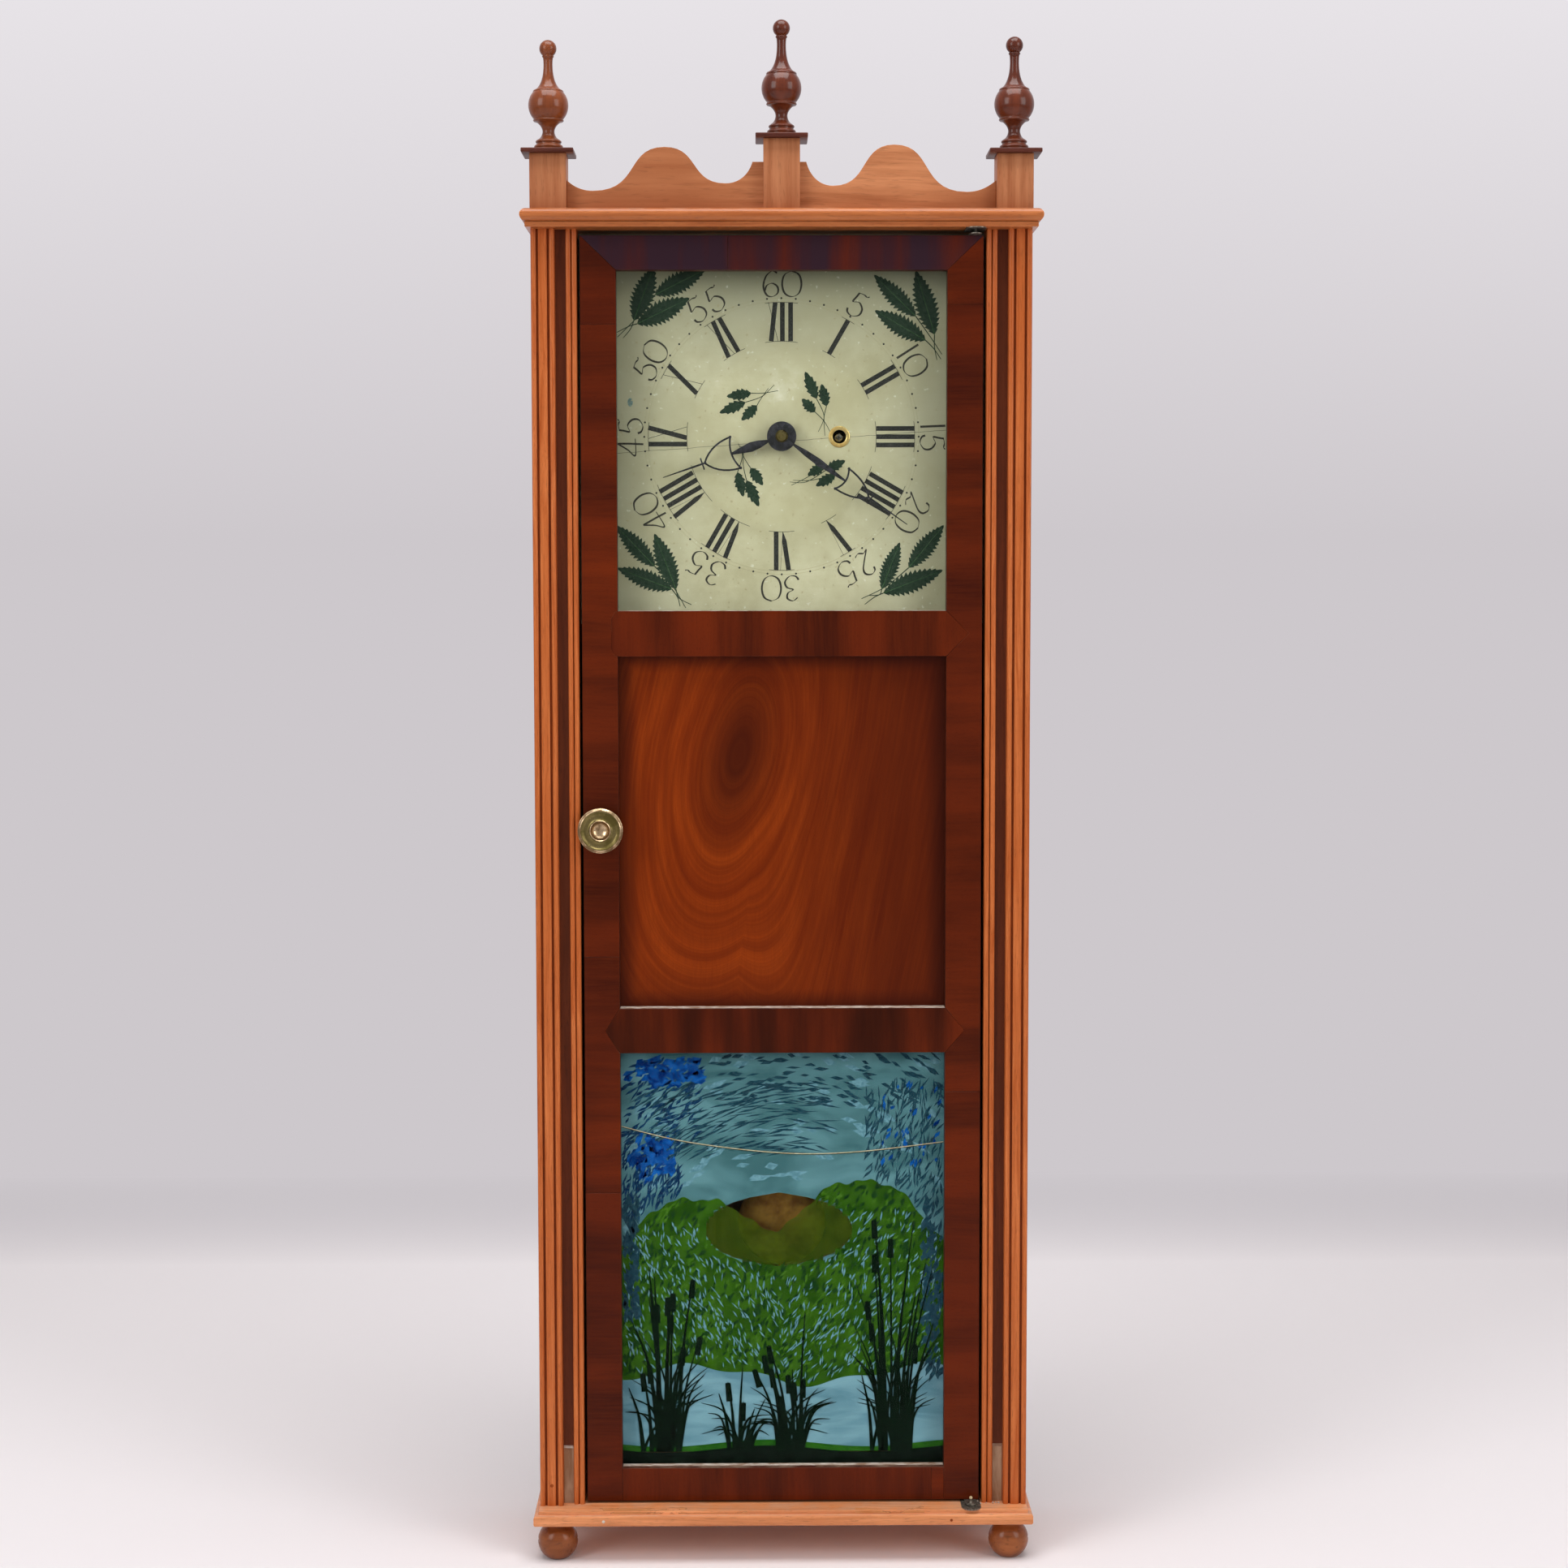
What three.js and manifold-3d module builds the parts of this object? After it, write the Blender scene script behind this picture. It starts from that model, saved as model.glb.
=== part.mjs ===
// A tall weight-driven shelf clock with a three-section door, a wavy crest and turned finials.
// Millimetres, +Z up, the front faces -Y, and the origin is on the floor below the middle of the case.

import * as THREE from 'three';
import * as BufferGeometryUtils from 'three/addons/utils/BufferGeometryUtils.js';
import Module from 'manifold-3d';

const wasm = await Module();
wasm.setup();

// ---------------------------------------------------------------------------------------------------
// Driving dimensions
// ---------------------------------------------------------------------------------------------------

const CASE_WIDTH = 409;
const BODY_HEIGHT = 1062; // between the base board and the cornice board
const SIDE_THICKNESS = 12.5;
const BACK_THICKNESS = 8;

const FOOT_HEIGHT = 32;
const FOOT_BALL_RADIUS = 16.8;
const FOOT_INSET = 2.2; // foot ball behind the edge of the base board

const BASE_HEIGHT = 12.5;
const BASE_SIDE_OVERHANG = 4.5;
const CORNICE_HEIGHT = 15;
const CORNICE_SIDE_OVERHANG = 7.5;
const MOULDING_PROUD = 24; // mouldings stand this far in front of the door face

const FRAME_THICKNESS = 22; // door and front stiles
const FRONT_STILE_WIDTH = 37.2;
const PILASTER_WIDTH = 19.4;
const PILASTER_PROUD = 7;
const REEDED_EDGE_WIDTH = 9;
const REEDED_EDGE_PROUD = 3;
const CHANNEL_DEPTH = 2;
const INLAY_THICKNESS = 1.2;
const INLAY_BOTTOM = 50; // the inlay has lost its lowest stretch above the base board

const DOOR_SIDE_GAP = 2.3;
const DOOR_BOTTOM_GAP = 2;
const DOOR_TOP_GAP = 4.5;
const DOOR_STILE_WIDTH = 29.5;
const TOP_RAIL = 28;
const DIAL_OPENING = 278;
const MIDDLE_RAIL = 37.5; // above and below the panel; the tablet fills what is left under them
const PANEL_OPENING = 293;
const BOTTOM_RAIL = 28;
const REBATE = 4; // width of the ledge that glass and panel sit against
const LIP_THICKNESS = 12; // door face to that ledge
const GLASS_THICKNESS = 3;
const PANEL_THICKNESS = 5;

const KNOB_RADIUS = 18.7;
const KNOB_HEIGHT = 569; // above the door's bottom edge
const KNOB_STEM_RADIUS = 4;
const HINGE_PIN_PROUD = 9; // pin axis in front of the door face
const HINGE_PIN_INSET = 7.2; // pin axis inside the door's right edge
const HINGE_PIN_RADIUS = 1.2;
const HINGE_PLATE = 0.7;
const HINGE_LOBE_RADIUS = 8.2;

const PLINTH_SIZE = 29.7;
const PLINTH_SETBACK = 12; // plinth faces behind the cornice moulding
const SIDE_PLINTH_HEIGHT = 45;
const CENTRE_PLINTH_HEIGHT = 57;
const CAP_SIZE = 42.5;
const CAP_THICKNESS = 3.4;
const LEFT_FINIAL_HEIGHT = 89; // the three were turned by eye
const CENTRE_FINIAL_HEIGHT = 93.5;
const RIGHT_FINIAL_HEIGHT = 92;
const CREST_THICKNESS = 10;
const CREST_HEIGHT = 53.2; // top of the higher hump
const CREST_SHOULDER = 39.3; // flat beside the centre plinth
const CREST_END = 24.5; // where the board meets the side plinths

const DIAL_THICKNESS = 6;
const DIAL_BEHIND_FACE = 30; // door face to dial face
const DIAL_CENTRE_ABOVE_MIDDLE = 5;
const DIAL_BORDER = 11; // dial board past the opening, above and below
const WINDING_OFFSET = 48; // winding square, straight right of the dial centre
const MINUTE_HAND_LENGTH = 127;
const HOUR_HAND_LENGTH = 104;
const HAND_THICKNESS = 1.4;
const HOUR_HAND_AIR = 7; // dial face to the front of the hour hand
const MINUTE_HAND_AIR = 11;
const MINUTE_HAND_TURN = 125; // degrees clockwise from twelve, as the hands stand
const HOUR_HAND_TURN = 251;

// Room behind the dial, from front to back; with the case in front of it this makes the depth.
const MOTION_SPACE = 14; // dial to front plate, for the hour and minute wheels
const PLATE_THICKNESS = 2.5;
const THIRD_WHEEL_STEP = 7; // inside of the front plate to the third wheel
const ESCAPE_WHEEL_STEP = 5.5;
const CENTRE_WHEEL_STEP = 4.5;
const GREAT_WHEEL_STEP = 7;
const GREAT_WHEEL_ROOM = 7.5; // great wheel's front to the back plate
const PENDULUM_BEHIND_PLATE = 12;
const PENDULUM_ROOM = 17; // pendulum to the back board

const PENDULUM_BOB_RADIUS = 38;
const PENDULUM_BOB_THICKNESS = 20;
const WEIGHT_RADIUS = 27;
const WEIGHT_HEIGHT = 180;
const WEIGHT_ABOVE_CENTRE = 40; // top of the wound-up weight above the dial's centre
const LINE_RADIUS = 0.8;
const DRUM_RADIUS = 22.7;
const PULLEY_RADIUS = 14;
const PULLEY_DROP = 28; // pulley's axle below the cornice board

// Teeth of the going train; together they set the beat and so the pendulum's length.
const GREAT_WHEEL_TEETH = 72;
const CENTRE_WHEEL_TEETH = 56;
const THIRD_WHEEL_TEETH = 45;
const PINION_LEAVES = 6;
const ESCAPE_TEETH = 30;
const CANNON_TEETH = 12;
const MINUTE_WHEEL_TEETH = 36;
const MINUTE_PINION_TEETH = 8;
const HOUR_WHEEL_TEETH = 32;
const GRAVITY = 9807; // mm per second squared

const RUNNING_GAP = 0.3; // air around everything that turns or slides

// ---------------------------------------------------------------------------------------------------
// Levels and planes worked out from them
// ---------------------------------------------------------------------------------------------------

const PLATE_SPACING =
	THIRD_WHEEL_STEP + ESCAPE_WHEEL_STEP + CENTRE_WHEEL_STEP + GREAT_WHEEL_STEP + GREAT_WHEEL_ROOM;
const MOVEMENT_DEPTH = MOTION_SPACE + PLATE_THICKNESS + PLATE_SPACING + PENDULUM_BEHIND_PLATE + PENDULUM_ROOM;
const CASE_DEPTH = MOULDING_PROUD + DIAL_BEHIND_FACE + DIAL_THICKNESS + MOVEMENT_DEPTH + BACK_THICKNESS;

const CASE_X = CASE_WIDTH / 2;
const FRONT_Y = -CASE_DEPTH / 2;
const BACK_Y = CASE_DEPTH / 2;
const DOOR_FACE = FRONT_Y + MOULDING_PROUD;
const FRAME_BACK = DOOR_FACE + FRAME_THICKNESS;
const BACK_BOARD_FACE = BACK_Y - BACK_THICKNESS;
const INNER_X = CASE_X - SIDE_THICKNESS;

const BASE_Z = FOOT_HEIGHT;
const BODY_Z = BASE_Z + BASE_HEIGHT;
const CORNICE_Z = BODY_Z + BODY_HEIGHT;
const TOP_Z = CORNICE_Z + CORNICE_HEIGHT;

const STILE_EDGE = CASE_X - FRONT_STILE_WIDTH;
const DOOR_X = STILE_EDGE - DOOR_SIDE_GAP;
const OPENING_X = DOOR_X - DOOR_STILE_WIDTH;
const DOOR_BOTTOM = BODY_Z + DOOR_BOTTOM_GAP;
const DOOR_TOP = CORNICE_Z - DOOR_TOP_GAP;
const LEDGE_Y = DOOR_FACE + LIP_THICKNESS;

const DIAL_OPENING_TOP = DOOR_TOP - TOP_RAIL;
const DIAL_OPENING_BOTTOM = DIAL_OPENING_TOP - DIAL_OPENING;
const PANEL_TOP = DIAL_OPENING_BOTTOM - MIDDLE_RAIL;
const PANEL_BOTTOM = PANEL_TOP - PANEL_OPENING;
const TABLET_BOTTOM = DOOR_BOTTOM + BOTTOM_RAIL;
const TABLET_TOP = PANEL_BOTTOM - MIDDLE_RAIL;

const KNOB_X = -(OPENING_X + DOOR_STILE_WIDTH / 2);
const KNOB_Z = DOOR_BOTTOM + KNOB_HEIGHT;
const PIN_X = DOOR_X - HINGE_PIN_INSET;
const PIN_Y = DOOR_FACE - HINGE_PIN_PROUD;

const PLINTH_FRONT = FRONT_Y + PLINTH_SETBACK;
const PLINTH_Y = PLINTH_FRONT + PLINTH_SIZE / 2;
const SIDE_PLINTH_X = CASE_X - PLINTH_SIZE / 2;
const CREST_Y = PLINTH_Y - CREST_THICKNESS / 2;

const DIAL_FACE = DOOR_FACE + DIAL_BEHIND_FACE;
const DIAL_BACK = DIAL_FACE + DIAL_THICKNESS;
const DIAL_Z = (DIAL_OPENING_TOP + DIAL_OPENING_BOTTOM) / 2 + DIAL_CENTRE_ABOVE_MIDDLE;

// ---------------------------------------------------------------------------------------------------
// Helpers
// ---------------------------------------------------------------------------------------------------

const TURN = 2 * Math.PI;
const radians = (degrees) => (degrees * Math.PI) / 180;
const polar = (radius, angle) => [radius * Math.cos(angle), radius * Math.sin(angle)];

/** Welds a geometry, drops collapsed triangles and turns its faces outwards. */
function closed(geometry) {
	const bare = geometry.clone();
	bare.deleteAttribute('normal');
	bare.deleteAttribute('uv');
	const welded = BufferGeometryUtils.mergeVertices(bare, 1e-4);
	const position = welded.getAttribute('position');
	const corner = (i) => new THREE.Vector3().fromBufferAttribute(position, i);
	const faces = [];
	let volume = 0;
	for (let i = 0; i < welded.index.count; i += 3) {
		const [a, b, c] = [0, 1, 2].map((k) => welded.index.getX(i + k));
		if (a === b || b === c || c === a) continue;
		faces.push([a, b, c]);
		volume += corner(a).dot(corner(b).cross(corner(c)));
	}
	if (volume < 0) faces.forEach((face) => face.reverse());
	const shaped = new THREE.BufferGeometry();
	shaped.setAttribute('position', position);
	shaped.setIndex(faces.flat());
	return shaped;
}

function toSolid(geometry) {
	const shape = closed(geometry);
	const solid = new wasm.Manifold(
		new wasm.Mesh({
			numProp: 3,
			vertProperties: new Float32Array(shape.getAttribute('position').array),
			triVerts: new Uint32Array(shape.index.array),
		})
	);
	if (solid.isEmpty()) throw new Error('a shape is not one closed surface');
	return solid;
}

function toGeometry(solid) {
	const mesh = solid.getMesh();
	const geometry = new THREE.BufferGeometry();
	geometry.setAttribute('position', new THREE.BufferAttribute(new Float32Array(mesh.vertProperties), 3));
	geometry.setIndex(Array.from(mesh.triVerts));
	return geometry;
}

const join = (...geometries) => toGeometry(geometries.map(toSolid).reduce((sum, next) => sum.add(next)));
const cut = (body, ...tools) =>
	toGeometry(tools.map(toSolid).reduce((rest, tool) => rest.subtract(tool), toSolid(body)));
const overlap = (a, b) => toGeometry(toSolid(a).intersect(toSolid(b)));

function box(x0, x1, y0, y1, z0, z1) {
	const geometry = new THREE.BoxGeometry(x1 - x0, y1 - y0, z1 - z0);
	return geometry.translate((x0 + x1) / 2, (y0 + y1) / 2, (z0 + z1) / 2);
}

const outline = (points) => new THREE.Shape(points.map(([x, y]) => new THREE.Vector2(x, y)));

function extrude(shape, depth, curveSegments = 8) {
	return new THREE.ExtrudeGeometry(shape, { depth, bevelEnabled: false, curveSegments });
}

/** A shape drawn in (x, z) as seen from the front, between two y planes. */
function plate(shape, y0, y1, curveSegments) {
	return extrude(shape, y1 - y0, curveSegments).rotateX(Math.PI / 2).translate(0, y1, 0);
}

/** A section drawn in (x, y), standing between two heights. */
function upright(points, z0, z1) {
	return extrude(outline(points), z1 - z0).translate(0, 0, z0);
}

/** A section drawn in (y, z), lying between two x planes. */
function lying(points, x0, x1) {
	const [x, y, z] = [new THREE.Vector3(1, 0, 0), new THREE.Vector3(0, 1, 0), new THREE.Vector3(0, 0, 1)];
	return extrude(outline(points), x1 - x0)
		.applyMatrix4(new THREE.Matrix4().makeBasis(y, z, x))
		.translate(x0, 0, 0);
}

/** A profile of [radius, height] pairs turned about a vertical axis. */
function turned(profile, segments) {
	const points = profile.map(([radius, height]) => new THREE.Vector2(radius, height));
	return new THREE.LatheGeometry(points, segments).rotateX(Math.PI / 2);
}

/** A profile of [radius, y] pairs turned about an axis that runs front to back. */
function turnedAcross(profile, segments) {
	return new THREE.LatheGeometry(
		profile.map(([radius, y]) => new THREE.Vector2(radius, y)),
		segments
	);
}

const rod = (radius, y0, y1, segments = 16) =>
	turnedAcross([[0, y0], [radius, y0], [radius, y1], [0, y1]], segments);
const post = (radius, z0, z1, segments = 16) =>
	turned([[0, z0], [radius, z0], [radius, z1], [0, z1]], segments);

/** Points along a circular arc, both ends included. */
function arc(centreX, centreY, radius, from, to, steps) {
	return Array.from({ length: steps + 1 }, (_, i) => {
		const [x, y] = polar(radius, radians(from + ((to - from) * i) / steps));
		return [centreX + x, centreY + y];
	});
}

const mirrored = (points) => points.map(([x, y]) => [-x, y]).reverse();

// ---------------------------------------------------------------------------------------------------
// Materials
// ---------------------------------------------------------------------------------------------------

const finish = (color, roughness, metalness = 0) =>
	new THREE.MeshStandardMaterial({ color, roughness, metalness });

const caseWood = finish(0xb0622f, 0.45);
const stripWood = finish(0xbe5f23, 0.42);
const crestWood = finish(0xa55f3c, 0.5);
const innerWood = finish(0x8a6a48, 0.75);
const turnedWood = finish(0x5f2d1e, 0.3);
const capWood = finish(0x5a2823, 0.4);
const footWood = finish(0x8c502d, 0.4);
const doorVeneer = finish(0x5f2314, 0.35);
const panelVeneer = finish(0x963c12, 0.3);
const inlayWood = finish(0x1a120e, 0.7);
const clearGlass = finish(0xcfd8d4, 0.05);
const paintedGlass = finish(0x4d7a80, 0.2);
const dialPaint = finish(0xc4c2a4, 0.6);
const blackIron = finish(0x1c1b1e, 0.5, 0.6);
const agedBrass = finish(0x6e5f3a, 0.45, 0.8);
const brightBrass = finish(0xb08a3e, 0.3, 0.9);
const greyMetal = finish(0x6d6a62, 0.5, 0.8);
const castIron = finish(0x2b2a2a, 0.7, 0.5);
const cordFibre = finish(0x9a8a66, 0.9);

// ---------------------------------------------------------------------------------------------------
// Assembly
// ---------------------------------------------------------------------------------------------------

const clock = new THREE.Group();

function add(group, name, geometry, material) {
	const mesh = new THREE.Mesh(geometry, material);
	mesh.name = name;
	group.add(mesh);
	return mesh;
}

function makeGroup(name) {
	const group = new THREE.Group();
	group.name = name;
	clock.add(group);
	return group;
}

const SIDES = [
	['left', -1],
	['right', 1],
];

// ---- Case boards ----------------------------------------------------------------------------------

const caseGroup = makeGroup('case');

for (const [side, sign] of SIDES) {
	const [x0, x1] = [sign * INNER_X, sign * CASE_X].sort((a, b) => a - b);
	add(caseGroup, `case_side_${side}`, box(x0, x1, FRAME_BACK, BACK_Y, BODY_Z, CORNICE_Z), caseWood);
}
add(
	caseGroup,
	'case_back',
	box(-INNER_X, INNER_X, BACK_BOARD_FACE, BACK_Y, BODY_Z, CORNICE_Z),
	innerWood
);

/**
 * A board moulded on its front and both ends. The profile gives [distance in from the edge, height]
 * from the bottom up; the back edge is square.
 */
function mouldedBoard(halfWidth, profile) {
	const height = profile[profile.length - 1][1];
	const front = profile.map(([inset, z]) => [FRONT_Y + inset, z]);
	const end = profile.map(([inset, z]) => [halfWidth - inset, z]);
	const along = lying([...front, [BACK_Y, height], [BACK_Y, 0]], -halfWidth, halfWidth);
	const across = plate(outline([...end, ...mirrored(end)]), FRONT_Y, BACK_Y);
	return overlap(along, across);
}

// Base: a rounded bead below, a hollow, and a small fillet under the pilasters.
const BASE_BEAD = 9.5;
const BASE_BEAD_ROUNDING = 2.6;
const FILLET_INSET = 4;
const baseProfile = [
	...arc(BASE_BEAD_ROUNDING, BASE_BEAD_ROUNDING, BASE_BEAD_ROUNDING, 270, 180, 3),
	...arc(BASE_BEAD_ROUNDING, BASE_BEAD - BASE_BEAD_ROUNDING, BASE_BEAD_ROUNDING, 180, 90, 3),
	[FILLET_INSET, BASE_BEAD],
	[FILLET_INSET, BASE_HEIGHT],
];
add(
	caseGroup,
	'base_board',
	mouldedBoard(CASE_X + BASE_SIDE_OVERHANG, baseProfile).translate(0, 0, BASE_Z),
	caseWood
);

// Cornice: a fillet below and a full half-round bead above it.
const CORNICE_FILLET = 4.2;
const corniceBeadRadius = (CORNICE_HEIGHT - CORNICE_FILLET) / 2;
const corniceProfile = [
	[FILLET_INSET, 0],
	[FILLET_INSET, CORNICE_FILLET],
	...arc(
		corniceBeadRadius,
		CORNICE_FILLET + corniceBeadRadius,
		corniceBeadRadius,
		262,
		90,
		9
	),
];
add(
	caseGroup,
	'cornice_board',
	mouldedBoard(CASE_X + CORNICE_SIDE_OVERHANG, corniceProfile).translate(0, 0, CORNICE_Z),
	caseWood
);

// ---- Front stiles, pilasters and inlays -----------------------------------------------------------

const CHANNEL_EDGE = STILE_EDGE + REEDED_EDGE_WIDTH;
const PILASTER_EDGE = CASE_X - PILASTER_WIDTH;
const CHANNEL_FLOOR = DOOR_FACE + CHANNEL_DEPTH;

/** Rounded reeds side by side between x0 and x1, standing proud to the front plane. */
function reeds(x0, x1, count, front, depth) {
	const width = (x1 - x0) / count;
	return Array.from({ length: count }, (_, i) => {
		const start = x0 + i * width;
		return [
			[start, front + depth],
			[start + width * 0.16, front + depth * 0.35],
			[start + width * 0.36, front],
			[start + width * 0.64, front],
			[start + width * 0.84, front + depth * 0.35],
		];
	}).flat();
}

const REED_DEPTH = 1.8;
const stileSection = [
	[STILE_EDGE, FRAME_BACK],
	...reeds(STILE_EDGE, CHANNEL_EDGE, 2, DOOR_FACE - REEDED_EDGE_PROUD, REED_DEPTH),
	[CHANNEL_EDGE, DOOR_FACE - REEDED_EDGE_PROUD + REED_DEPTH],
	[CHANNEL_EDGE, CHANNEL_FLOOR],
	[PILASTER_EDGE, CHANNEL_FLOOR],
	[PILASTER_EDGE, DOOR_FACE],
	[CASE_X, DOOR_FACE],
	[CASE_X, FRAME_BACK],
];

// Outer pilaster: a narrow reed at each edge and a wide flat between two grooves.
const PILASTER_FRONT = DOOR_FACE - PILASTER_PROUD;
const EDGE_REED = PILASTER_WIDTH * 0.23;
const GROOVE_WIDTH = PILASTER_WIDTH * 0.09;
const GROOVE_DEPTH = 2.4;
const REED_EDGE_DROP = 1; // a reed's edges lie this far behind its crown
const FLAT_DROP = 0.4;
const edgeReed = (start) => [
	[start, PILASTER_FRONT + REED_EDGE_DROP],
	[start + EDGE_REED * 0.22, PILASTER_FRONT],
	[start + EDGE_REED * 0.78, PILASTER_FRONT],
	[start + EDGE_REED, PILASTER_FRONT + REED_EDGE_DROP],
];
const groove = (start) => [
	[start + GROOVE_WIDTH * 0.3, PILASTER_FRONT + GROOVE_DEPTH],
	[start + GROOVE_WIDTH * 0.7, PILASTER_FRONT + GROOVE_DEPTH],
];
const pilasterSection = [
	[PILASTER_EDGE, DOOR_FACE],
	...edgeReed(PILASTER_EDGE),
	...groove(PILASTER_EDGE + EDGE_REED),
	[PILASTER_EDGE + EDGE_REED + GROOVE_WIDTH, PILASTER_FRONT + FLAT_DROP],
	[CASE_X - EDGE_REED - GROOVE_WIDTH, PILASTER_FRONT + FLAT_DROP],
	...groove(CASE_X - EDGE_REED - GROOVE_WIDTH),
	...edgeReed(CASE_X - EDGE_REED),
	[CASE_X, DOOR_FACE],
];
const inlaySection = [
	[CHANNEL_EDGE, CHANNEL_FLOOR],
	[CHANNEL_EDGE, CHANNEL_FLOOR - INLAY_THICKNESS],
	[PILASTER_EDGE, CHANNEL_FLOOR - INLAY_THICKNESS],
	[PILASTER_EDGE, CHANNEL_FLOOR],
];

for (const [side, sign] of SIDES) {
	const handed = (points) => (sign > 0 ? points : mirrored(points));
	const full = (section) => upright(handed(section), BODY_Z, CORNICE_Z);
	add(caseGroup, `front_stile_${side}`, full(stileSection), stripWood);
	add(caseGroup, `outer_pilaster_${side}`, full(pilasterSection), stripWood);
	add(
		caseGroup,
		`channel_inlay_${side}`,
		upright(handed(inlaySection), BODY_Z + INLAY_BOTTOM, CORNICE_Z),
		inlayWood
	);
}

// ---- Crest, plinths, caps and finials -------------------------------------------------------------

const PLINTH_EDGE = SIDE_PLINTH_X - PLINTH_SIZE / 2;

// The board was sawn by hand, so its halves differ. Each turning point of the wave is given as
// [share of the way from the middle to the side plinth, share of the crest's height].
const CREST_TURNS = [
	[-1, { shoulder: 0.136, inner: [0.262, 0.414], hump: [0.545, 0.964], outer: [0.878, 0.301] }],
	[1, { shoulder: 0.115, inner: [0.24, 0.378], hump: [0.525, 1], outer: [0.863, 0.286] }],
];

/** The wavy upper edge of one half as cubic curves, each [first handle, second handle, end]. */
function crestWaves(turns) {
	const { shoulder } = turns;
	const [inner, hump, outer] = [turns.inner, turns.hump, turns.outer].map(([share, rise]) => [
		share,
		rise * CREST_HEIGHT,
	]);
	const rise = hump[0] - inner[0];
	const fall = outer[0] - hump[0];
	const last = 1 - outer[0];
	return [
		[[shoulder + 0.014, (CREST_SHOULDER + inner[1]) / 2], [shoulder + 0.054, inner[1]], inner],
		[[inner[0] + 0.6 * rise, inner[1]], [hump[0] - 0.58 * rise, hump[1]], hump],
		[[hump[0] + 0.55 * fall, hump[1]], [outer[0] - 0.66 * fall, outer[1]], outer],
		[[outer[0] + 0.5 * last, outer[1]], [1 - 0.2 * last, CREST_END * 0.84], [1, CREST_END]],
	];
}

const crestShape = new THREE.Shape();
crestShape.moveTo(-PLINTH_EDGE, 0);
crestShape.lineTo(-PLINTH_EDGE, CREST_END);
for (const [sign, turns] of CREST_TURNS) {
	const scaled = ([share, z]) => [sign * share * PLINTH_EDGE, z];
	const shoulder = [turns.shoulder, CREST_SHOULDER];
	const waves = crestWaves(turns);
	if (sign > 0) {
		crestShape.lineTo(...scaled(shoulder));
		waves.forEach((wave) => crestShape.bezierCurveTo(...wave.flatMap(scaled)));
	} else {
		const ends = [shoulder, ...waves.map((wave) => wave[2])];
		for (let i = waves.length - 1; i >= 0; i -= 1) {
			crestShape.bezierCurveTo(...[waves[i][1], waves[i][0], ends[i]].flatMap(scaled));
		}
	}
}
crestShape.lineTo(PLINTH_EDGE, 0);
const crestBoard = plate(crestShape, CREST_Y, CREST_Y + CREST_THICKNESS, 8).translate(0, 0, TOP_Z);
add(caseGroup, 'crest_board', crestBoard, crestWood);

const plinthBlock = (height) =>
	box(
		-PLINTH_SIZE / 2,
		PLINTH_SIZE / 2,
		PLINTH_FRONT,
		PLINTH_FRONT + PLINTH_SIZE,
		TOP_Z,
		TOP_Z + height
	);

// The centre plinth straddles the crest board with a slot cut up from below.
const crestSlot = box(
	-PLINTH_SIZE,
	PLINTH_SIZE,
	CREST_Y,
	CREST_Y + CREST_THICKNESS,
	TOP_Z - 1,
	TOP_Z + CREST_SHOULDER
);

// Half profile of the finial, as fractions of its height with radii in millimetres.
const BALL_RADIUS = 16.3;
const TIP_RADIUS = 7;
function finialProfile(height) {
	const ballZ = 0.412 * height;
	const tipZ = height - TIP_RADIUS;
	return [
		[0, 0],
		[11, 0],
		[11.8, 0.035 * height],
		[10.4, 0.065 * height],
		[10.2, 0.095 * height],
		[6.2, 0.13 * height],
		[4.8, 0.17 * height],
		[5.8, 0.215 * height],
		[9.2, 0.25 * height],
		[11.9, 0.272 * height],
		...arc(0, ballZ, BALL_RADIUS, -43, 43, 6),
		[11.9, 0.54 * height],
		[9.4, 0.565 * height],
		[5.6, 0.628 * height],
		[3.9, 0.695 * height],
		[3.6, 0.78 * height],
		[4.8, 0.858 * height],
		...arc(0, tipZ, TIP_RADIUS, -50, 90, 4),
	];
}

const FINIAL_STATIONS = [
	['left', -SIDE_PLINTH_X, SIDE_PLINTH_HEIGHT, LEFT_FINIAL_HEIGHT],
	['centre', 0, CENTRE_PLINTH_HEIGHT, CENTRE_FINIAL_HEIGHT],
	['right', SIDE_PLINTH_X, SIDE_PLINTH_HEIGHT, RIGHT_FINIAL_HEIGHT],
];

for (const [place, x, plinthHeight, finialHeight] of FINIAL_STATIONS) {
	const block = plinthBlock(plinthHeight);
	const plinth = place === 'centre' ? cut(block, crestSlot) : block;
	const capZ = TOP_Z + plinthHeight;
	const half = CAP_SIZE / 2;
	const cap = box(-half, half, PLINTH_Y - half, PLINTH_Y + half, capZ, capZ + CAP_THICKNESS);
	const finial = turned(finialProfile(finialHeight), 14);
	add(caseGroup, `plinth_${place}`, plinth.translate(x, 0, 0), crestWood);
	add(caseGroup, `plinth_cap_${place}`, cap.translate(x, 0, 0), capWood);
	add(
		caseGroup,
		`finial_${place}`,
		finial.translate(x, PLINTH_Y, capZ + CAP_THICKNESS),
		turnedWood
	);
}

// ---- Ball feet ------------------------------------------------------------------------------------

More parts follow.
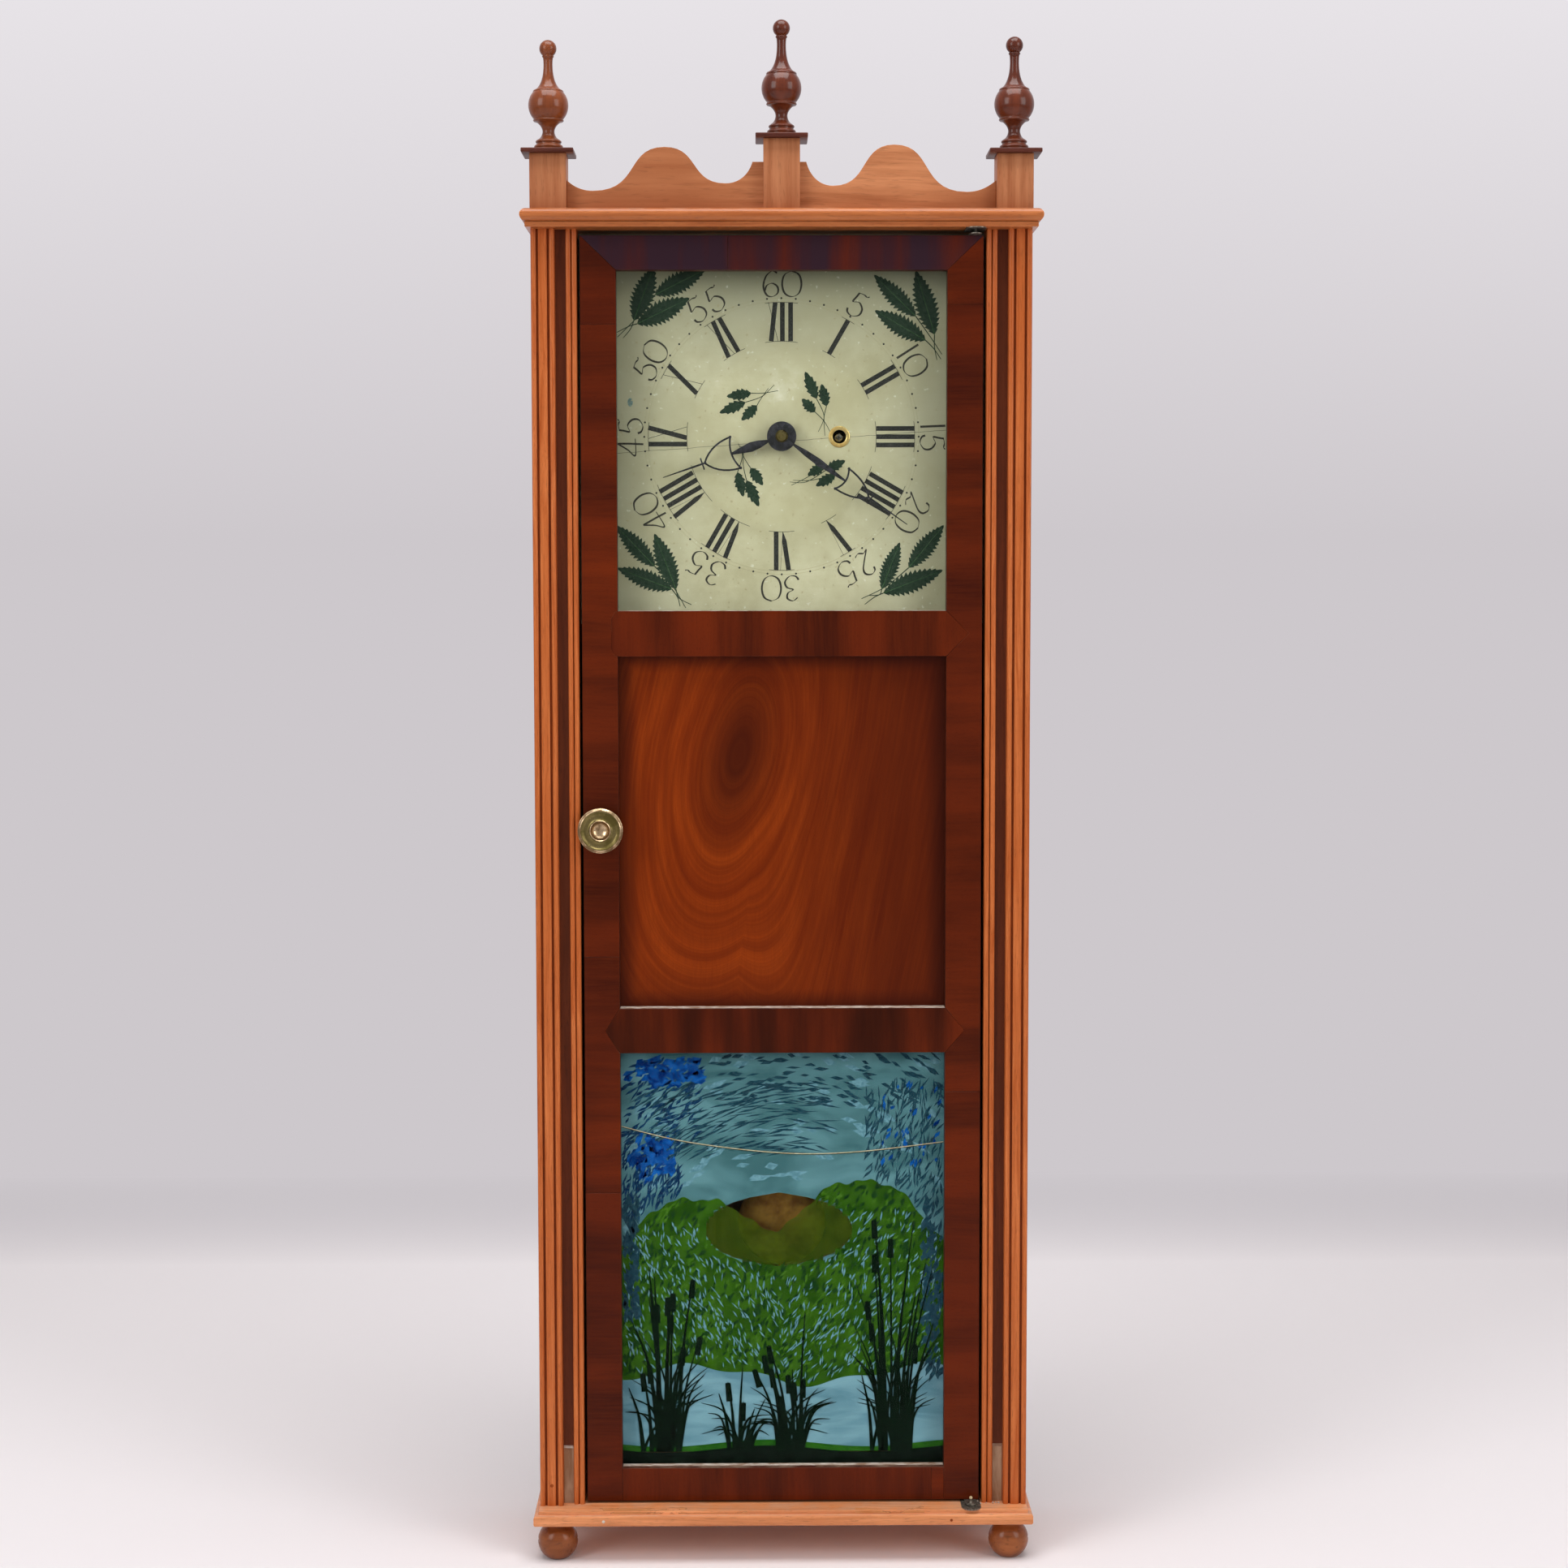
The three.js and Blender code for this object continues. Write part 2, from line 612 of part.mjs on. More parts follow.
const FOOT_NECK_RADIUS = 10.5;
const FOOT_CUT = 60; // degrees below the equator, where the ball is cut flat
const FOOT_EQUATOR = FOOT_BALL_RADIUS * Math.sin(radians(FOOT_CUT));
const footProfile = [
	[0, 0],
	[FOOT_BALL_RADIUS * Math.cos(radians(FOOT_CUT)), 0],
	...arc(0, FOOT_EQUATOR, FOOT_BALL_RADIUS, -FOOT_CUT, 50, 6).slice(1),
	[FOOT_NECK_RADIUS, FOOT_HEIGHT - 4],
	[FOOT_NECK_RADIUS, FOOT_HEIGHT],
	[0, FOOT_HEIGHT],
];
const FOOT_X = CASE_X + BASE_SIDE_OVERHANG - FOOT_INSET - FOOT_BALL_RADIUS;
const FOOT_ROWS = [
	['front', FRONT_Y + FOOT_INSET * 2 + FOOT_BALL_RADIUS],
	['back', BACK_Y - FOOT_INSET - FOOT_BALL_RADIUS],
];
for (const [row, y] of FOOT_ROWS) {
	for (const [side, sign] of SIDES) {
		add(
			caseGroup,
			`ball_foot_${row}_${side}`,
			turned(footProfile, 14).translate(sign * FOOT_X, y, 0),
			footWood
		);
	}
}

// ---- Door frame -----------------------------------------------------------------------------------

const doorGroup = makeGroup('door');
const LEDGE_X = OPENING_X + REBATE;

const doorStileSection = [
	[DOOR_X, DOOR_FACE],
	[DOOR_X, FRAME_BACK],
	[LEDGE_X, FRAME_BACK],
	[LEDGE_X, LEDGE_Y],
	[OPENING_X, LEDGE_Y],
	[OPENING_X, DOOR_FACE],
];
const rightStile = upright(doorStileSection, DOOR_BOTTOM, DOOR_TOP);
const leftStile = upright(mirrored(doorStileSection), DOOR_BOTTOM, DOOR_TOP);
const knobHole = rod(KNOB_STEM_RADIUS + RUNNING_GAP, DOOR_FACE - 1, FRAME_BACK + 1, 16);
add(doorGroup, 'door_stile_left', cut(leftStile, knobHole.translate(KNOB_X, 0, KNOB_Z)), doorVeneer);
add(doorGroup, 'door_stile_right', rightStile, doorVeneer);

/** A rail with a ledge behind its lower or upper edge wherever an opening meets it. */
function rail(z0, z1, ledgeBelow, ledgeAbove) {
	const lip = box(-OPENING_X, OPENING_X, DOOR_FACE, LEDGE_Y, z0, z1);
	const back = box(
		-LEDGE_X,
		LEDGE_X,
		LEDGE_Y,
		FRAME_BACK,
		z0 + (ledgeBelow ? REBATE : 0),
		z1 - (ledgeAbove ? REBATE : 0)
	);
	return join(lip, back);
}

add(doorGroup, 'door_rail_top', rail(DIAL_OPENING_TOP, DOOR_TOP, true, false), doorVeneer);
add(doorGroup, 'door_rail_upper', rail(PANEL_TOP, DIAL_OPENING_BOTTOM, true, true), doorVeneer);
add(doorGroup, 'door_rail_lower', rail(TABLET_TOP, PANEL_BOTTOM, true, true), doorVeneer);
add(doorGroup, 'door_rail_bottom', rail(DOOR_BOTTOM, TABLET_BOTTOM, false, true), doorVeneer);

/** A sheet that fills the rebate of one opening. */
function infill(z0, z1, thickness) {
	return box(-LEDGE_X, LEDGE_X, LEDGE_Y, LEDGE_Y + thickness, z0 - REBATE, z1 + REBATE);
}

add(doorGroup, 'dial_glass', infill(DIAL_OPENING_BOTTOM, DIAL_OPENING_TOP, GLASS_THICKNESS), clearGlass);
add(doorGroup, 'door_panel', infill(PANEL_BOTTOM, PANEL_TOP, PANEL_THICKNESS), panelVeneer);
add(doorGroup, 'tablet_glass', infill(TABLET_BOTTOM, TABLET_TOP, GLASS_THICKNESS), paintedGlass);

// ---- Knob with its latch blade --------------------------------------------------------------------

// Radii and distances in front of the door face, from the rim to the cup in the middle.
const knobProfile = [
	[0, 0.3],
	[9, 0.3],
	[9, 4],
	[7, 6.5],
	[10, 9.5],
	[KNOB_RADIUS - 1.2, 11],
	[KNOB_RADIUS, 12.6],
	[KNOB_RADIUS - 0.8, 14.2],
	[KNOB_RADIUS - 3, 14.8],
	[KNOB_RADIUS - 5, 13.6],
	[KNOB_RADIUS - 8, 12.8],
	[9.2, 14],
	[8.2, 15],
	[6.6, 13.6],
	[4.6, 13.8],
	[2.6, 15.6],
	[0, 16.2],
].map(([radius, front]) => [radius, DOOR_FACE - front]);

const LATCH_THICKNESS = 2;
const LATCH_LENGTH = 28;
const LATCH_WIDTH = 9;
const latchFront = FRAME_BACK + RUNNING_GAP;
const latchBlade = box(
	-LATCH_WIDTH / 2,
	LATCH_WIDTH / 2,
	latchFront,
	latchFront + LATCH_THICKNESS,
	-LATCH_WIDTH / 2,
	LATCH_LENGTH
);
const knobStem = rod(KNOB_STEM_RADIUS, DOOR_FACE - 1, latchFront + LATCH_THICKNESS / 2, 16);
add(
	doorGroup,
	'door_knob',
	join(turnedAcross(knobProfile, 20), knobStem, latchBlade).translate(KNOB_X, 0, KNOB_Z),
	agedBrass
);

// ---- Pin hinges -----------------------------------------------------------------------------------

/** A flat tongue with a round end in front, drawn round the pin axis. */
function tongue(radius, reach, behind, z0, z1) {
	const section = [[radius, behind], ...arc(0, radius - reach, radius, 0, -180, 8), [-radius, behind]];
	return upright(section, z0, z1);
}

const CASE_TONGUE_REACH = 14;
const CASE_TONGUE_BACK = HINGE_PIN_PROUD + LIP_THICKNESS;
const LEAF_RADIUS = 5;
const LEAF_REACH = 5;
const PIN_HEAD_RADIUS = 1.5;

/** Door leaf with its pin, which passes the case plate. */
function doorLeaf(z0, z1, pinFrom, pinTo) {
	const leaf = tongue(LEAF_RADIUS, LEAF_REACH, CASE_TONGUE_BACK, z0, z1);
	return join(leaf, post(HINGE_PIN_RADIUS, pinFrom, pinTo, 12));
}

function casePlate(z0) {
	const z1 = z0 + HINGE_PLATE;
	const pinHole = post(HINGE_PIN_RADIUS + RUNNING_GAP, z0 - 1, z1 + 1, 12);
	return cut(tongue(HINGE_LOBE_RADIUS, CASE_TONGUE_REACH, CASE_TONGUE_BACK, z0, z1), pinHole);
}
const lowerPlate = casePlate(BODY_Z);
const upperPlate = casePlate(CORNICE_Z - HINGE_PLATE);
add(caseGroup, 'hinge_plate_lower', lowerPlate.translate(PIN_X, PIN_Y, 0), greyMetal);
add(caseGroup, 'hinge_plate_upper', upperPlate.translate(PIN_X, PIN_Y, 0), greyMetal);

// The lower pin rises above its leaf and ends in a round head.
const PIN_RISE = 4;
const pinHead = new THREE.SphereGeometry(PIN_HEAD_RADIUS, 8, 6).translate(0, 0, DOOR_BOTTOM + PIN_RISE + 0.4);
const lowerLeaf = join(
	doorLeaf(DOOR_BOTTOM - HINGE_PLATE, DOOR_BOTTOM, BODY_Z + RUNNING_GAP, DOOR_BOTTOM + PIN_RISE),
	pinHead
);
const upperLeaf = doorLeaf(DOOR_TOP, DOOR_TOP + HINGE_PLATE, DOOR_TOP, CORNICE_Z - RUNNING_GAP);
add(doorGroup, 'hinge_pin_lower', lowerLeaf.translate(PIN_X, PIN_Y, 0), greyMetal);
add(doorGroup, 'hinge_pin_upper', upperLeaf.translate(PIN_X, PIN_Y, 0), greyMetal);

// ---- Dial -----------------------------------------------------------------------------------------

const dialGroup = makeGroup('dial');
const HOUR_PIPE_RADIUS = 4.5;
const WINDING_HOLE_RADIUS = 6.5;
const RING_RADIUS = 8.9;
const RING_BORE = 5.6;
const RING_FLANGE = 1;

const dialBoard = box(
	-INNER_X,
	INNER_X,
	DIAL_FACE,
	DIAL_BACK,
	DIAL_OPENING_BOTTOM - DIAL_BORDER,
	CORNICE_Z
);
const centreHole = rod(HOUR_PIPE_RADIUS + 1.5, DIAL_FACE - 1, DIAL_BACK + 1, 20).translate(0, 0, DIAL_Z);
const windingHole = rod(WINDING_HOLE_RADIUS, DIAL_FACE - 1, DIAL_BACK + 1, 24);
add(
	dialGroup,
	'dial_board',
	cut(dialBoard, centreHole, windingHole.translate(WINDING_OFFSET, 0, DIAL_Z)),
	dialPaint
);
const ringProfile = [
	[RING_BORE, DIAL_FACE - RING_FLANGE],
	[RING_RADIUS - 0.6, DIAL_FACE - RING_FLANGE],
	[RING_RADIUS, DIAL_FACE],
	[WINDING_HOLE_RADIUS - RUNNING_GAP, DIAL_FACE],
	[WINDING_HOLE_RADIUS - RUNNING_GAP, DIAL_BACK],
	[RING_BORE, DIAL_BACK],
	[RING_BORE, DIAL_FACE - RING_FLANGE],
];
add(
	dialGroup,
	'winding_hole_ring',
	turnedAcross(ringProfile, 20).translate(WINDING_OFFSET, 0, DIAL_Z),
	brightBrass
);

// ---- Hands ----------------------------------------------------------------------------------------

const HOUR_HAND_FRONT = DIAL_FACE - HOUR_HAND_AIR;
const MINUTE_HAND_FRONT = DIAL_FACE - MINUTE_HAND_AIR;
const HUB_RADIUS = 12.2;
const WIRE = 1.5;

/** A band of constant width along a line of points. */
function band(points, width) {
	const edge = (side) =>
		points.map(([x, z], i) => {
			const [ax, az] = points[Math.max(i - 1, 0)];
			const [bx, bz] = points[Math.min(i + 1, points.length - 1)];
			const length = Math.hypot(bx - ax, bz - az);
			return [x - (side * width * (bz - az)) / length / 2, z + (side * width * (bx - ax)) / length / 2];
		});
	return outline([...edge(-1), ...edge(1).reverse()]);
}

function quadratic(start, bend, end, steps) {
	return Array.from({ length: steps + 1 }, (_, i) => {
		const t = i / steps;
		return [0, 1].map((k) => (1 - t) ** 2 * start[k] + 2 * t * (1 - t) * bend[k] + t ** 2 * end[k]);
	});
}

/**
 * A hand pointing up from its hub: a spindle blade, an open shield of wire with two horns and a small
 * cross bar, and a thin point.
 */
function hand({ length, shieldStart, shieldEnd, shieldHalf, bladeHalf, bore, front }) {
	const back = front + HAND_THICKNESS;
	const flat = (shape) => plate(shape, front, back, 10);
	const bladeMiddle = (HUB_RADIUS + shieldStart) / 2;
	const blade = outline([
		[-WIRE / 2, HUB_RADIUS - 2],
		[WIRE / 2, HUB_RADIUS - 2],
		[bladeHalf * 0.8, (HUB_RADIUS + bladeMiddle) / 2],
		[bladeHalf, bladeMiddle],
		[bladeHalf * 0.7, (bladeMiddle + shieldStart) / 2],
		[WIRE / 2, shieldStart + 3],
		[-WIRE / 2, shieldStart + 3],
		[-bladeHalf * 0.7, (bladeMiddle + shieldStart) / 2],
		[-bladeHalf, bladeMiddle],
		[-bladeHalf * 0.8, (HUB_RADIUS + bladeMiddle) / 2],
	]);
	const crescentBend = shieldStart + 6;
	const horns = quadratic([-shieldHalf, shieldStart - 1], [0, crescentBend], [shieldHalf, shieldStart - 1], 8);
	const cheek = (side) =>
		quadratic(
			[side * shieldHalf, shieldStart - 1],
			[side * shieldHalf * 0.95, (shieldStart + shieldEnd) / 2 + 4],
			[0, shieldEnd],
			7
		);
	const CROSS_BAR_HALF = 5;
	const [barStart, barEnd] = [shieldEnd + 1.4, shieldEnd + 2.6];
	const crossBar = outline([
		[-CROSS_BAR_HALF, barStart],
		[CROSS_BAR_HALF, barStart],
		[CROSS_BAR_HALF, barEnd],
		[-CROSS_BAR_HALF, barEnd],
	]);
	const point = outline([
		[-WIRE / 2, shieldEnd - 1.5],
		[WIRE / 2, shieldEnd - 1.5],
		[WIRE * 0.55, shieldEnd + 8],
		[0.3, length],
		[-0.3, length],
		[-WIRE * 0.55, shieldEnd + 8],
	]);
	const knots = [-1, 1].map((side) => rod(1.2, front, back, 8).translate(side * shieldHalf, 0, shieldStart - 1));
	const whole = join(
		rod(HUB_RADIUS, front, back, 28),
		flat(blade),
		flat(band(horns, WIRE)),
		flat(band(cheek(-1), WIRE)),
		flat(band(cheek(1), WIRE)),
		flat(crossBar),
		flat(point),
		...knots
	);
	return cut(whole, rod(bore, front - 1, back + 1, 16));
}

const ARBOR_RADIUS = 2;
const minuteHand = hand({
	length: MINUTE_HAND_LENGTH,
	shieldStart: 62,
	shieldEnd: 88,
	shieldHalf: 10,
	bladeHalf: 3,
	bore: ARBOR_RADIUS + RUNNING_GAP,
	front: MINUTE_HAND_FRONT,
});
const HOUR_PIPE_NECK = 3.5;
const hourHand = hand({
	length: HOUR_HAND_LENGTH,
	shieldStart: 41.5,
	shieldEnd: 67.5,
	shieldHalf: 13.5,
	bladeHalf: 4,
	bore: HOUR_PIPE_NECK + RUNNING_GAP,
	front: HOUR_HAND_FRONT,
});
add(
	dialGroup,
	'minute_hand',
	minuteHand.rotateY(radians(MINUTE_HAND_TURN)).translate(0, 0, DIAL_Z),
	blackIron
);
add(dialGroup, 'hour_hand', hourHand.rotateY(radians(HOUR_HAND_TURN)).translate(0, 0, DIAL_Z), blackIron);

// ---- Movement layout ------------------------------------------------------------------------------

const movementGroup = makeGroup('movement');

const FRONT_PLATE_Y = DIAL_BACK + MOTION_SPACE;
const PLATE_GAP_FRONT = FRONT_PLATE_Y + PLATE_THICKNESS;
const BACK_PLATE_Y = PLATE_GAP_FRONT + PLATE_SPACING;
const PENDULUM_Y = BACK_PLATE_Y + PENDULUM_BEHIND_PLATE;
const LINE_Y = (PLATE_GAP_FRONT + BACK_PLATE_Y) / 2;

const distance = (module, a, b) => (module * (a + b)) / 2;
const GREAT_MODULE = WINDING_OFFSET / distance(1, GREAT_WHEEL_TEETH, PINION_LEAVES);
const CENTRE_MODULE = 0.75;
const THIRD_MODULE = 0.85;
const CANNON_MODULE = 0.8;
const MINUTE_DISTANCE = distance(CANNON_MODULE, CANNON_TEETH, MINUTE_WHEEL_TEETH);
const HOUR_MODULE = MINUTE_DISTANCE / distance(1, MINUTE_PINION_TEETH, HOUR_WHEEL_TEETH);

const CENTRE = [0, DIAL_Z];
const GREAT = [WINDING_OFFSET, DIAL_Z];
const ESCAPE_RISE = 34;
const ESCAPE_RADIUS = 14;
const ESCAPE = [0, DIAL_Z + ESCAPE_RISE];
const centreToThird = distance(CENTRE_MODULE, CENTRE_WHEEL_TEETH, PINION_LEAVES);
const thirdToEscape = distance(THIRD_MODULE, THIRD_WHEEL_TEETH, PINION_LEAVES);
const thirdRise = (centreToThird ** 2 - thirdToEscape ** 2 + ESCAPE_RISE ** 2) / (2 * ESCAPE_RISE);
const THIRD = [-Math.sqrt(centreToThird ** 2 - thirdRise ** 2), DIAL_Z + thirdRise];
const minuteOffset = MINUTE_DISTANCE / Math.SQRT2;
const MINUTE = [-minuteOffset, DIAL_Z - minuteOffset];
const PALLET_SPREAD = radians(45);
const VERGE = [0, ESCAPE[1] + ESCAPE_RADIUS / Math.cos(PALLET_SPREAD)];

// The beat gives the pendulum's length: one minute-hand turn is this many half swings.
const BEATS_PER_HOUR =
	(2 * ESCAPE_TEETH * CENTRE_WHEEL_TEETH * THIRD_WHEEL_TEETH) / (PINION_LEAVES * PINION_LEAVES);
const SWING_SECONDS = 7200 / BEATS_PER_HOUR;
const PENDULUM_LENGTH = GRAVITY * (SWING_SECONDS / TURN) ** 2;
const BOB_Z = VERGE[1] - PENDULUM_LENGTH;

/** Outline of a toothed wheel with a tooth centred on the given angle. */
function toothed(teeth, module, phase) {
	const pitch = TURN / teeth;
	const root = module * (teeth / 2 - 1.25);
	const tip = module * (teeth / 2 + 0.9);
	const points = [];
	for (let tooth = 0; tooth < teeth; tooth += 1) {
		points.push(polar(root, phase + (tooth - 0.5) * pitch));
		points.push(polar(tip, phase + tooth * pitch));
	}
	return outline(points);
}

/** Angle of a tooth on the second wheel that meshes with a first wheel whose tooth is at phase. */
function meshPhase(from, to, teethFrom, phaseFrom, teethTo) {
	const direction = Math.atan2(to[1] - from[1], to[0] - from[0]);
	const offset = ((direction - phaseFrom) * teethFrom) / TURN;
	return direction + Math.PI - ((0.5 - offset) * TURN) / teethTo;
}

/** Cuts the crossings out of a wheel shape and leaves the given number of spokes. */
function crossOut(shape, spokes, inner, outer, spokeWidth) {
	for (let i = 0; i < spokes; i += 1) {
		const middle = ((i + 0.5) * TURN) / spokes;
		const reach = (radius) => Math.PI / spokes - spokeWidth / 2 / radius;
		const path = new THREE.Path();
		path.absarc(0, 0, outer, middle - reach(outer), middle + reach(outer), false);
		path.absarc(0, 0, inner, middle + reach(inner), middle - reach(inner), true);
		path.closePath();
		shape.holes.push(path);
	}
	return shape;
}

function wheel(teeth, module, phase, y0, y1, hub) {
	const rim = module * (teeth / 2 - 1.25) - 2;
	const shape = crossOut(toothed(teeth, module, phase), 4, hub, rim, 3);
	return plate(shape, y0, y1, 2);
}

const leaves = (teeth, module, phase, y0, y1) => plate(toothed(teeth, module, phase), y0, y1);
const place = (geometry, [x, z]) => geometry.translate(x, 0, z);

const PIVOT_RADIUS = 1;
const PIVOT_HOLE = PIVOT_RADIUS + 0.2;
const WHEEL_THICKNESS = 2;
const FRONT_PIVOT = FRONT_PLATE_Y + 0.5;
const BACK_PIVOT = BACK_PLATE_Y + PLATE_THICKNESS - 0.5;
const SHOULDER = 0.4;

/** An arbor between the plates with a thin pivot at each end. */
function arbor(radius) {
	return turnedAcross(
		[
			[0, FRONT_PIVOT],
			[PIVOT_RADIUS, FRONT_PIVOT],
			[PIVOT_RADIUS, PLATE_GAP_FRONT + SHOULDER],
			[radius, PLATE_GAP_FRONT + SHOULDER],
			[radius, BACK_PLATE_Y - SHOULDER],
			[PIVOT_RADIUS, BACK_PLATE_Y - SHOULDER],
			[PIVOT_RADIUS, BACK_PIVOT],
			[0, BACK_PIVOT],
		],
		12
	);
}

// Planes of the wheels between the plates, from the front.
const THIRD_WHEEL_Y = PLATE_GAP_FRONT + THIRD_WHEEL_STEP;
const ESCAPE_WHEEL_Y = THIRD_WHEEL_Y + ESCAPE_WHEEL_STEP;
const CENTRE_WHEEL_Y = ESCAPE_WHEEL_Y + CENTRE_WHEEL_STEP;
const GREAT_WHEEL_Y = CENTRE_WHEEL_Y + GREAT_WHEEL_STEP;
const DRUM_FRONT = THIRD_WHEEL_Y + 0.5;

// ---- Plates ---------------------------------------------------------------------------------------

const PLATE_LEFT = -40;
const PLATE_RIGHT = 2 * WINDING_OFFSET + 2;
const PLATE_BELOW_CENTRE = 50;
const PLATE_BOTTOM = DIAL_Z - PLATE_BELOW_CENTRE;
const PLATE_TOP = VERGE[1] + 14;
const PLATE_CORNER = 5;
const PILLAR_RADIUS = 4;
const PILLAR_INSET = 8;
const LINE_PILLAR_INSET = 26; // this pillar stands clear of the rising line
const PILLARS = [
	[PLATE_LEFT + PILLAR_INSET, PLATE_BOTTOM + PILLAR_INSET],
	[PLATE_RIGHT - PILLAR_INSET, PLATE_BOTTOM + PILLAR_INSET],
	[PLATE_LEFT + PILLAR_INSET, PLATE_TOP - PILLAR_INSET],
	[PLATE_RIGHT - LINE_PILLAR_INSET, PLATE_TOP - PILLAR_INSET],
];

const plateShape = outline([
	...arc(PLATE_RIGHT - PLATE_CORNER, PLATE_TOP - PLATE_CORNER, PLATE_CORNER, 0, 90, 3),
	...arc(PLATE_LEFT + PLATE_CORNER, PLATE_TOP - PLATE_CORNER, PLATE_CORNER, 90, 180, 3),
	...arc(PLATE_LEFT + PLATE_CORNER, PLATE_BOTTOM + PLATE_CORNER, PLATE_CORNER, 180, 270, 3),
	...arc(PLATE_RIGHT - PLATE_CORNER, PLATE_BOTTOM + PLATE_CORNER, PLATE_CORNER, 270, 360, 3),
]);

const drill = (radius, [x, z]) => rod(radius, DIAL_BACK, BACK_BOARD_FACE, 12).translate(x, 0, z);

const DRUM_ARBOR_RADIUS = 3;
const STUD_RADIUS = 1.6;
const STUD_LENGTH = 10;
const minuteStud = place(rod(STUD_RADIUS, FRONT_PLATE_Y - STUD_LENGTH, PLATE_GAP_FRONT - 0.5, 10), MINUTE);
const frontPlate = cut(
	plate(plateShape, FRONT_PLATE_Y, PLATE_GAP_FRONT),
	drill(HOUR_PIPE_RADIUS, CENTRE),
	drill(DRUM_ARBOR_RADIUS + RUNNING_GAP, GREAT),
	...[THIRD, ESCAPE, VERGE].map((centre) => drill(PIVOT_HOLE, centre))
);
add(movementGroup, 'movement_front_plate', join(frontPlate, minuteStud), brightBrass);

const VERGE_ARBOR_RADIUS = 1.6;
const COCK_WIDTH = 14;
const COCK_BOTTOM = VERGE[1] + 3;
const COCK_TOP = VERGE[1] + 12;
const COCK_BACK = PENDULUM_Y + 4;
const SPRING_THICKNESS = 0.6;
const SPRING_WIDTH = 5;
const cock = box(
	-COCK_WIDTH / 2,
	COCK_WIDTH / 2,
	BACK_PLATE_Y + 1,
	COCK_BACK,
	COCK_BOTTOM,
	COCK_TOP
);
const cockSlot = box(
	-SPRING_THICKNESS / 2 - 0.5,
	SPRING_THICKNESS / 2 + 0.5,
	PENDULUM_Y - SPRING_WIDTH / 2 - 0.5,
	COCK_BACK + 1,
	COCK_BOTTOM - 1,
	COCK_TOP - 3
);
const backPlate = cut(
	join(
		plate(plateShape, BACK_PLATE_Y, BACK_PLATE_Y + PLATE_THICKNESS),
		cut(cock, cockSlot),
		...PILLARS.map((centre) => place(rod(PILLAR_RADIUS, PLATE_GAP_FRONT, BACK_BOARD_FACE, 12), centre))
	),
	...[THIRD, ESCAPE, CENTRE, GREAT].map((centre) => drill(PIVOT_HOLE, centre)),
	place(rod(VERGE_ARBOR_RADIUS + 0.6, BACK_PLATE_Y - 1, BACK_PLATE_Y + PLATE_THICKNESS + 1, 14), VERGE)
);
add(movementGroup, 'movement_back_plate', backPlate, brightBrass);

// ---- Going train ----------------------------------------------------------------------------------

const greatPhase = 0;
const centrePinionPhase = meshPhase(GREAT, CENTRE, GREAT_WHEEL_TEETH, greatPhase, PINION_LEAVES);
const centrePhase = 0;
const thirdPinionPhase = meshPhase(CENTRE, THIRD, CENTRE_WHEEL_TEETH, centrePhase, PINION_LEAVES);
const thirdPhase = 0;
const escapePinionPhase = meshPhase(THIRD, ESCAPE, THIRD_WHEEL_TEETH, thirdPhase, PINION_LEAVES);
const cannonPhase = 0;
const minutePhase = meshPhase(CENTRE, MINUTE, CANNON_TEETH, cannonPhase, MINUTE_WHEEL_TEETH);
const minutePinionPhase = 0;
const hourPhase = meshPhase(MINUTE, CENTRE, MINUTE_PINION_TEETH, minutePinionPhase, HOUR_WHEEL_TEETH);

const GREAT_BORE = DRUM_ARBOR_RADIUS + RUNNING_GAP;
const greatWheel = cut(
	wheel(
		GREAT_WHEEL_TEETH,
		GREAT_MODULE,
		greatPhase,
		GREAT_WHEEL_Y,
		GREAT_WHEEL_Y + WHEEL_THICKNESS + 0.5,
		9
	),
	rod(GREAT_BORE, GREAT_WHEEL_Y - 1, GREAT_WHEEL_Y + WHEEL_THICKNESS + 2, 16)
);
add(movementGroup, 'great_wheel', place(greatWheel, GREAT), brightBrass);

// The drum carries the line; its arbor runs forward to the winding square behind the dial ring.
const DRUM_FLANGE_RADIUS = DRUM_RADIUS + 2.5;
const SQUARE_FRONT = DIAL_BACK - 1; // the key reaches it through the dial
const SQUARE_SIZE = 4.4;
const DRUM_FLANGE = 1.4;
const DRUM_BACK = GREAT_WHEEL_Y - 0.6;
const DRUM_ARBOR_FRONT = PLATE_GAP_FRONT - 5;
const drumProfile = [
	[0, DRUM_ARBOR_FRONT],
	[DRUM_ARBOR_RADIUS, DRUM_ARBOR_FRONT],
	[DRUM_ARBOR_RADIUS, DRUM_FRONT],
	[DRUM_FLANGE_RADIUS, DRUM_FRONT],
	[DRUM_FLANGE_RADIUS, DRUM_FRONT + DRUM_FLANGE],
	[DRUM_RADIUS, DRUM_FRONT + DRUM_FLANGE],
	[DRUM_RADIUS, DRUM_BACK - DRUM_FLANGE],
	[DRUM_FLANGE_RADIUS, DRUM_BACK - DRUM_FLANGE],
	[DRUM_FLANGE_RADIUS, DRUM_BACK],
	[DRUM_ARBOR_RADIUS, DRUM_BACK],
	[DRUM_ARBOR_RADIUS, BACK_PLATE_Y - SHOULDER],
	[PIVOT_RADIUS, BACK_PLATE_Y - SHOULDER],
	[PIVOT_RADIUS, BACK_PIVOT],
	[0, BACK_PIVOT],
];
const squareHalf = SQUARE_SIZE / 2;
const square = box(
	-squareHalf,
	squareHalf,
	SQUARE_FRONT,
	DRUM_ARBOR_FRONT + 1,
	-squareHalf,
	squareHalf
).rotateY(radians(45));
add(movementGroup, 'winding_drum', place(join(turnedAcross(drumProfile, 18), square), GREAT), brightBrass);

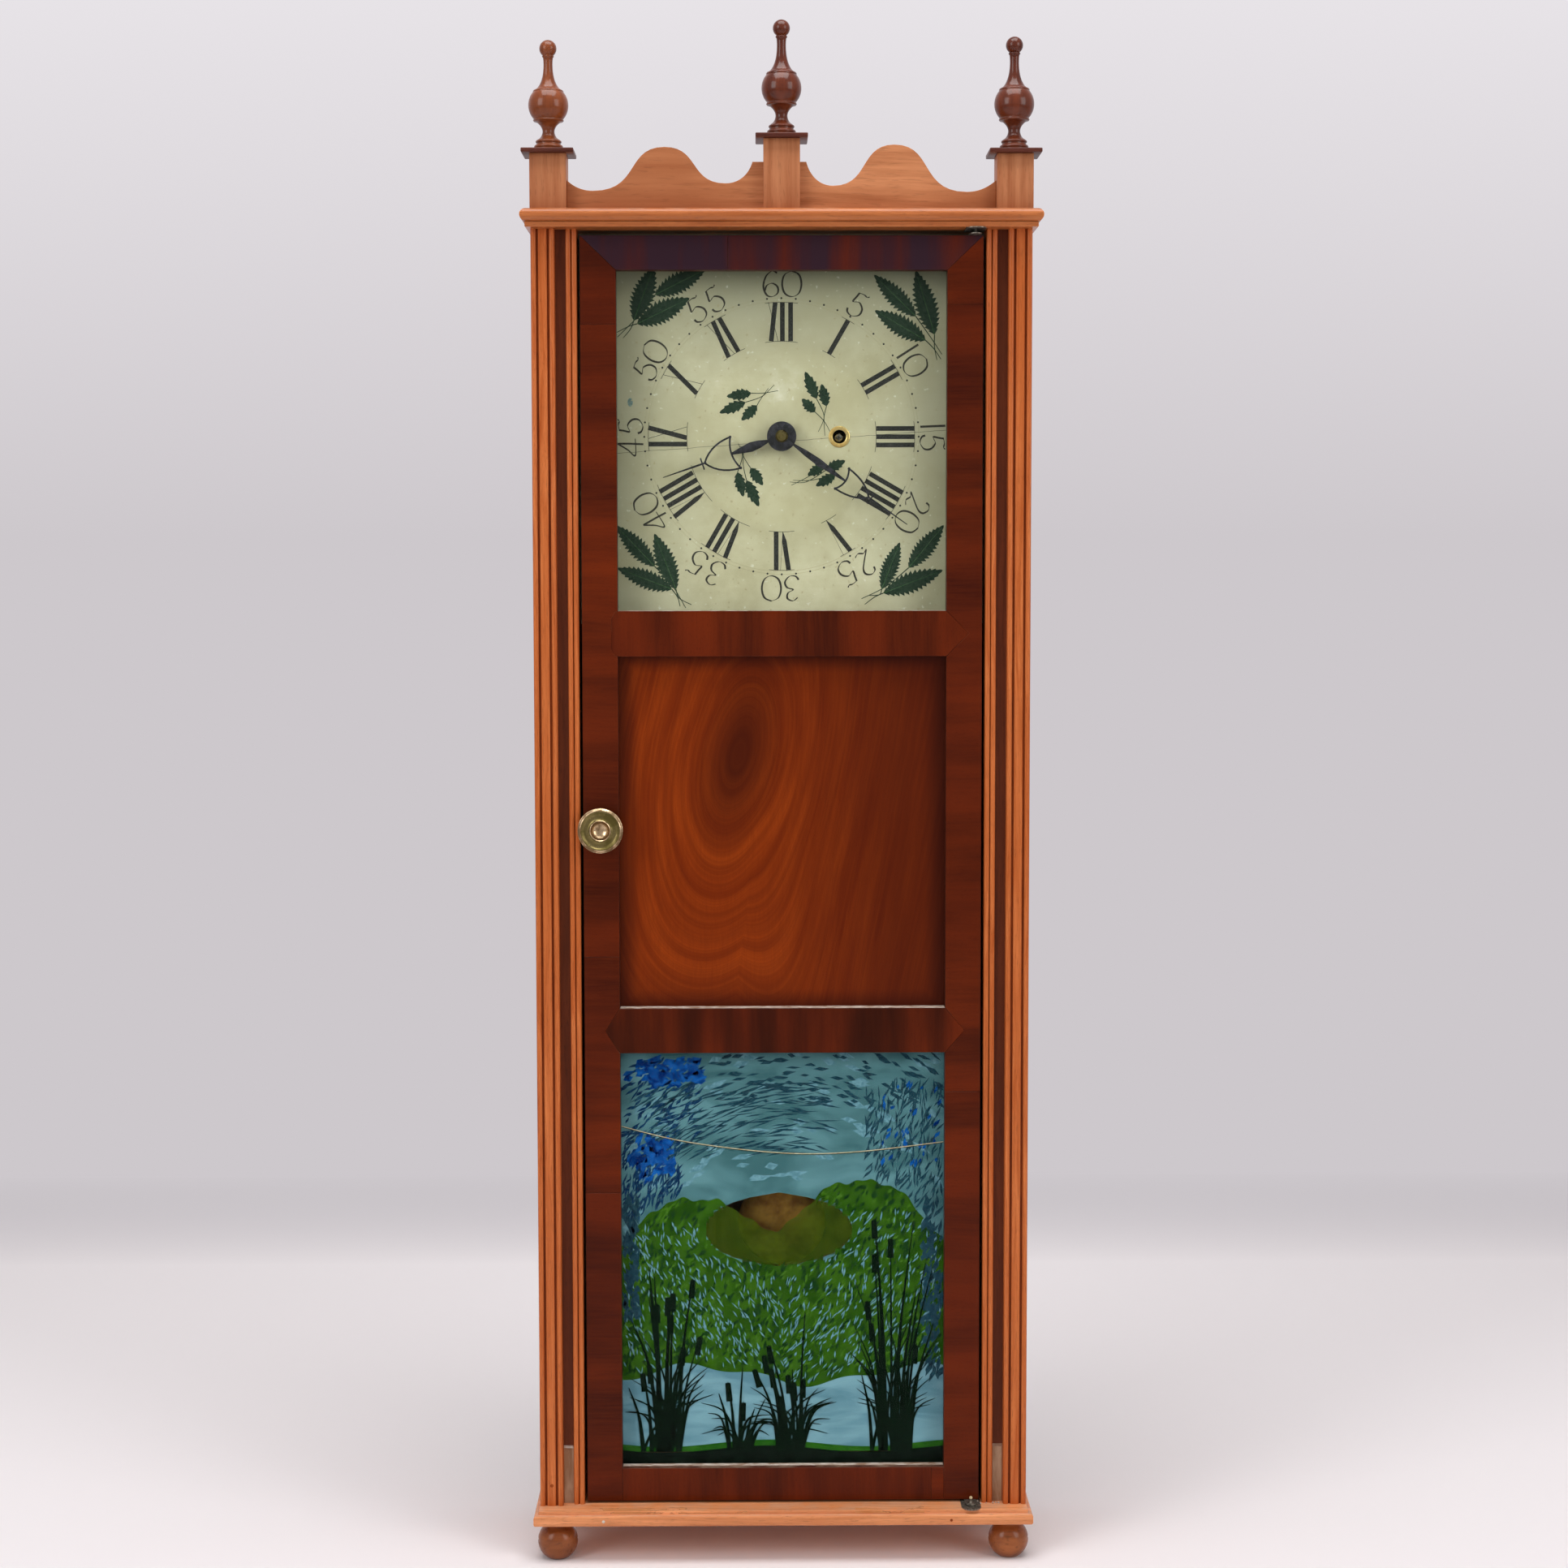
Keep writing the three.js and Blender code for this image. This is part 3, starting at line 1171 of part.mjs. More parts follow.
const MINUTE_COLLAR_RADIUS = 3.2;
const minuteBack = MINUTE_HAND_FRONT + HAND_THICKNESS;
const COLLET_RADIUS = 5.3;
const centreProfile = [
	[0, MINUTE_HAND_FRONT - 3.2],
	[1.3, MINUTE_HAND_FRONT - 3.2],
	[1.3, MINUTE_HAND_FRONT - 1.6],
	[COLLET_RADIUS - 1.4, MINUTE_HAND_FRONT - 1.6],
	[COLLET_RADIUS, MINUTE_HAND_FRONT],
	[ARBOR_RADIUS, MINUTE_HAND_FRONT],
	[ARBOR_RADIUS, minuteBack],
	[MINUTE_COLLAR_RADIUS, minuteBack],
	[MINUTE_COLLAR_RADIUS, minuteBack + 1.4],
	[ARBOR_RADIUS, minuteBack + 1.4],
	[ARBOR_RADIUS, BACK_PLATE_Y - SHOULDER],
	[PIVOT_RADIUS, BACK_PLATE_Y - SHOULDER],
	[PIVOT_RADIUS, BACK_PIVOT],
	[0, BACK_PIVOT],
];
const CANNON_Y = FRONT_PLATE_Y - 4;
const centreWheel = join(
	turnedAcross(centreProfile, 12),
	leaves(CANNON_TEETH, CANNON_MODULE, cannonPhase, CANNON_Y, CANNON_Y + 3),
	wheel(
		CENTRE_WHEEL_TEETH,
		CENTRE_MODULE,
		centrePhase,
		CENTRE_WHEEL_Y,
		CENTRE_WHEEL_Y + WHEEL_THICKNESS,
		5
	),
	leaves(PINION_LEAVES, GREAT_MODULE, centrePinionPhase, GREAT_WHEEL_Y - 2, GREAT_WHEEL_Y + 4.5)
);
add(movementGroup, 'centre_wheel', place(centreWheel, CENTRE), brightBrass);

const thirdWheel = join(
	arbor(1.5),
	wheel(THIRD_WHEEL_TEETH, THIRD_MODULE, thirdPhase, THIRD_WHEEL_Y, THIRD_WHEEL_Y + WHEEL_THICKNESS, 4),
	leaves(PINION_LEAVES, CENTRE_MODULE, thirdPinionPhase, CENTRE_WHEEL_Y - 2, CENTRE_WHEEL_Y + 4)
);
add(movementGroup, 'third_wheel', place(thirdWheel, THIRD), brightBrass);

/** Thirty pointed teeth that lean the way the wheel turns. */
function escapeShape() {
	const pitch = TURN / ESCAPE_TEETH;
	const points = [];
	for (let tooth = 0; tooth < ESCAPE_TEETH; tooth += 1) {
		const start = -tooth * pitch;
		points.push(polar(ESCAPE_RADIUS, start));
		points.push(polar(ESCAPE_RADIUS * 0.82, start - pitch * 0.22));
		points.push(polar(ESCAPE_RADIUS * 0.82, start - pitch * 0.6));
	}
	return outline(points.reverse());
}
const escapeWheel = join(
	arbor(1.5),
	plate(crossOut(escapeShape(), 4, 4, ESCAPE_RADIUS * 0.7, 2), ESCAPE_WHEEL_Y, ESCAPE_WHEEL_Y + 1.6, 2),
	leaves(PINION_LEAVES, THIRD_MODULE, escapePinionPhase, THIRD_WHEEL_Y - 2, THIRD_WHEEL_Y + 4.5)
);
add(movementGroup, 'escape_wheel', place(escapeWheel, ESCAPE), brightBrass);

// Verge: a bent steel anchor over the escape wheel, its arbor, and the crutch behind the back plate.
const PALLET_CLEARANCE = 1.3;
const palletRadius = ESCAPE_RADIUS + PALLET_CLEARANCE;
const palletDrop = VERGE[1] - ESCAPE[1];
const anchorPath = [-1, 1].map((side) => {
	const [dx, dz] = polar(palletRadius, Math.PI / 2 - side * PALLET_SPREAD);
	return [
		[0, 1],
		[side * 9, -2.5],
		[dx + side * 1.6, dz - palletDrop + 5],
		[dx + side * 0.6, dz - palletDrop],
	];
});
const anchorBand = (points) =>
	plate(band(points, 2.2), ESCAPE_WHEEL_Y - 1, ESCAPE_WHEEL_Y + 2.6);
const CRUTCH_Y = BACK_PLATE_Y + PLATE_THICKNESS + 1.5;
const CRUTCH_LENGTH = 62;
const ROD_RADIUS = 1.5;
const crutchArm = box(-1.6, 1.6, CRUTCH_Y, CRUTCH_Y + 1.8, -CRUTCH_LENGTH, 2);
const forkInner = ROD_RADIUS + RUNNING_GAP;
const prong = (side) => {
	const [x0, x1] = [side * forkInner, side * (forkInner + 1.4)].sort((a, b) => a - b);
	return box(x0, x1, CRUTCH_Y, PENDULUM_Y + 3, -CRUTCH_LENGTH - 3, -CRUTCH_LENGTH + 1);
};
const forkBar = box(-3.2, 3.2, CRUTCH_Y, CRUTCH_Y + 1.8, -CRUTCH_LENGTH - 3, -CRUTCH_LENGTH + 1);
const vergeArbor = turnedAcross(
	[
		[0, FRONT_PIVOT],
		[PIVOT_RADIUS, FRONT_PIVOT],
		[PIVOT_RADIUS, PLATE_GAP_FRONT + SHOULDER],
		[VERGE_ARBOR_RADIUS, PLATE_GAP_FRONT + SHOULDER],
		[VERGE_ARBOR_RADIUS, CRUTCH_Y + 1.8],
		[0, CRUTCH_Y + 1.8],
	],
	12
);
add(
	movementGroup,
	'verge',
	place(join(vergeArbor, ...anchorPath.map(anchorBand), crutchArm, forkBar, prong(-1), prong(1)), VERGE),
	greyMetal
);

// Motion work between dial and front plate.
const minuteWheelBody = cut(
	join(
		wheel(MINUTE_WHEEL_TEETH, CANNON_MODULE, minutePhase, CANNON_Y + 0.6, CANNON_Y + 2.4, 5),
		leaves(MINUTE_PINION_TEETH, HOUR_MODULE, minutePinionPhase, CANNON_Y - 4.6, CANNON_Y + 1)
	),
	rod(STUD_RADIUS + 0.25, CANNON_Y - 6, CANNON_Y + 4, 12)
);
add(movementGroup, 'minute_wheel', place(minuteWheelBody, MINUTE), brightBrass);

const hourBack = HOUR_HAND_FRONT + HAND_THICKNESS;
const HOUR_WHEEL_Y = CANNON_Y - 3.6;
const hourPipe = turnedAcross(
	[
		[HOUR_PIPE_RADIUS, HOUR_WHEEL_Y + 1],
		[HOUR_PIPE_RADIUS, hourBack],
		[HOUR_PIPE_NECK, hourBack],
		[HOUR_PIPE_NECK, HOUR_HAND_FRONT - 0.4],
		[ARBOR_RADIUS + 0.5, HOUR_HAND_FRONT - 0.4],
		[ARBOR_RADIUS + 0.5, HOUR_WHEEL_Y + 1],
		[HOUR_PIPE_RADIUS, HOUR_WHEEL_Y + 1],
	],
	14
);
const hourWheelDisc = cut(
	wheel(HOUR_WHEEL_TEETH, HOUR_MODULE, hourPhase, HOUR_WHEEL_Y, HOUR_WHEEL_Y + 1.8, 6),
	rod(ARBOR_RADIUS + 0.5, HOUR_WHEEL_Y - 1, HOUR_WHEEL_Y + 3, 20)
);
add(movementGroup, 'hour_wheel', place(join(hourPipe, hourWheelDisc), CENTRE), brightBrass);

// ---- Pendulum -------------------------------------------------------------------------------------

const pendulumGroup = makeGroup('pendulum');
const NUT_RADIUS = 5;
const NUT_HEIGHT = 5;
const BOB_TUBE_RADIUS = 3.2;
const bobBottom = BOB_Z - PENDULUM_BOB_RADIUS - 2;
const rodTop = VERGE[1] - 6;

const pendulumRod = join(
	post(ROD_RADIUS, bobBottom - NUT_HEIGHT - 10, rodTop, 10),
	post(NUT_RADIUS, bobBottom - NUT_HEIGHT, bobBottom, 12),
	post(3, rodTop - 6, rodTop, 10),
	box(
		-SPRING_THICKNESS / 2,
		SPRING_THICKNESS / 2,
		-SPRING_WIDTH / 2,
		SPRING_WIDTH / 2,
		rodTop - 3,
		COCK_BOTTOM + 4
	)
).translate(0, PENDULUM_Y, 0);
add(pendulumGroup, 'pendulum_rod', pendulumRod, brightBrass);

const bobHalf = PENDULUM_BOB_THICKNESS / 2;
const bobLens = turnedAcross(
	[
		[0, -bobHalf],
		[PENDULUM_BOB_RADIUS * 0.45, -bobHalf * 0.92],
		[PENDULUM_BOB_RADIUS * 0.78, -bobHalf * 0.6],
		[PENDULUM_BOB_RADIUS, -1],
		[PENDULUM_BOB_RADIUS, 1],
		[PENDULUM_BOB_RADIUS * 0.78, bobHalf * 0.6],
		[PENDULUM_BOB_RADIUS * 0.45, bobHalf * 0.92],
		[0, bobHalf],
	],
	24
).translate(0, 0, BOB_Z);
const bob = cut(
	join(bobLens, post(BOB_TUBE_RADIUS, bobBottom, BOB_Z + PENDULUM_BOB_RADIUS + 4, 12)),
	post(ROD_RADIUS + RUNNING_GAP, bobBottom - 1, BOB_Z + PENDULUM_BOB_RADIUS + 5, 10)
).translate(0, PENDULUM_Y, 0);
add(pendulumGroup, 'pendulum_bob', bob, agedBrass);

// ---- Weight, line and pulley ----------------------------------------------------------------------

const driveGroup = makeGroup('drive');
const WEIGHT_WALL_GAP = 6;
const WEIGHT_X = INNER_X - WEIGHT_WALL_GAP - WEIGHT_RADIUS;
const WEIGHT_TOP = DIAL_Z + WEIGHT_ABOVE_CENTRE;
const LINE_ORBIT = PULLEY_RADIUS + LINE_RADIUS;
const PULLEY = [WEIGHT_X - LINE_ORBIT, CORNICE_Z - PULLEY_DROP];
const EYE_HEIGHT = 9;
const lineBottom = WEIGHT_TOP + EYE_HEIGHT;
const LINE_JOINT_Z = PULLEY[1] - 0.5; // the hanging line starts just below the pulley's middle

const weightProfile = [
	[0, WEIGHT_TOP - WEIGHT_HEIGHT],
	[WEIGHT_RADIUS - 2, WEIGHT_TOP - WEIGHT_HEIGHT],
	[WEIGHT_RADIUS, WEIGHT_TOP - WEIGHT_HEIGHT + 2],
	[WEIGHT_RADIUS, WEIGHT_TOP - 4],
	[WEIGHT_RADIUS - 6, WEIGHT_TOP],
	[0, WEIGHT_TOP],
];
const eye = new THREE.TorusGeometry(3.4, 1.1, 6, 12).rotateX(Math.PI / 2);
const weight = join(
	turned(weightProfile, 20),
	eye.translate(0, 0, WEIGHT_TOP + 3.6),
	post(1.1, WEIGHT_TOP + 6, lineBottom, 8)
);
add(driveGroup, 'weight', weight.translate(WEIGHT_X, LINE_Y, 0), castIron);
add(
	driveGroup,
	'weight_line',
	post(LINE_RADIUS, lineBottom, LINE_JOINT_Z, 8).translate(WEIGHT_X, LINE_Y, 0),
	cordFibre
);

// The standing run leaves the drum on its right, crosses to the pulley's left and goes over the top.
const drumOrbit = DRUM_RADIUS + LINE_RADIUS + RUNNING_GAP;
const span = [PULLEY[0] - GREAT[0], PULLEY[1] - GREAT[1]];
const spanLength = Math.hypot(...span);
const lean = Math.atan2(span[1], span[0]) + Math.asin((drumOrbit + LINE_ORBIT) / spanLength);
const rightward = [Math.sin(lean), -Math.cos(lean)];
const drumPoint = [GREAT[0] + drumOrbit * rightward[0], GREAT[1] + drumOrbit * rightward[1]];
const wrapStart = 180 + (Math.atan2(rightward[1], rightward[0]) * 180) / Math.PI;
const wrap = arc(PULLEY[0], PULLEY[1], LINE_ORBIT, wrapStart, 0, 10);
const standingRun = [drumPoint, ...wrap, [WEIGHT_X, LINE_JOINT_Z]];

/** A round section swept through points that lie in one plane of constant y. */
function sweptLine(points, radius, sides) {
	const rings = points.map(([x, z], i) => {
		const [ax, az] = points[Math.max(i - 1, 0)];
		const [bx, bz] = points[Math.min(i + 1, points.length - 1)];
		const length = Math.hypot(bx - ax, bz - az);
		const normal = [(bz - az) / length, -(bx - ax) / length];
		return Array.from({ length: sides }, (_, k) => {
			const [out, across] = polar(radius, (k * TURN) / sides);
			return [x + normal[0] * out, LINE_Y + across, z + normal[1] * out];
		});
	});
	const vertices = [...rings.flat()];
	const faces = [];
	for (let i = 0; i + 1 < rings.length; i += 1) {
		for (let k = 0; k < sides; k += 1) {
			const [a, b] = [i * sides + k, i * sides + ((k + 1) % sides)];
			faces.push([a, b, b + sides], [a, b + sides, a + sides]);
		}
	}
	const last = (rings.length - 1) * sides;
	for (let k = 1; k + 1 < sides; k += 1) {
		faces.push([0, k + 1, k], [last, last + k, last + k + 1]);
	}
	const geometry = new THREE.BufferGeometry();
	geometry.setAttribute('position', new THREE.Float32BufferAttribute(vertices.flat(), 3));
	geometry.setIndex(faces.flat());
	return closed(geometry);
}
add(driveGroup, 'weight_line_upper', sweptLine(standingRun, LINE_RADIUS, 8), cordFibre);

const PULLEY_HALF = 3;
const AXLE_RADIUS = 2;
const pulleyGroove = PULLEY_RADIUS - RUNNING_GAP;
const pulleyRim = PULLEY_RADIUS + 2.4;
const GROOVE_HALF = 1.3;
const pulleyProfile = [
	[AXLE_RADIUS + RUNNING_GAP, -PULLEY_HALF],
	[pulleyRim, -PULLEY_HALF],
	[pulleyRim, -PULLEY_HALF + 1],
	[pulleyGroove, -GROOVE_HALF],
	[pulleyGroove, GROOVE_HALF],
	[pulleyRim, PULLEY_HALF - 1],
	[pulleyRim, PULLEY_HALF],
	[AXLE_RADIUS + RUNNING_GAP, PULLEY_HALF],
	[AXLE_RADIUS + RUNNING_GAP, -PULLEY_HALF],
];
add(
	driveGroup,
	'pulley',
	turnedAcross(pulleyProfile, 18).translate(PULLEY[0], LINE_Y, PULLEY[1]),
	brightBrass
);

const CHEEK_GAP = PULLEY_HALF + 0.6;
const CHEEK = 1.8;
const CHEEK_HALF_WIDTH = 6;
const BRACKET_HALF_WIDTH = 14;
const BRACKET_SHEET = 2;
const bracketHalf = CHEEK_GAP + CHEEK;
const cheek = (side) => {
	const [y0, y1] = [side * CHEEK_GAP, side * bracketHalf].sort((a, b) => a - b);
	return box(-CHEEK_HALF_WIDTH, CHEEK_HALF_WIDTH, y0, y1, -CHEEK_HALF_WIDTH, PULLEY_DROP);
};
const bracket = join(
	cheek(-1),
	cheek(1),
	box(
		-BRACKET_HALF_WIDTH,
		BRACKET_HALF_WIDTH,
		-bracketHalf,
		bracketHalf,
		PULLEY_DROP - BRACKET_SHEET,
		PULLEY_DROP
	),
	rod(AXLE_RADIUS, -bracketHalf - 1, bracketHalf + 1, 12)
);
add(driveGroup, 'pulley_bracket', bracket.translate(PULLEY[0], LINE_Y, PULLEY[1]), greyMetal);

export default clock;
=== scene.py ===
# %% [markdown]
# A tall shelf clock, dressed for its photograph
# The wooden case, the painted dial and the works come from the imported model, in metres, with the floor
# at zero and the door facing -Y. This lesson gives each piece its fine shape and its finish, one cell at
# a time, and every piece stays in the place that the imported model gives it.

# %% Load the frame
import math
import random
import bmesh
import bpy
from mathutils import Matrix, Vector


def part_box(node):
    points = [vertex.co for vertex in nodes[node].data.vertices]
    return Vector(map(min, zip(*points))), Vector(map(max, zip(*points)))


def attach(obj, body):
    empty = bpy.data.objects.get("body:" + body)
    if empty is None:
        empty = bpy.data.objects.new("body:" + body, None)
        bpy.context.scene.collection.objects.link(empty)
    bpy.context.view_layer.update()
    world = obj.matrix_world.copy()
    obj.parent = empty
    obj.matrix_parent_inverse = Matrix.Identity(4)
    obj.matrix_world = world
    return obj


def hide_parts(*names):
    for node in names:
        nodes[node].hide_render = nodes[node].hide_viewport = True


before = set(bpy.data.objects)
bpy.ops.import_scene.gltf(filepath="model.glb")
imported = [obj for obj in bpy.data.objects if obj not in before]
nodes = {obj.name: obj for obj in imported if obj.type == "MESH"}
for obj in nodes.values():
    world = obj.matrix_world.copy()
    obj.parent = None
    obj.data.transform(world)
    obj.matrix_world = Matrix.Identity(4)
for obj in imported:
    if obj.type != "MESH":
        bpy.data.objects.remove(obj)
scene = bpy.context.scene
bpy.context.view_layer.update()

# %% [markdown]
# The camera comes first
# The photograph was taken from about 2.3 m, a little above the middle of the case, with the camera tipped
# a few degrees down. A lens of 64 mm on a 36 mm square sensor gives the same narrowing towards the feet.

# %% Camera
MM = 0.001
CAMERA_PLACE = Vector((-22.5, -2355.6, 827.8)) * MM
CAMERA_DOWN = math.radians(4.334)
CAMERA_RIGHT = math.radians(0.598)
CAMERA_ROLL = math.radians(0.07)
SENSOR_WIDTH = 36.0
LENS_LENGTH = 64.16

camera = bpy.data.objects.new("camera", bpy.data.cameras.new("camera"))
scene.collection.objects.link(camera)
camera.data.sensor_width = SENSOR_WIDTH
camera.data.lens = LENS_LENGTH
camera.location = CAMERA_PLACE
camera.rotation_euler = (math.pi / 2 - CAMERA_DOWN, CAMERA_ROLL, -CAMERA_RIGHT)
scene.camera = camera
print("camera at", [round(v, 3) for v in CAMERA_PLACE])

# %% [markdown]
# Small helpers for making meshes
# Most pieces of the clock are turned on a lathe, run with a moulding plane or sawn from a flat board.
# One helper for each of those trades keeps the later cells short. Flat paint on the dial and on the
# glass is drawn as polygons that lie less than a millimetre off the surface.

# %% Finish a mesh as a piece
def new_piece(name, bm, material, body, sharp=32, replaces=()):
    """Turn a bmesh into an object that rides on a body and takes one material."""
    mesh = bpy.data.meshes.new(name)
    bmesh.ops.recalc_face_normals(bm, faces=bm.faces)
    bm.to_mesh(mesh)
    bm.free()
    mesh.polygons.foreach_set("use_smooth", [True] * len(mesh.polygons))
    mesh.set_sharp_from_angle(angle=math.radians(sharp))
    mesh.materials.append(material)
    piece = bpy.data.objects.new(name, mesh)
    scene.collection.objects.link(piece)
    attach(piece, body)
    if replaces:
        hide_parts(*replaces)
    return piece


# %% Sawn, run and turned shapes
def add_rings(bm, rings):
    """Skin a row of rings that have the same number of points, and close both ends."""
    rows = [[bm.verts.new(point) for point in ring] for ring in rings]
    count = len(rows[0])
    for below, above in zip(rows, rows[1:]):
        for i in range(count):
            j = (i + 1) % count
            bm.faces.new((below[i], below[j], above[j], above[i]))
    bm.faces.new(rows[0][::-1])
    bm.faces.new(rows[-1])


def add_turned(bm, profile, centre, axis="Z", segments=64):
    """Turn (radius, height) pairs, in mm, about a vertical axis or one that runs front to back."""
    rings = []
    for radius, height in profile:
        ring = []
        for i in range(segments):
            angle = i * math.tau / segments
            a, b = max(radius, 0.02) * math.cos(angle), max(radius, 0.02) * math.sin(angle)
            place = Vector((a, b, height)) if axis == "Z" else Vector((a, height, b))
            ring.append(centre + place * MM)
        rings.append(ring)
    add_rings(bm, rings)


def add_run(bm, section, z0, z1):
    """Run an (x, y) section, in mm, between two heights in metres."""
    add_rings(bm, [[Vector((x * MM, y * MM, z)) for x, y in section] for z in (z0, z1)])


def add_plate(bm, outline, y0, y1):
    """Saw an (x, z) outline, in mm, from a board between two y planes in mm."""
    add_rings(bm, [[Vector((x, y, z)) * MM for x, z in outline] for y in (y0, y1)])


def round_off(bm, edges, width):
    """Round some edges by a width in mm."""
    bmesh.ops.bevel(
        bm, geom=edges, offset=width * MM, segments=2, profile=0.5, affect="EDGES", clamp_overlap=True
    )


def ease_edges(bm, width):
    """Round every edge sharper than 25 degrees, as sanding and handling do."""
    bmesh.ops.dissolve_limit(bm, angle_limit=math.radians(1), verts=bm.verts, edges=bm.edges)
    round_off(bm, [e for e in bm.edges if e.is_manifold and e.calc_face_angle(0) > math.radians(25)], width)


def arc(cx, cy, radius, start, end, steps):
    """Points along a circular arc, angles in degrees."""
    angles = [math.radians(start + (end - start) * i / steps) for i in range(steps + 1)]
    return [(cx + radius * math.cos(a), cy + radius * math.sin(a)) for a in angles]


def eased_copy(node, name, width, material, body):
    """Copy a packed board and round its edges."""
    bm = bmesh.new()
    bm.from_mesh(nodes[node].data)
    bmesh.ops.remove_doubles(bm, verts=bm.verts, dist=1e-6)
    ease_edges(bm, width)
    return new_piece(name, bm, material, body, replaces=[node])


def give_finish(material, *names):
    """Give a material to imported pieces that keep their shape."""
    for name in names:
        nodes[name].data.materials[0] = material


print("shape helpers ready")

# %% [markdown]
# Wiring materials
# A material is a small graph of nodes. These helpers add a node and feed its inputs, each of which takes
# a socket or a plain value, so that each finish below reads as a list of what it is made of.

# %% Node helpers
def feed(tree, node, given):
    """Give a node's inputs their sockets or plain values."""
    for key, value in given.items():
        if isinstance(value, bpy.types.NodeSocket):
            tree.links.new(value, node.inputs[key])
        else:
            node.inputs[key].default_value = value


def add_node(tree, kind, given=None, **settings):
    """Add a node, set its settings and feed its inputs."""
    node = tree.nodes.new("ShaderNode" + kind)
    for key, value in settings.items():
        setattr(node, key, value)
    feed(tree, node, given or {})
    return node


def maths(tree, operation, first, second=0.5, clamp=False):
    """One Math node whose inputs are sockets or numbers."""
    return add_node(tree, "Math", {0: first, 1: second}, operation=operation, use_clamp=clamp).outputs[0]


def vector_maths(tree, operation, first, second):
    """The outputs of one Vector Math node whose inputs are sockets or triples."""
    return add_node(tree, "VectorMath", {0: first, 1: second}, operation=operation).outputs


def noise(tree, place, scale, detail, **more):
    """The outputs of a noise that is read at a place; more holds its other inputs."""
    return add_node(tree, "TexNoise", {"Vector": place, "Scale": scale, "Detail": detail, **more}).outputs


def srgb(red, green, blue):
    """A colour read from 0-255 sRGB numbers, as linear light."""
    parts = [c / 255 for c in (red, green, blue)]
    return tuple(c / 12.92 if c < 0.04045 else ((c + 0.055) / 1.055) ** 2.4 for c in parts) + (1,)


def blend(tree, mask, first, second):
    """Mix two colours by a mask; each may be a socket or an sRGB triple."""
    node = add_node(tree, "Mix", data_type="RGBA")
    first, second = [c if isinstance(c, bpy.types.NodeSocket) else srgb(*c) for c in (first, second)]
    feed(tree, node, {0: mask, 6: first, 7: second})
    return node.outputs[2]


def tint(tree, mask, share, under, over):
    """Lay one colour over another where the mask is, as strongly as the share says."""
    return blend(tree, maths(tree, "MULTIPLY", mask, share), under, over)


def steps(tree, value, low, high):
    """Stretch a value so that low becomes 0 and high becomes 1."""
    return add_node(tree, "MapRange", {"Value": value, "From Min": low, "From Max": high}).outputs[0]


def bumpy(tree, height, strength, distance=0.0003):
    """A normal that is bumpy by a height value; the distance is in metres."""
    return add_node(tree, "Bump", {"Height": height, "Strength": strength, "Distance": distance}).outputs[0]


def new_group(name, inputs, outputs):
    """A node group with named value, colour or vector sockets."""
    tree = bpy.data.node_groups.new(name, "ShaderNodeTree")
    for label, kind, value in inputs:
        socket = tree.interface.new_socket(label, in_out="INPUT", socket_type="NodeSocket" + kind)
        if kind != "Vector":
            socket.default_value = value
    for label, kind in outputs:
        tree.interface.new_socket(label, in_out="OUTPUT", socket_type="NodeSocket" + kind)
    return tree, tree.nodes.new("NodeGroupInput").outputs, tree.nodes.new("NodeGroupOutput").inputs


def use_group(tree, group, given):
    """The outputs of a group that is placed in a material with its own inputs."""
    return add_node(tree, "Group", given, node_tree=group).outputs


def new_material(name):
    """An empty material with its output and one Principled shader."""
    material = bpy.data.materials.new(name)
    material.use_nodes = True
    tree = material.node_tree
    tree.nodes.clear()
    shader = tree.nodes.new("ShaderNodeBsdfPrincipled")
    output = tree.nodes.new("ShaderNodeOutputMaterial")
    tree.links.new(shader.outputs[0], output.inputs["Surface"])
    return material, tree, shader, output


print("node helpers ready")

# %% [markdown]
# What all the old wood shares
# Wood shows long streaks where growth rings were cut, short dark pores, and slow changes of tone. Edges
# that hands touch lose their finish, and flat tops gather dust. Each of these effects is one node group,
# built once, which the materials below use with their own numbers.

# %% Grain group
def make_grain():
    """Streaks, pores and slow tone changes for grain that runs along the vector's Z."""
    tree, given, out = new_group(
        "wood grain",
        [("Vector", "Vector", None), ("Across", "Float", 260.0), ("Along", "Float", 9.0)],
        [("Streaks", "Float"), ("Pores", "Float"), ("Tone", "Float")],
    )
    place = given["Vector"]
    scales = add_node(tree, "CombineXYZ", {"X": given["Across"], "Y": given["Across"], "Z": given["Along"]})
    sway = vector_maths(tree, "MULTIPLY", noise(tree, place, 7.0, 2.0)["Color"], (0.012, 0.012, 0.0))[0]
    moved = vector_maths(tree, "ADD", place, sway)[0]
    fine = vector_maths(tree, "MULTIPLY", moved, scales.outputs[0])[0]
    pore_place = vector_maths(tree, "MULTIPLY", fine, (5.0, 5.0, 14.0))[0]
    streaks = noise(tree, fine, 1.0, 5.0, Roughness=0.6)["Fac"]
    pores = noise(tree, pore_place, 1.0, 2.0)["Fac"]
    tone = noise(tree, place, 5.5, 3.0)["Fac"]
    tree.links.new(steps(tree, streaks, 0.3, 0.7), out["Streaks"])
    tree.links.new(steps(tree, pores, 0.58, 0.7), out["Pores"])
    tree.links.new(steps(tree, tone, 0.35, 0.65), out["Tone"])
    return tree


GRAIN = make_grain()
print("grain group:", len(GRAIN.nodes), "nodes")

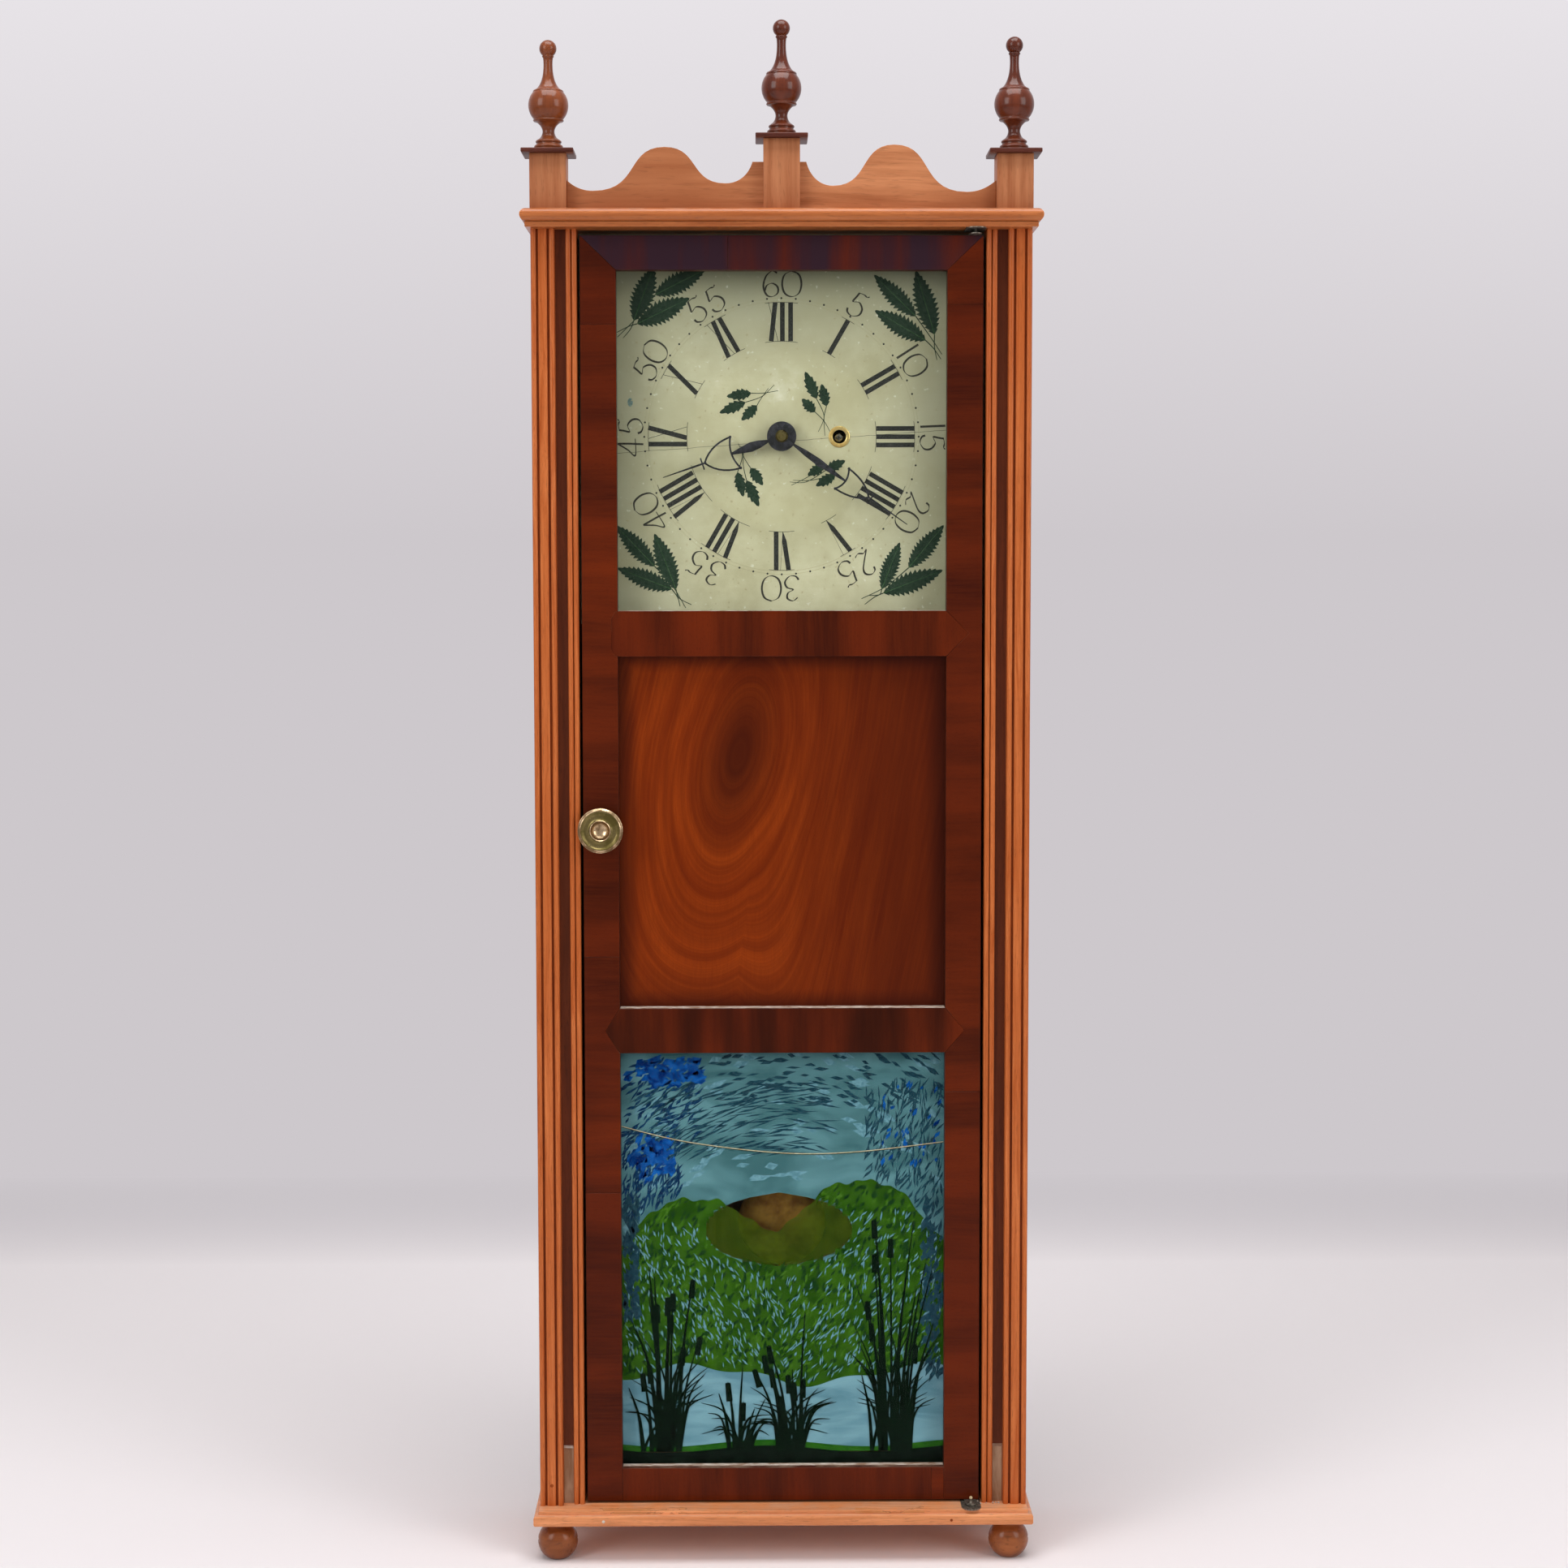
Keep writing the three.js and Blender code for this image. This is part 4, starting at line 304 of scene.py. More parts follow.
# %% Edge wear group
def make_edge_wear():
    """A mask that is 1 where an edge has been rubbed."""
    tree, given, out = new_group(
        "edge wear", [("Vector", "Vector", None), ("Radius", "Float", 0.0012)], [("Mask", "Float")]
    )
    rounded = add_node(tree, "Bevel", {"Radius": given["Radius"]}, samples=4).outputs[0]
    true = add_node(tree, "NewGeometry").outputs["Normal"]
    likeness = vector_maths(tree, "DOT_PRODUCT", rounded, true)["Value"]
    edge = steps(tree, maths(tree, "SUBTRACT", 1.0, likeness), 0.02, 0.22)
    rubbed = steps(tree, noise(tree, given["Vector"], 60.0, 4.0)["Fac"], 0.42, 0.62)
    tree.links.new(maths(tree, "MULTIPLY", edge, rubbed, clamp=True), out["Mask"])
    return tree


EDGE_WEAR = make_edge_wear()
print("edge wear group:", len(EDGE_WEAR.nodes), "nodes")

# %% Dust group
def make_dust():
    """A mask that is 1 where dust lies on tops."""
    tree, given, out = new_group("settled dust", [("Vector", "Vector", None)], [("Mask", "Float")])
    facing = add_node(tree, "SeparateXYZ", {0: add_node(tree, "NewGeometry").outputs["Normal"]})
    flat = steps(tree, facing.outputs["Z"], 0.75, 0.98)
    clumps = steps(tree, noise(tree, given["Vector"], 45.0, 6.0, Roughness=0.65)["Fac"], 0.4, 0.62)
    tree.links.new(maths(tree, "MULTIPLY", flat, clumps), out["Mask"])
    return tree


DUST = make_dust()
print("dust group:", len(DUST.nodes), "nodes")

# %% [markdown]
# Shellacked wood
# Shellac is a thin glossy coat over a coloured surface, so the shader has a base colour from the grain
# and a clear coat on top. Grain follows the length of a board, which is why the function asks for the
# axis. Cross-banded veneer on the door is the same wood with its grain turned by ninety degrees.

# %% Place along a board
def along_axis(tree, axis, sheet=False):
    """Object coordinates turned so that the grain runs along Z, shifted for each veneer sheet."""
    place = add_node(tree, "TexCoord").outputs["Object"]
    if sheet:
        number = add_node(tree, "Attribute", attribute_name="sheet").outputs["Fac"]
        shift = add_node(tree, "CombineXYZ", {"X": number, "Y": number, "Z": number})
        place = vector_maths(tree, "ADD", place, shift.outputs[0])[0]
    if axis == "Z":
        return place
    parts = add_node(tree, "SeparateXYZ", {0: place}).outputs
    return add_node(tree, "CombineXYZ", {"X": parts["Z"], "Y": parts["Y"], "Z": parts["X"]}).outputs[0]


# %% Shellacked wood
DUST_TONE = (190, 165, 140)


def shellacked(
    name,
    dark,
    light,
    axis="Z",
    across=260.0,
    along=9.0,
    rough=0.36,
    coat=0.2,
    pore_depth=0.35,
    wear=0.5,
    worn=(222, 150, 92),
    dust=0.35,
    blotch=0.45,
):
    """Streaky wood under worn shellac, darker where the finish has pooled in blotches."""
    material, tree, shader, _ = new_material(name)
    place = along_axis(tree, axis)
    grain = use_group(tree, GRAIN, {"Vector": place, "Across": across, "Along": along})
    edge = use_group(tree, EDGE_WEAR, {"Vector": place})["Mask"]
    tops = use_group(tree, DUST, {"Vector": place})["Mask"]
    colour = blend(tree, grain["Streaks"], dark, light)
    colour = tint(tree, grain["Tone"], blotch, colour, dark)
    colour = tint(tree, grain["Pores"], pore_depth, colour, [c * 0.45 for c in dark])
    colour = tint(tree, edge, wear, colour, worn)
    colour = tint(tree, tops, dust, colour, DUST_TONE)
    gloss = maths(tree, "ADD", maths(tree, "MULTIPLY", grain["Streaks"], 0.12), rough)
    relief = maths(tree, "SUBTRACT", maths(tree, "MULTIPLY", grain["Streaks"], 0.4), grain["Pores"])
    feed(tree, shader, {
        "Base Color": colour,
        "Roughness": maths(tree, "ADD", gloss, maths(tree, "MULTIPLY", tops, 0.35)),
        "Normal": bumpy(tree, relief, 0.1, 0.0004),
        "Specular IOR Level": 0.1,
        "Coat Weight": coat,
        "Coat Roughness": 0.16,
    })
    return material


moulded = {"across": 300, "along": 8, "rough": 0.28, "coat": 0.5, "wear": 0.6}
CASE_ALONG_X = shellacked("case_wood_across", (164, 86, 38), (212, 130, 74), "X", **moulded)
# The base takes a lighter copy of the case wood: a painted highlight on its moulding.
BASE_WOOD_PAINTED_HIGHLIGHT = shellacked("base_wood_painted_highlight", (196, 116, 66), (240, 160, 106), "X", **moulded)
CASE_UPRIGHT = shellacked("case_wood_upright", (146, 72, 30), (186, 100, 48))
STRIP = shellacked("reeded_strip_wood", (176, 84, 32), (218, 126, 68), across=420, along=7, wear=0.6)
lining = {"rough": 0.5, "coat": 0.05, "wear": 0}
GROOVE = shellacked("groove_wood", (120, 48, 12), (162, 76, 28), **lining)
CHANNEL = shellacked("channel_wood", (84, 38, 18), (112, 54, 28), **lining)
sawn = {"rough": 0.42, "coat": 0.1, "pore_depth": 0.2}
CREST = shellacked("crest_wood", (156, 92, 56), (216, 146, 100), "X", across=130, along=5, blotch=0.75, **sawn)
PLINTH = shellacked("plinth_wood", (164, 98, 62), (214, 146, 102), across=150, along=6, blotch=0.7, **sawn)
CAP = shellacked("cap_wood", (70, 32, 24), (104, 52, 38), "X", wear=0.8, worn=(158, 100, 72))
turning = {"across": 90, "along": 5, "rough": 0.24, "coat": 0.5, "wear": 0.15, "dust": 0.1, "pore_depth": 0.1}
FINIAL = shellacked("dark_finial_wood", (74, 28, 12), (116, 52, 26), **turning)
LIGHT_FINIAL = shellacked("light_finial_wood", (104, 48, 20), (150, 78, 38), **turning)
foot_finish = {"across": 90, "rough": 0.26, "coat": 0.4, "wear": 0.1, "dust": 0.1}
FOOT = shellacked("foot_wood", (112, 56, 24), (162, 92, 46), "X", **foot_finish)
bare = {"across": 180, "rough": 0.7, "coat": 0.0, "wear": 0.2, "dust": 0.5}
INSIDE = shellacked("inside_wood", (84, 56, 34), (118, 84, 54), **bare)
print("plain woods ready")

# %% [markdown]
# Mahogany
# The door frame is veneered across its width, so dark and light bands cross each stile. A slow noise
# gives those bands and a fine one gives the fibres. Every sheet of veneer carries its own number in an
# attribute, which shifts the figure so that no two sheets match.

# %% Cross-banded mahogany
def crossbanded(name, axis):
    """Dark red-brown veneer with soft bands along its fibres; a sheet's shade makes it darker and bluer."""
    material, tree, shader, _ = new_material(name)
    place = along_axis(tree, axis, sheet=True)
    grain = use_group(tree, GRAIN, {"Vector": place, "Across": 520.0, "Along": 22.0})
    squeezed = vector_maths(tree, "MULTIPLY", place, (34.0, 34.0, 4.0))[0]
    band = steps(tree, noise(tree, squeezed, 1.0, 4.0)["Fac"], 0.34, 0.66)
    colour = blend(tree, band, (60, 19, 6), (108, 38, 10))
    colour = tint(tree, grain["Streaks"], 0.3, colour, (122, 48, 14))
    colour = tint(tree, grain["Tone"], 0.4, colour, (62, 18, 8))
    colour = tint(tree, grain["Pores"], 0.3, colour, (40, 10, 4))
    shade = add_node(tree, "Attribute", attribute_name="shade").outputs["Fac"]
    dark = blend(tree, steps(tree, shade, 0.62, 0.84), (46, 15, 4), (54, 34, 44))
    strength = maths(tree, "MULTIPLY", shade, maths(tree, "SUBTRACT", 1.3, band), clamp=True)
    colour = blend(tree, strength, colour, dark)
    edge = use_group(tree, EDGE_WEAR, {"Vector": place, "Radius": 0.0006})["Mask"]
    feed(tree, shader, {
        "Base Color": tint(tree, edge, 0.35, colour, (156, 92, 62)),
        "Roughness": maths(tree, "ADD", maths(tree, "MULTIPLY", band, 0.1), 0.3),
        "Normal": bumpy(tree, grain["Streaks"], 0.06),
        "Specular IOR Level": 0.05,
        "Coat Weight": 0.06,
        "Coat Roughness": 0.12,
    })
    return material


STILE_VENEER = crossbanded("stile_veneer", "X")
RAIL_VENEER = crossbanded("rail_veneer", "Z")
DOOR_CORE = shellacked("door_core", (56, 22, 12), (88, 38, 22), "Z", rough=0.4, wear=0.3, worn=(120, 70, 48))
print("door veneers ready")

# %% [markdown]
# The figured panel
# The middle panel was cut where a branch met the trunk, so its growth rings close round a dark eye in long
# ovals that lean a little and run nearly straight beside it. The distance from the eye, measured with
# stretched and leaning axes, has just such ovals as its level lines. Noise that is read by this distance
# instead of by place gives soft bands and fine lines that follow them.

# %% Growth rings round the eye
EYE_X = -35.0 * MM
EYE_Z = 678.0 * MM
RING_HALF_WIDTH = 47.0 * MM  # of the oval that is one unit from the eye
RING_HALF_HEIGHT = 104.0 * MM
EYE_LEAN = 0.16
PANEL_HALF = 137.0 * MM
PANEL_MIDDLE = 612.0 * MM
DRIFT = 0.02  # metres from end to end, so half of it is taken off again


def make_figure():
    """Distance from the eye in ovals, place along them, and a darkness at the eye."""
    outputs = [("Ring", "Float"), ("Along", "Float"), ("Eye", "Float")]
    tree, given, out = new_group("veneer figure", [("Vector", "Vector", None)], outputs)

    def distance(x, z, x_weight=1.0, z_weight=1.0):
        """Length of two shares, each square with its own weight."""
        squares = [
            maths(tree, "MULTIPLY", maths(tree, "MULTIPLY", share, share), weight)
            for share, weight in ((x, x_weight), (z, z_weight))
        ]
        return maths(tree, "SQRT", maths(tree, "ADD", *squares))

    wander = noise(tree, given["Vector"], 6.0, 1.0)["Color"]
    drift = vector_maths(tree, "MULTIPLY", wander, (DRIFT, 0.0, DRIFT))[0]
    moved = vector_maths(tree, "ADD", given["Vector"], drift)[0]
    parts = add_node(tree, "SeparateXYZ", {0: moved}).outputs
    high = maths(tree, "SUBTRACT", parts["Z"], EYE_Z + DRIFT / 2)
    lean = maths(tree, "MULTIPLY", high, EYE_LEAN)
    wide = maths(tree, "SUBTRACT", maths(tree, "SUBTRACT", parts["X"], EYE_X + DRIFT / 2), lean)
    x_share = maths(tree, "DIVIDE", wide, RING_HALF_WIDTH)
    z_share = maths(tree, "DIVIDE", high, RING_HALF_HEIGHT)
    straight = maths(tree, "MULTIPLY", steps(tree, x_share, 0.6, 2.8), 0.85)
    z_kept = maths(tree, "MULTIPLY", z_share, maths(tree, "SUBTRACT", 1.0, straight))
    tree.links.new(distance(x_share, z_kept), out["Ring"])
    tree.links.new(z_share, out["Along"])
    tree.links.new(steps(tree, distance(x_share, z_share, 1.2, 1.1), 1.0, 0.15), out["Eye"])
    return tree


FIGURE = make_figure()
print("figure group:", len(FIGURE.nodes), "nodes")

# %% Panel veneer
def figured_panel():
    """Orange-brown mahogany with soft rings round the eye, darker on the right, and darker at its rim as painted
    shade.
    """
    material, tree, shader, _ = new_material("panel_veneer")
    place = add_node(tree, "TexCoord").outputs["Object"]
    figure = use_group(tree, FIGURE, {"Vector": place})
    parts = add_node(tree, "SeparateXYZ", {0: place}).outputs
    grain = use_group(tree, GRAIN, {"Vector": place, "Across": 600.0, "Along": 50.0})

    def ring_noise(per_ring, along, detail, low, high):
        """Noise read by the rings and not by place, stretched between two levels."""
        x = maths(tree, "MULTIPLY", figure["Ring"], per_ring)
        y = maths(tree, "MULTIPLY", figure["Along"], along)
        read = add_node(tree, "CombineXYZ", {"X": x, "Y": y}).outputs[0]
        return steps(tree, noise(tree, read, 1.0, detail)["Fac"], low, high)

    lines = ring_noise(70.0, 1.4, 4.0, 0.36, 0.72)
    colour = blend(tree, ring_noise(3.2, 0.9, 2.0, 0.3, 0.7), (122, 42, 6), (154, 62, 12))
    for mask, share, over in (
        (ring_noise(9.0, 1.0, 4.0, 0.28, 0.74), 0.5, (88, 26, 4)),
        (ring_noise(15.0, 0.8, 3.0, 0.42, 0.78), 0.4, (176, 76, 18)),
        (lines, 0.32, (92, 28, 4)),
        (grain["Streaks"], 0.25, (92, 26, 4)),
        (figure["Eye"], 0.85, (62, 18, 4)),
    ):
        colour = tint(tree, mask, share, colour, over)
    dim_right = maths(tree, "MULTIPLY", steps(tree, parts["X"], -0.02, 0.095), 0.72)
    dim_low = maths(tree, "MULTIPLY", steps(tree, parts["Z"], 0.505, 0.468), 0.4)
    colour = blend(tree, maths(tree, "MAXIMUM", dim_right, dim_low), colour, (72, 22, 6))
    # Painted shade along the panel's rim, where it sits behind the door frame.
    rim_x = steps(tree, maths(tree, "ABSOLUTE", parts["X"]), PANEL_HALF - 0.018, PANEL_HALF)
    off_middle = maths(tree, "ABSOLUTE", maths(tree, "SUBTRACT", parts["Z"], PANEL_MIDDLE))
    rim = maths(tree, "MAXIMUM", rim_x, steps(tree, off_middle, 0.132, 0.148))
    colour = tint(tree, rim, 0.7, colour, (46, 14, 8))
    feed(tree, shader, {
        "Base Color": tint(tree, grain["Pores"], 0.2, colour, (56, 18, 6)),
        "Roughness": 0.34,
        "Normal": bumpy(tree, lines, 0.04),
        "Specular IOR Level": 0.05,
        "Coat Weight": 0.06,
        "Coat Roughness": 0.14,
    })
    return material


PANEL = figured_panel()
print("figured panel ready")

# %% [markdown]
# Metals and glass
# Old brass is not one colour: it darkens in hollows and stays bright where it is touched, so a slow noise
# mixes a tarnished and a bare colour and raises the roughness with the tarnish. The panes are clear glass
# that lets light through for shadows, because the dial behind has to be lit as it is in the room.

# %% Metals
def old_metal(name, bare, tarnished, amount=0.5, rough=0.3, scale=90.0, metallic=1.0, dents=0.1):
    """Metal with patches of tarnish and rubbed edges."""
    material, tree, shader, _ = new_material(name)
    place = add_node(tree, "TexCoord").outputs["Object"]
    cloud = noise(tree, place, scale, 6.0, Roughness=0.62)["Fac"]
    patch = steps(tree, cloud, 0.62 - amount * 0.5, 0.82 - amount * 0.5)
    edge = use_group(tree, EDGE_WEAR, {"Vector": place, "Radius": 0.0006})["Mask"]
    clear = maths(tree, "SUBTRACT", patch, maths(tree, "MULTIPLY", edge, 0.6), clamp=True)
    feed(tree, shader, {
        "Base Color": blend(tree, clear, bare, tarnished),
        "Roughness": maths(tree, "ADD", maths(tree, "MULTIPLY", clear, 0.28), rough),
        "Normal": bumpy(tree, cloud, dents),
        "Metallic": metallic,
    })
    return material


KNOB_BRASS = old_metal("knob_brass", (132, 118, 76), (92, 82, 44), 0.45, 0.2, scale=70, dents=0.02)
# A lighter brass for the knob's cup and rim ring: painted highlight.
KNOB_HIGHLIGHT_BRASS = old_metal("knob_brass_painted_highlight", (204, 178, 142), (126, 104, 74), 0.5, 0.18, scale=120, dents=0.02)
BOB_BRASS = old_metal("bob_brass", (236, 176, 66), (176, 116, 36), 0.4, 0.3, scale=40, metallic=0.5)
BRIGHT_BRASS = old_metal("bright_brass", (222, 196, 130), (182, 150, 88), 0.4, 0.24)
# Tarnished brass darkened further as painted shade, for the plates inside the dark case.
TARNISHED_SHADED_BRASS = old_metal("brass_tarnish_and_painted_shade", (84, 68, 44), (42, 34, 24), 0.5, 0.55)
HOLE_SHADE = old_metal("dark_hole", (30, 28, 24), (18, 16, 14), 0.5, 0.7, metallic=0.2)
BLUED_IRON = old_metal("blued_iron", (42, 42, 50), (18, 18, 20), 0.5, 0.42, scale=260, metallic=0.5)
GREY_METAL = old_metal("grey_metal", (168, 162, 148), (84, 80, 72), 0.5, 0.4, scale=300)
CAST_IRON = old_metal("cast_iron", (70, 66, 62), (40, 34, 30), 0.5, 0.6, scale=160, metallic=0.6)
print("metals ready")


# %% Glass
def pane(name):
    """Clear old glass that lets lamps through."""
    material, tree, shader, output = new_material(name)
    feed(tree, shader, {
        "Base Color": srgb(246, 250, 246),
        "Transmission Weight": 1.0,
        "Roughness": 0.0,
        "IOR": 1.1,
    })
    clear = add_node(tree, "BsdfTransparent").outputs[0]
    shadow_ray = add_node(tree, "LightPath").outputs["Is Shadow Ray"]
    mix = add_node(tree, "MixShader", {0: shadow_ray, 1: shader.outputs[0], 2: clear})
    tree.links.new(mix.outputs[0], output.inputs["Surface"])
    return material


PANE = pane("window_glass")
print("glass ready")

# %% [markdown]
# Paint on the dial and on the tablet
# The dial is a wooden board with pale grey-green paint that has yellowed and kept faint marks of its horizontal
# grain; it is darker along its top and left edges, painted shade of the door frame, and darker towards the
# right.
# Ink and leaf paint are plain dark colours with a thin, uneven coat, so a fine noise makes them a little patchy.

# %% Dial paint
PAINT_CENTRE = (0.0, -0.0185, 0.94)  # middle of the dial, in metres


def dial_paint():
    """Aged pale paint with a lighter repainted middle, stains, painted shade along its top and left, a darker
    right side and faint grain.
    """
    material, tree, shader, _ = new_material("dial_paint")
    grain = use_group(tree, GRAIN, {"Vector": along_axis(tree, "X"), "Across": 700.0, "Along": 8.0})
    place = add_node(tree, "TexCoord").outputs["Object"]
    parts = add_node(tree, "SeparateXYZ", {0: place}).outputs
    stains = noise(tree, place, 15.0, 8.0, Roughness=0.62)["Fac"]
    specks = noise(tree, place, 260.0, 3.0)["Fac"]
    reach = vector_maths(tree, "DISTANCE", place, PAINT_CENTRE)["Value"]
    patch_edge = maths(tree, "ADD", reach, maths(tree, "MULTIPLY", stains, 0.03))
    smudges = maths(tree, "MULTIPLY", steps(tree, reach, 0.075, 0.03), steps(tree, stains, 0.54, 0.68))
    # Painted shade of the door frame darkens the top and left edges; a third ramp darkens the right side.
    top_shade = maths(tree, "MULTIPLY", steps(tree, parts["Z"], 0.985, 1.075), 0.8)
    left = maths(tree, "MULTIPLY", steps(tree, maths(tree, "MULTIPLY", parts["X"], -1.0), 0.05, 0.14), 0.6)
    right = maths(tree, "MULTIPLY", steps(tree, parts["X"], 0.05, 0.12), 0.45)
    shade = maths(tree, "MAXIMUM", maths(tree, "MAXIMUM", top_shade, left), right)
    # The darkening, painted shade at the top and left, is made patchy by the stains.
    uneven = maths(tree, "MULTIPLY", shade, maths(tree, "ADD", stains, 0.35), clamp=True)
    colour = blend(tree, steps(tree, stains, 0.36, 0.68), (158, 153, 122), (186, 182, 154))
    for mask, share, over in (
        (steps(tree, patch_edge, 0.092, 0.084), 0.2, (186, 180, 144)),
        (grain["Streaks"], 0.16, (158, 154, 122)),
        (smudges, 0.6, (216, 216, 204)),
        (uneven, 1.0, (118, 118, 96)),
        (steps(tree, specks, 0.66, 0.74), 0.6, (138, 126, 90)),
        (steps(tree, specks, 0.33, 0.27), 0.35, (214, 214, 200)),
    ):
        colour = tint(tree, mask, share, colour, over)
    feed(tree, shader, {
        "Base Color": colour,
        "Roughness": 0.55,
        "Normal": bumpy(tree, grain["Streaks"], 0.06),
        "Specular IOR Level": 0.25,
    })
    return material


DIAL_PAINT = dial_paint()
print("dial paint ready")


# %% Brushed paint and ink
def brushed(name, first, second, scale=240.0, stretch=(1.0, 1.0, 1.0), rough=0.5, gap=None, gloss=0.15):
    """Hand-brushed paint in two tones; gap is a noise level under which the paint is missing."""
    material, tree, shader, _ = new_material(name)
    place = add_node(tree, "TexCoord").outputs["Object"]
    pulled = vector_maths(tree, "MULTIPLY", place, stretch)[0]
    strokes = noise(tree, pulled, scale, 5.0, Distortion=0.6)["Fac"]
    feed(tree, shader, {
        "Base Color": blend(tree, steps(tree, strokes, 0.36, 0.64), first, second),
        "Roughness": rough,
        "Specular IOR Level": gloss,
    })
    if gap is not None:
        feed(tree, shader, {"Alpha": steps(tree, strokes, gap, gap + 0.04)})
    return material


INK = brushed("dial_ink", (26, 26, 26), (50, 50, 46), 900)
PEN_INK = brushed("pen_ink", (34, 33, 30), (56, 53, 46), 700)
FAINT_INK = brushed("faint_ink", (128, 120, 88), (150, 142, 108), 700)
LEAF_PAINT = brushed("leaf_paint", (20, 38, 26), (38, 54, 40), 420)
RIB_PAINT = brushed("leaf_rib_paint", (40, 78, 36), (70, 96, 62), 420)
DUSTY_SILL = brushed("dusty_sill", (214, 202, 190), (150, 118, 96), 260, (0.4, 1.0, 1.0), 0.85)
WORN_TOP = brushed("worn_moulding", (228, 168, 116), (196, 124, 72), 90, (0.3, 1.0, 1.0), 0.6, gap=0.5)
BARE_WOOD = brushed("bare_wood", (158, 120, 90), (188, 158, 130), 160, (1.0, 1.0, 0.25), 0.85)
print("paints ready")

# %% [markdown]
# Base and cornice mouldings
# Both boards carry a moulding on their front and both ends. A joiner runs the profile along three sides
# and mitres the corners, and the mesh does the same: each point of the profile becomes a three-sided
# path, set in from the edge by the profile's depth.

# %% Run a moulding round three sides
def moulding(node, name, profile, wood):
    """Skin a (inset, height) profile, in mm, round the front and ends of a packed board."""
    low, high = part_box(node)
    bm = bmesh.new()
    rings = []
    for inset, height in profile:
        x, y, z = high.x - inset * MM, low.y + inset * MM, low.z + height * MM
        rings.append([Vector((-x, high.y, z)), Vector((-x, y, z)), Vector((x, y, z)), Vector((x, high.y, z))])
    add_rings(bm, rings)
    return new_piece(name, bm, wood, "case", sharp=40, replaces=[node])


BASE_BEAD = 9.5
BEAD_ROUND = 2.6
PLUG_ROOM = 0.03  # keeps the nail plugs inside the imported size
FILLET = 4.0
base_low, base_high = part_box("base_board")
base_height = (base_high.z - base_low.z) / MM
base_profile = [
    (BEAD_ROUND + PLUG_ROOM, 0.0),
    *arc(BEAD_ROUND + PLUG_ROOM, BEAD_ROUND, BEAD_ROUND, 270, 180, 7),
    *arc(BEAD_ROUND + PLUG_ROOM, BASE_BEAD - BEAD_ROUND, BEAD_ROUND, 180, 92, 7),
    (FILLET - 0.4, BASE_BEAD - 0.5),
    (FILLET, BASE_BEAD - 0.1),
    (FILLET, base_height - 0.6),
    (FILLET + 0.2, base_height - 0.2),
    (FILLET + 0.6, base_height),
]
moulding("base_board", "moulded_base", base_profile, BASE_WOOD_PAINTED_HIGHLIGHT)

cornice_low, cornice_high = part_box("cornice_board")
cornice_height = (cornice_high.z - cornice_low.z) / MM
CORNICE_FILLET = 4.2
bead = (cornice_height - CORNICE_FILLET) / 2
cornice_profile = [
    (FILLET + 0.4, 0.0),
    (FILLET, 0.4),
    (FILLET, CORNICE_FILLET - 0.3),
    (FILLET + 0.8, CORNICE_FILLET),
    *arc(bead, CORNICE_FILLET + bead, bead, 258, 90, 18),
]
moulding("cornice_board", "moulded_cornice", cornice_profile, CASE_ALONG_X)
print("mouldings:", len(base_profile), "and", len(cornice_profile), "profile points")

# %% [markdown]
# Reeded strips
# The strips beside the door were run with a scratch stock: half-round reeds with sharp grooves between
# them. The section is drawn once for the right side and mirrored for the left. Old finish gathers in the
# grooves, so the narrow faces at their bottom get a darker wood.

# %% Sections of the front strips
stile_low, stile_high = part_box("front_stile_right")
pilaster_low, pilaster_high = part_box("outer_pilaster_right")
inlay_low, inlay_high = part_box("channel_inlay_right")
STILE_X = stile_low.x / MM
CASE_X = stile_high.x / MM
STILE_FRONT = stile_low.y / MM
STILE_BACK = stile_high.y / MM
PILASTER_X = pilaster_low.x / MM
PILASTER_FRONT = pilaster_low.y / MM
PILASTER_BACK = pilaster_high.y / MM
CHANNEL_X = inlay_low.x / MM
CHANNEL_FLOOR = inlay_high.y / MM


def reed(x0, x1, front, depth, turns=9):
    """A half-round reed between two x places, as high as its depth."""
    middle, half = (x0 + x1) / 2, (x1 - x0) / 2
    points = []
    for i in range(turns + 1):
        angle = math.pi * (1 - i / turns)
        points.append((middle + half * math.cos(angle), front + depth * (1 - math.sin(angle) ** 0.6)))
    return points


REED_GAP = 0.5
reed_width = (CHANNEL_X - STILE_X - REED_GAP) / 2
stile_section = [
    (STILE_X, STILE_BACK),
    *reed(STILE_X, STILE_X + reed_width, STILE_FRONT, 2.4),
    *reed(STILE_X + reed_width + REED_GAP, CHANNEL_X, STILE_FRONT, 2.4),
    (CHANNEL_X, CHANNEL_FLOOR),
    (PILASTER_X, CHANNEL_FLOOR),
    (PILASTER_X, PILASTER_BACK),
    (CASE_X, PILASTER_BACK),
    (CASE_X, STILE_BACK),
]
PILASTER_WIDTH = CASE_X - PILASTER_X
EDGE_REED = PILASTER_WIDTH * 0.23
GROOVE_WIDTH = PILASTER_WIDTH * 0.09
flat_start = PILASTER_X + EDGE_REED + GROOVE_WIDTH
flat_end = CASE_X - EDGE_REED - GROOVE_WIDTH
pilaster_section = [
    (PILASTER_X, PILASTER_BACK),
    *reed(PILASTER_X, PILASTER_X + EDGE_REED, PILASTER_FRONT, 2.4),
    (flat_start - 0.5, PILASTER_FRONT + 2.4),
    (flat_start, PILASTER_FRONT + 0.9),
    (flat_start + 0.7, PILASTER_FRONT + 0.35),
    (flat_end - 0.7, PILASTER_FRONT + 0.35),
    (flat_end, PILASTER_FRONT + 0.9),
    (flat_end + 0.5, PILASTER_FRONT + 2.4),
    *reed(CASE_X - EDGE_REED, CASE_X, PILASTER_FRONT, 2.4),
    (CASE_X, PILASTER_BACK),
]
print("strip sections:", len(stile_section), "and", len(pilaster_section), "points")


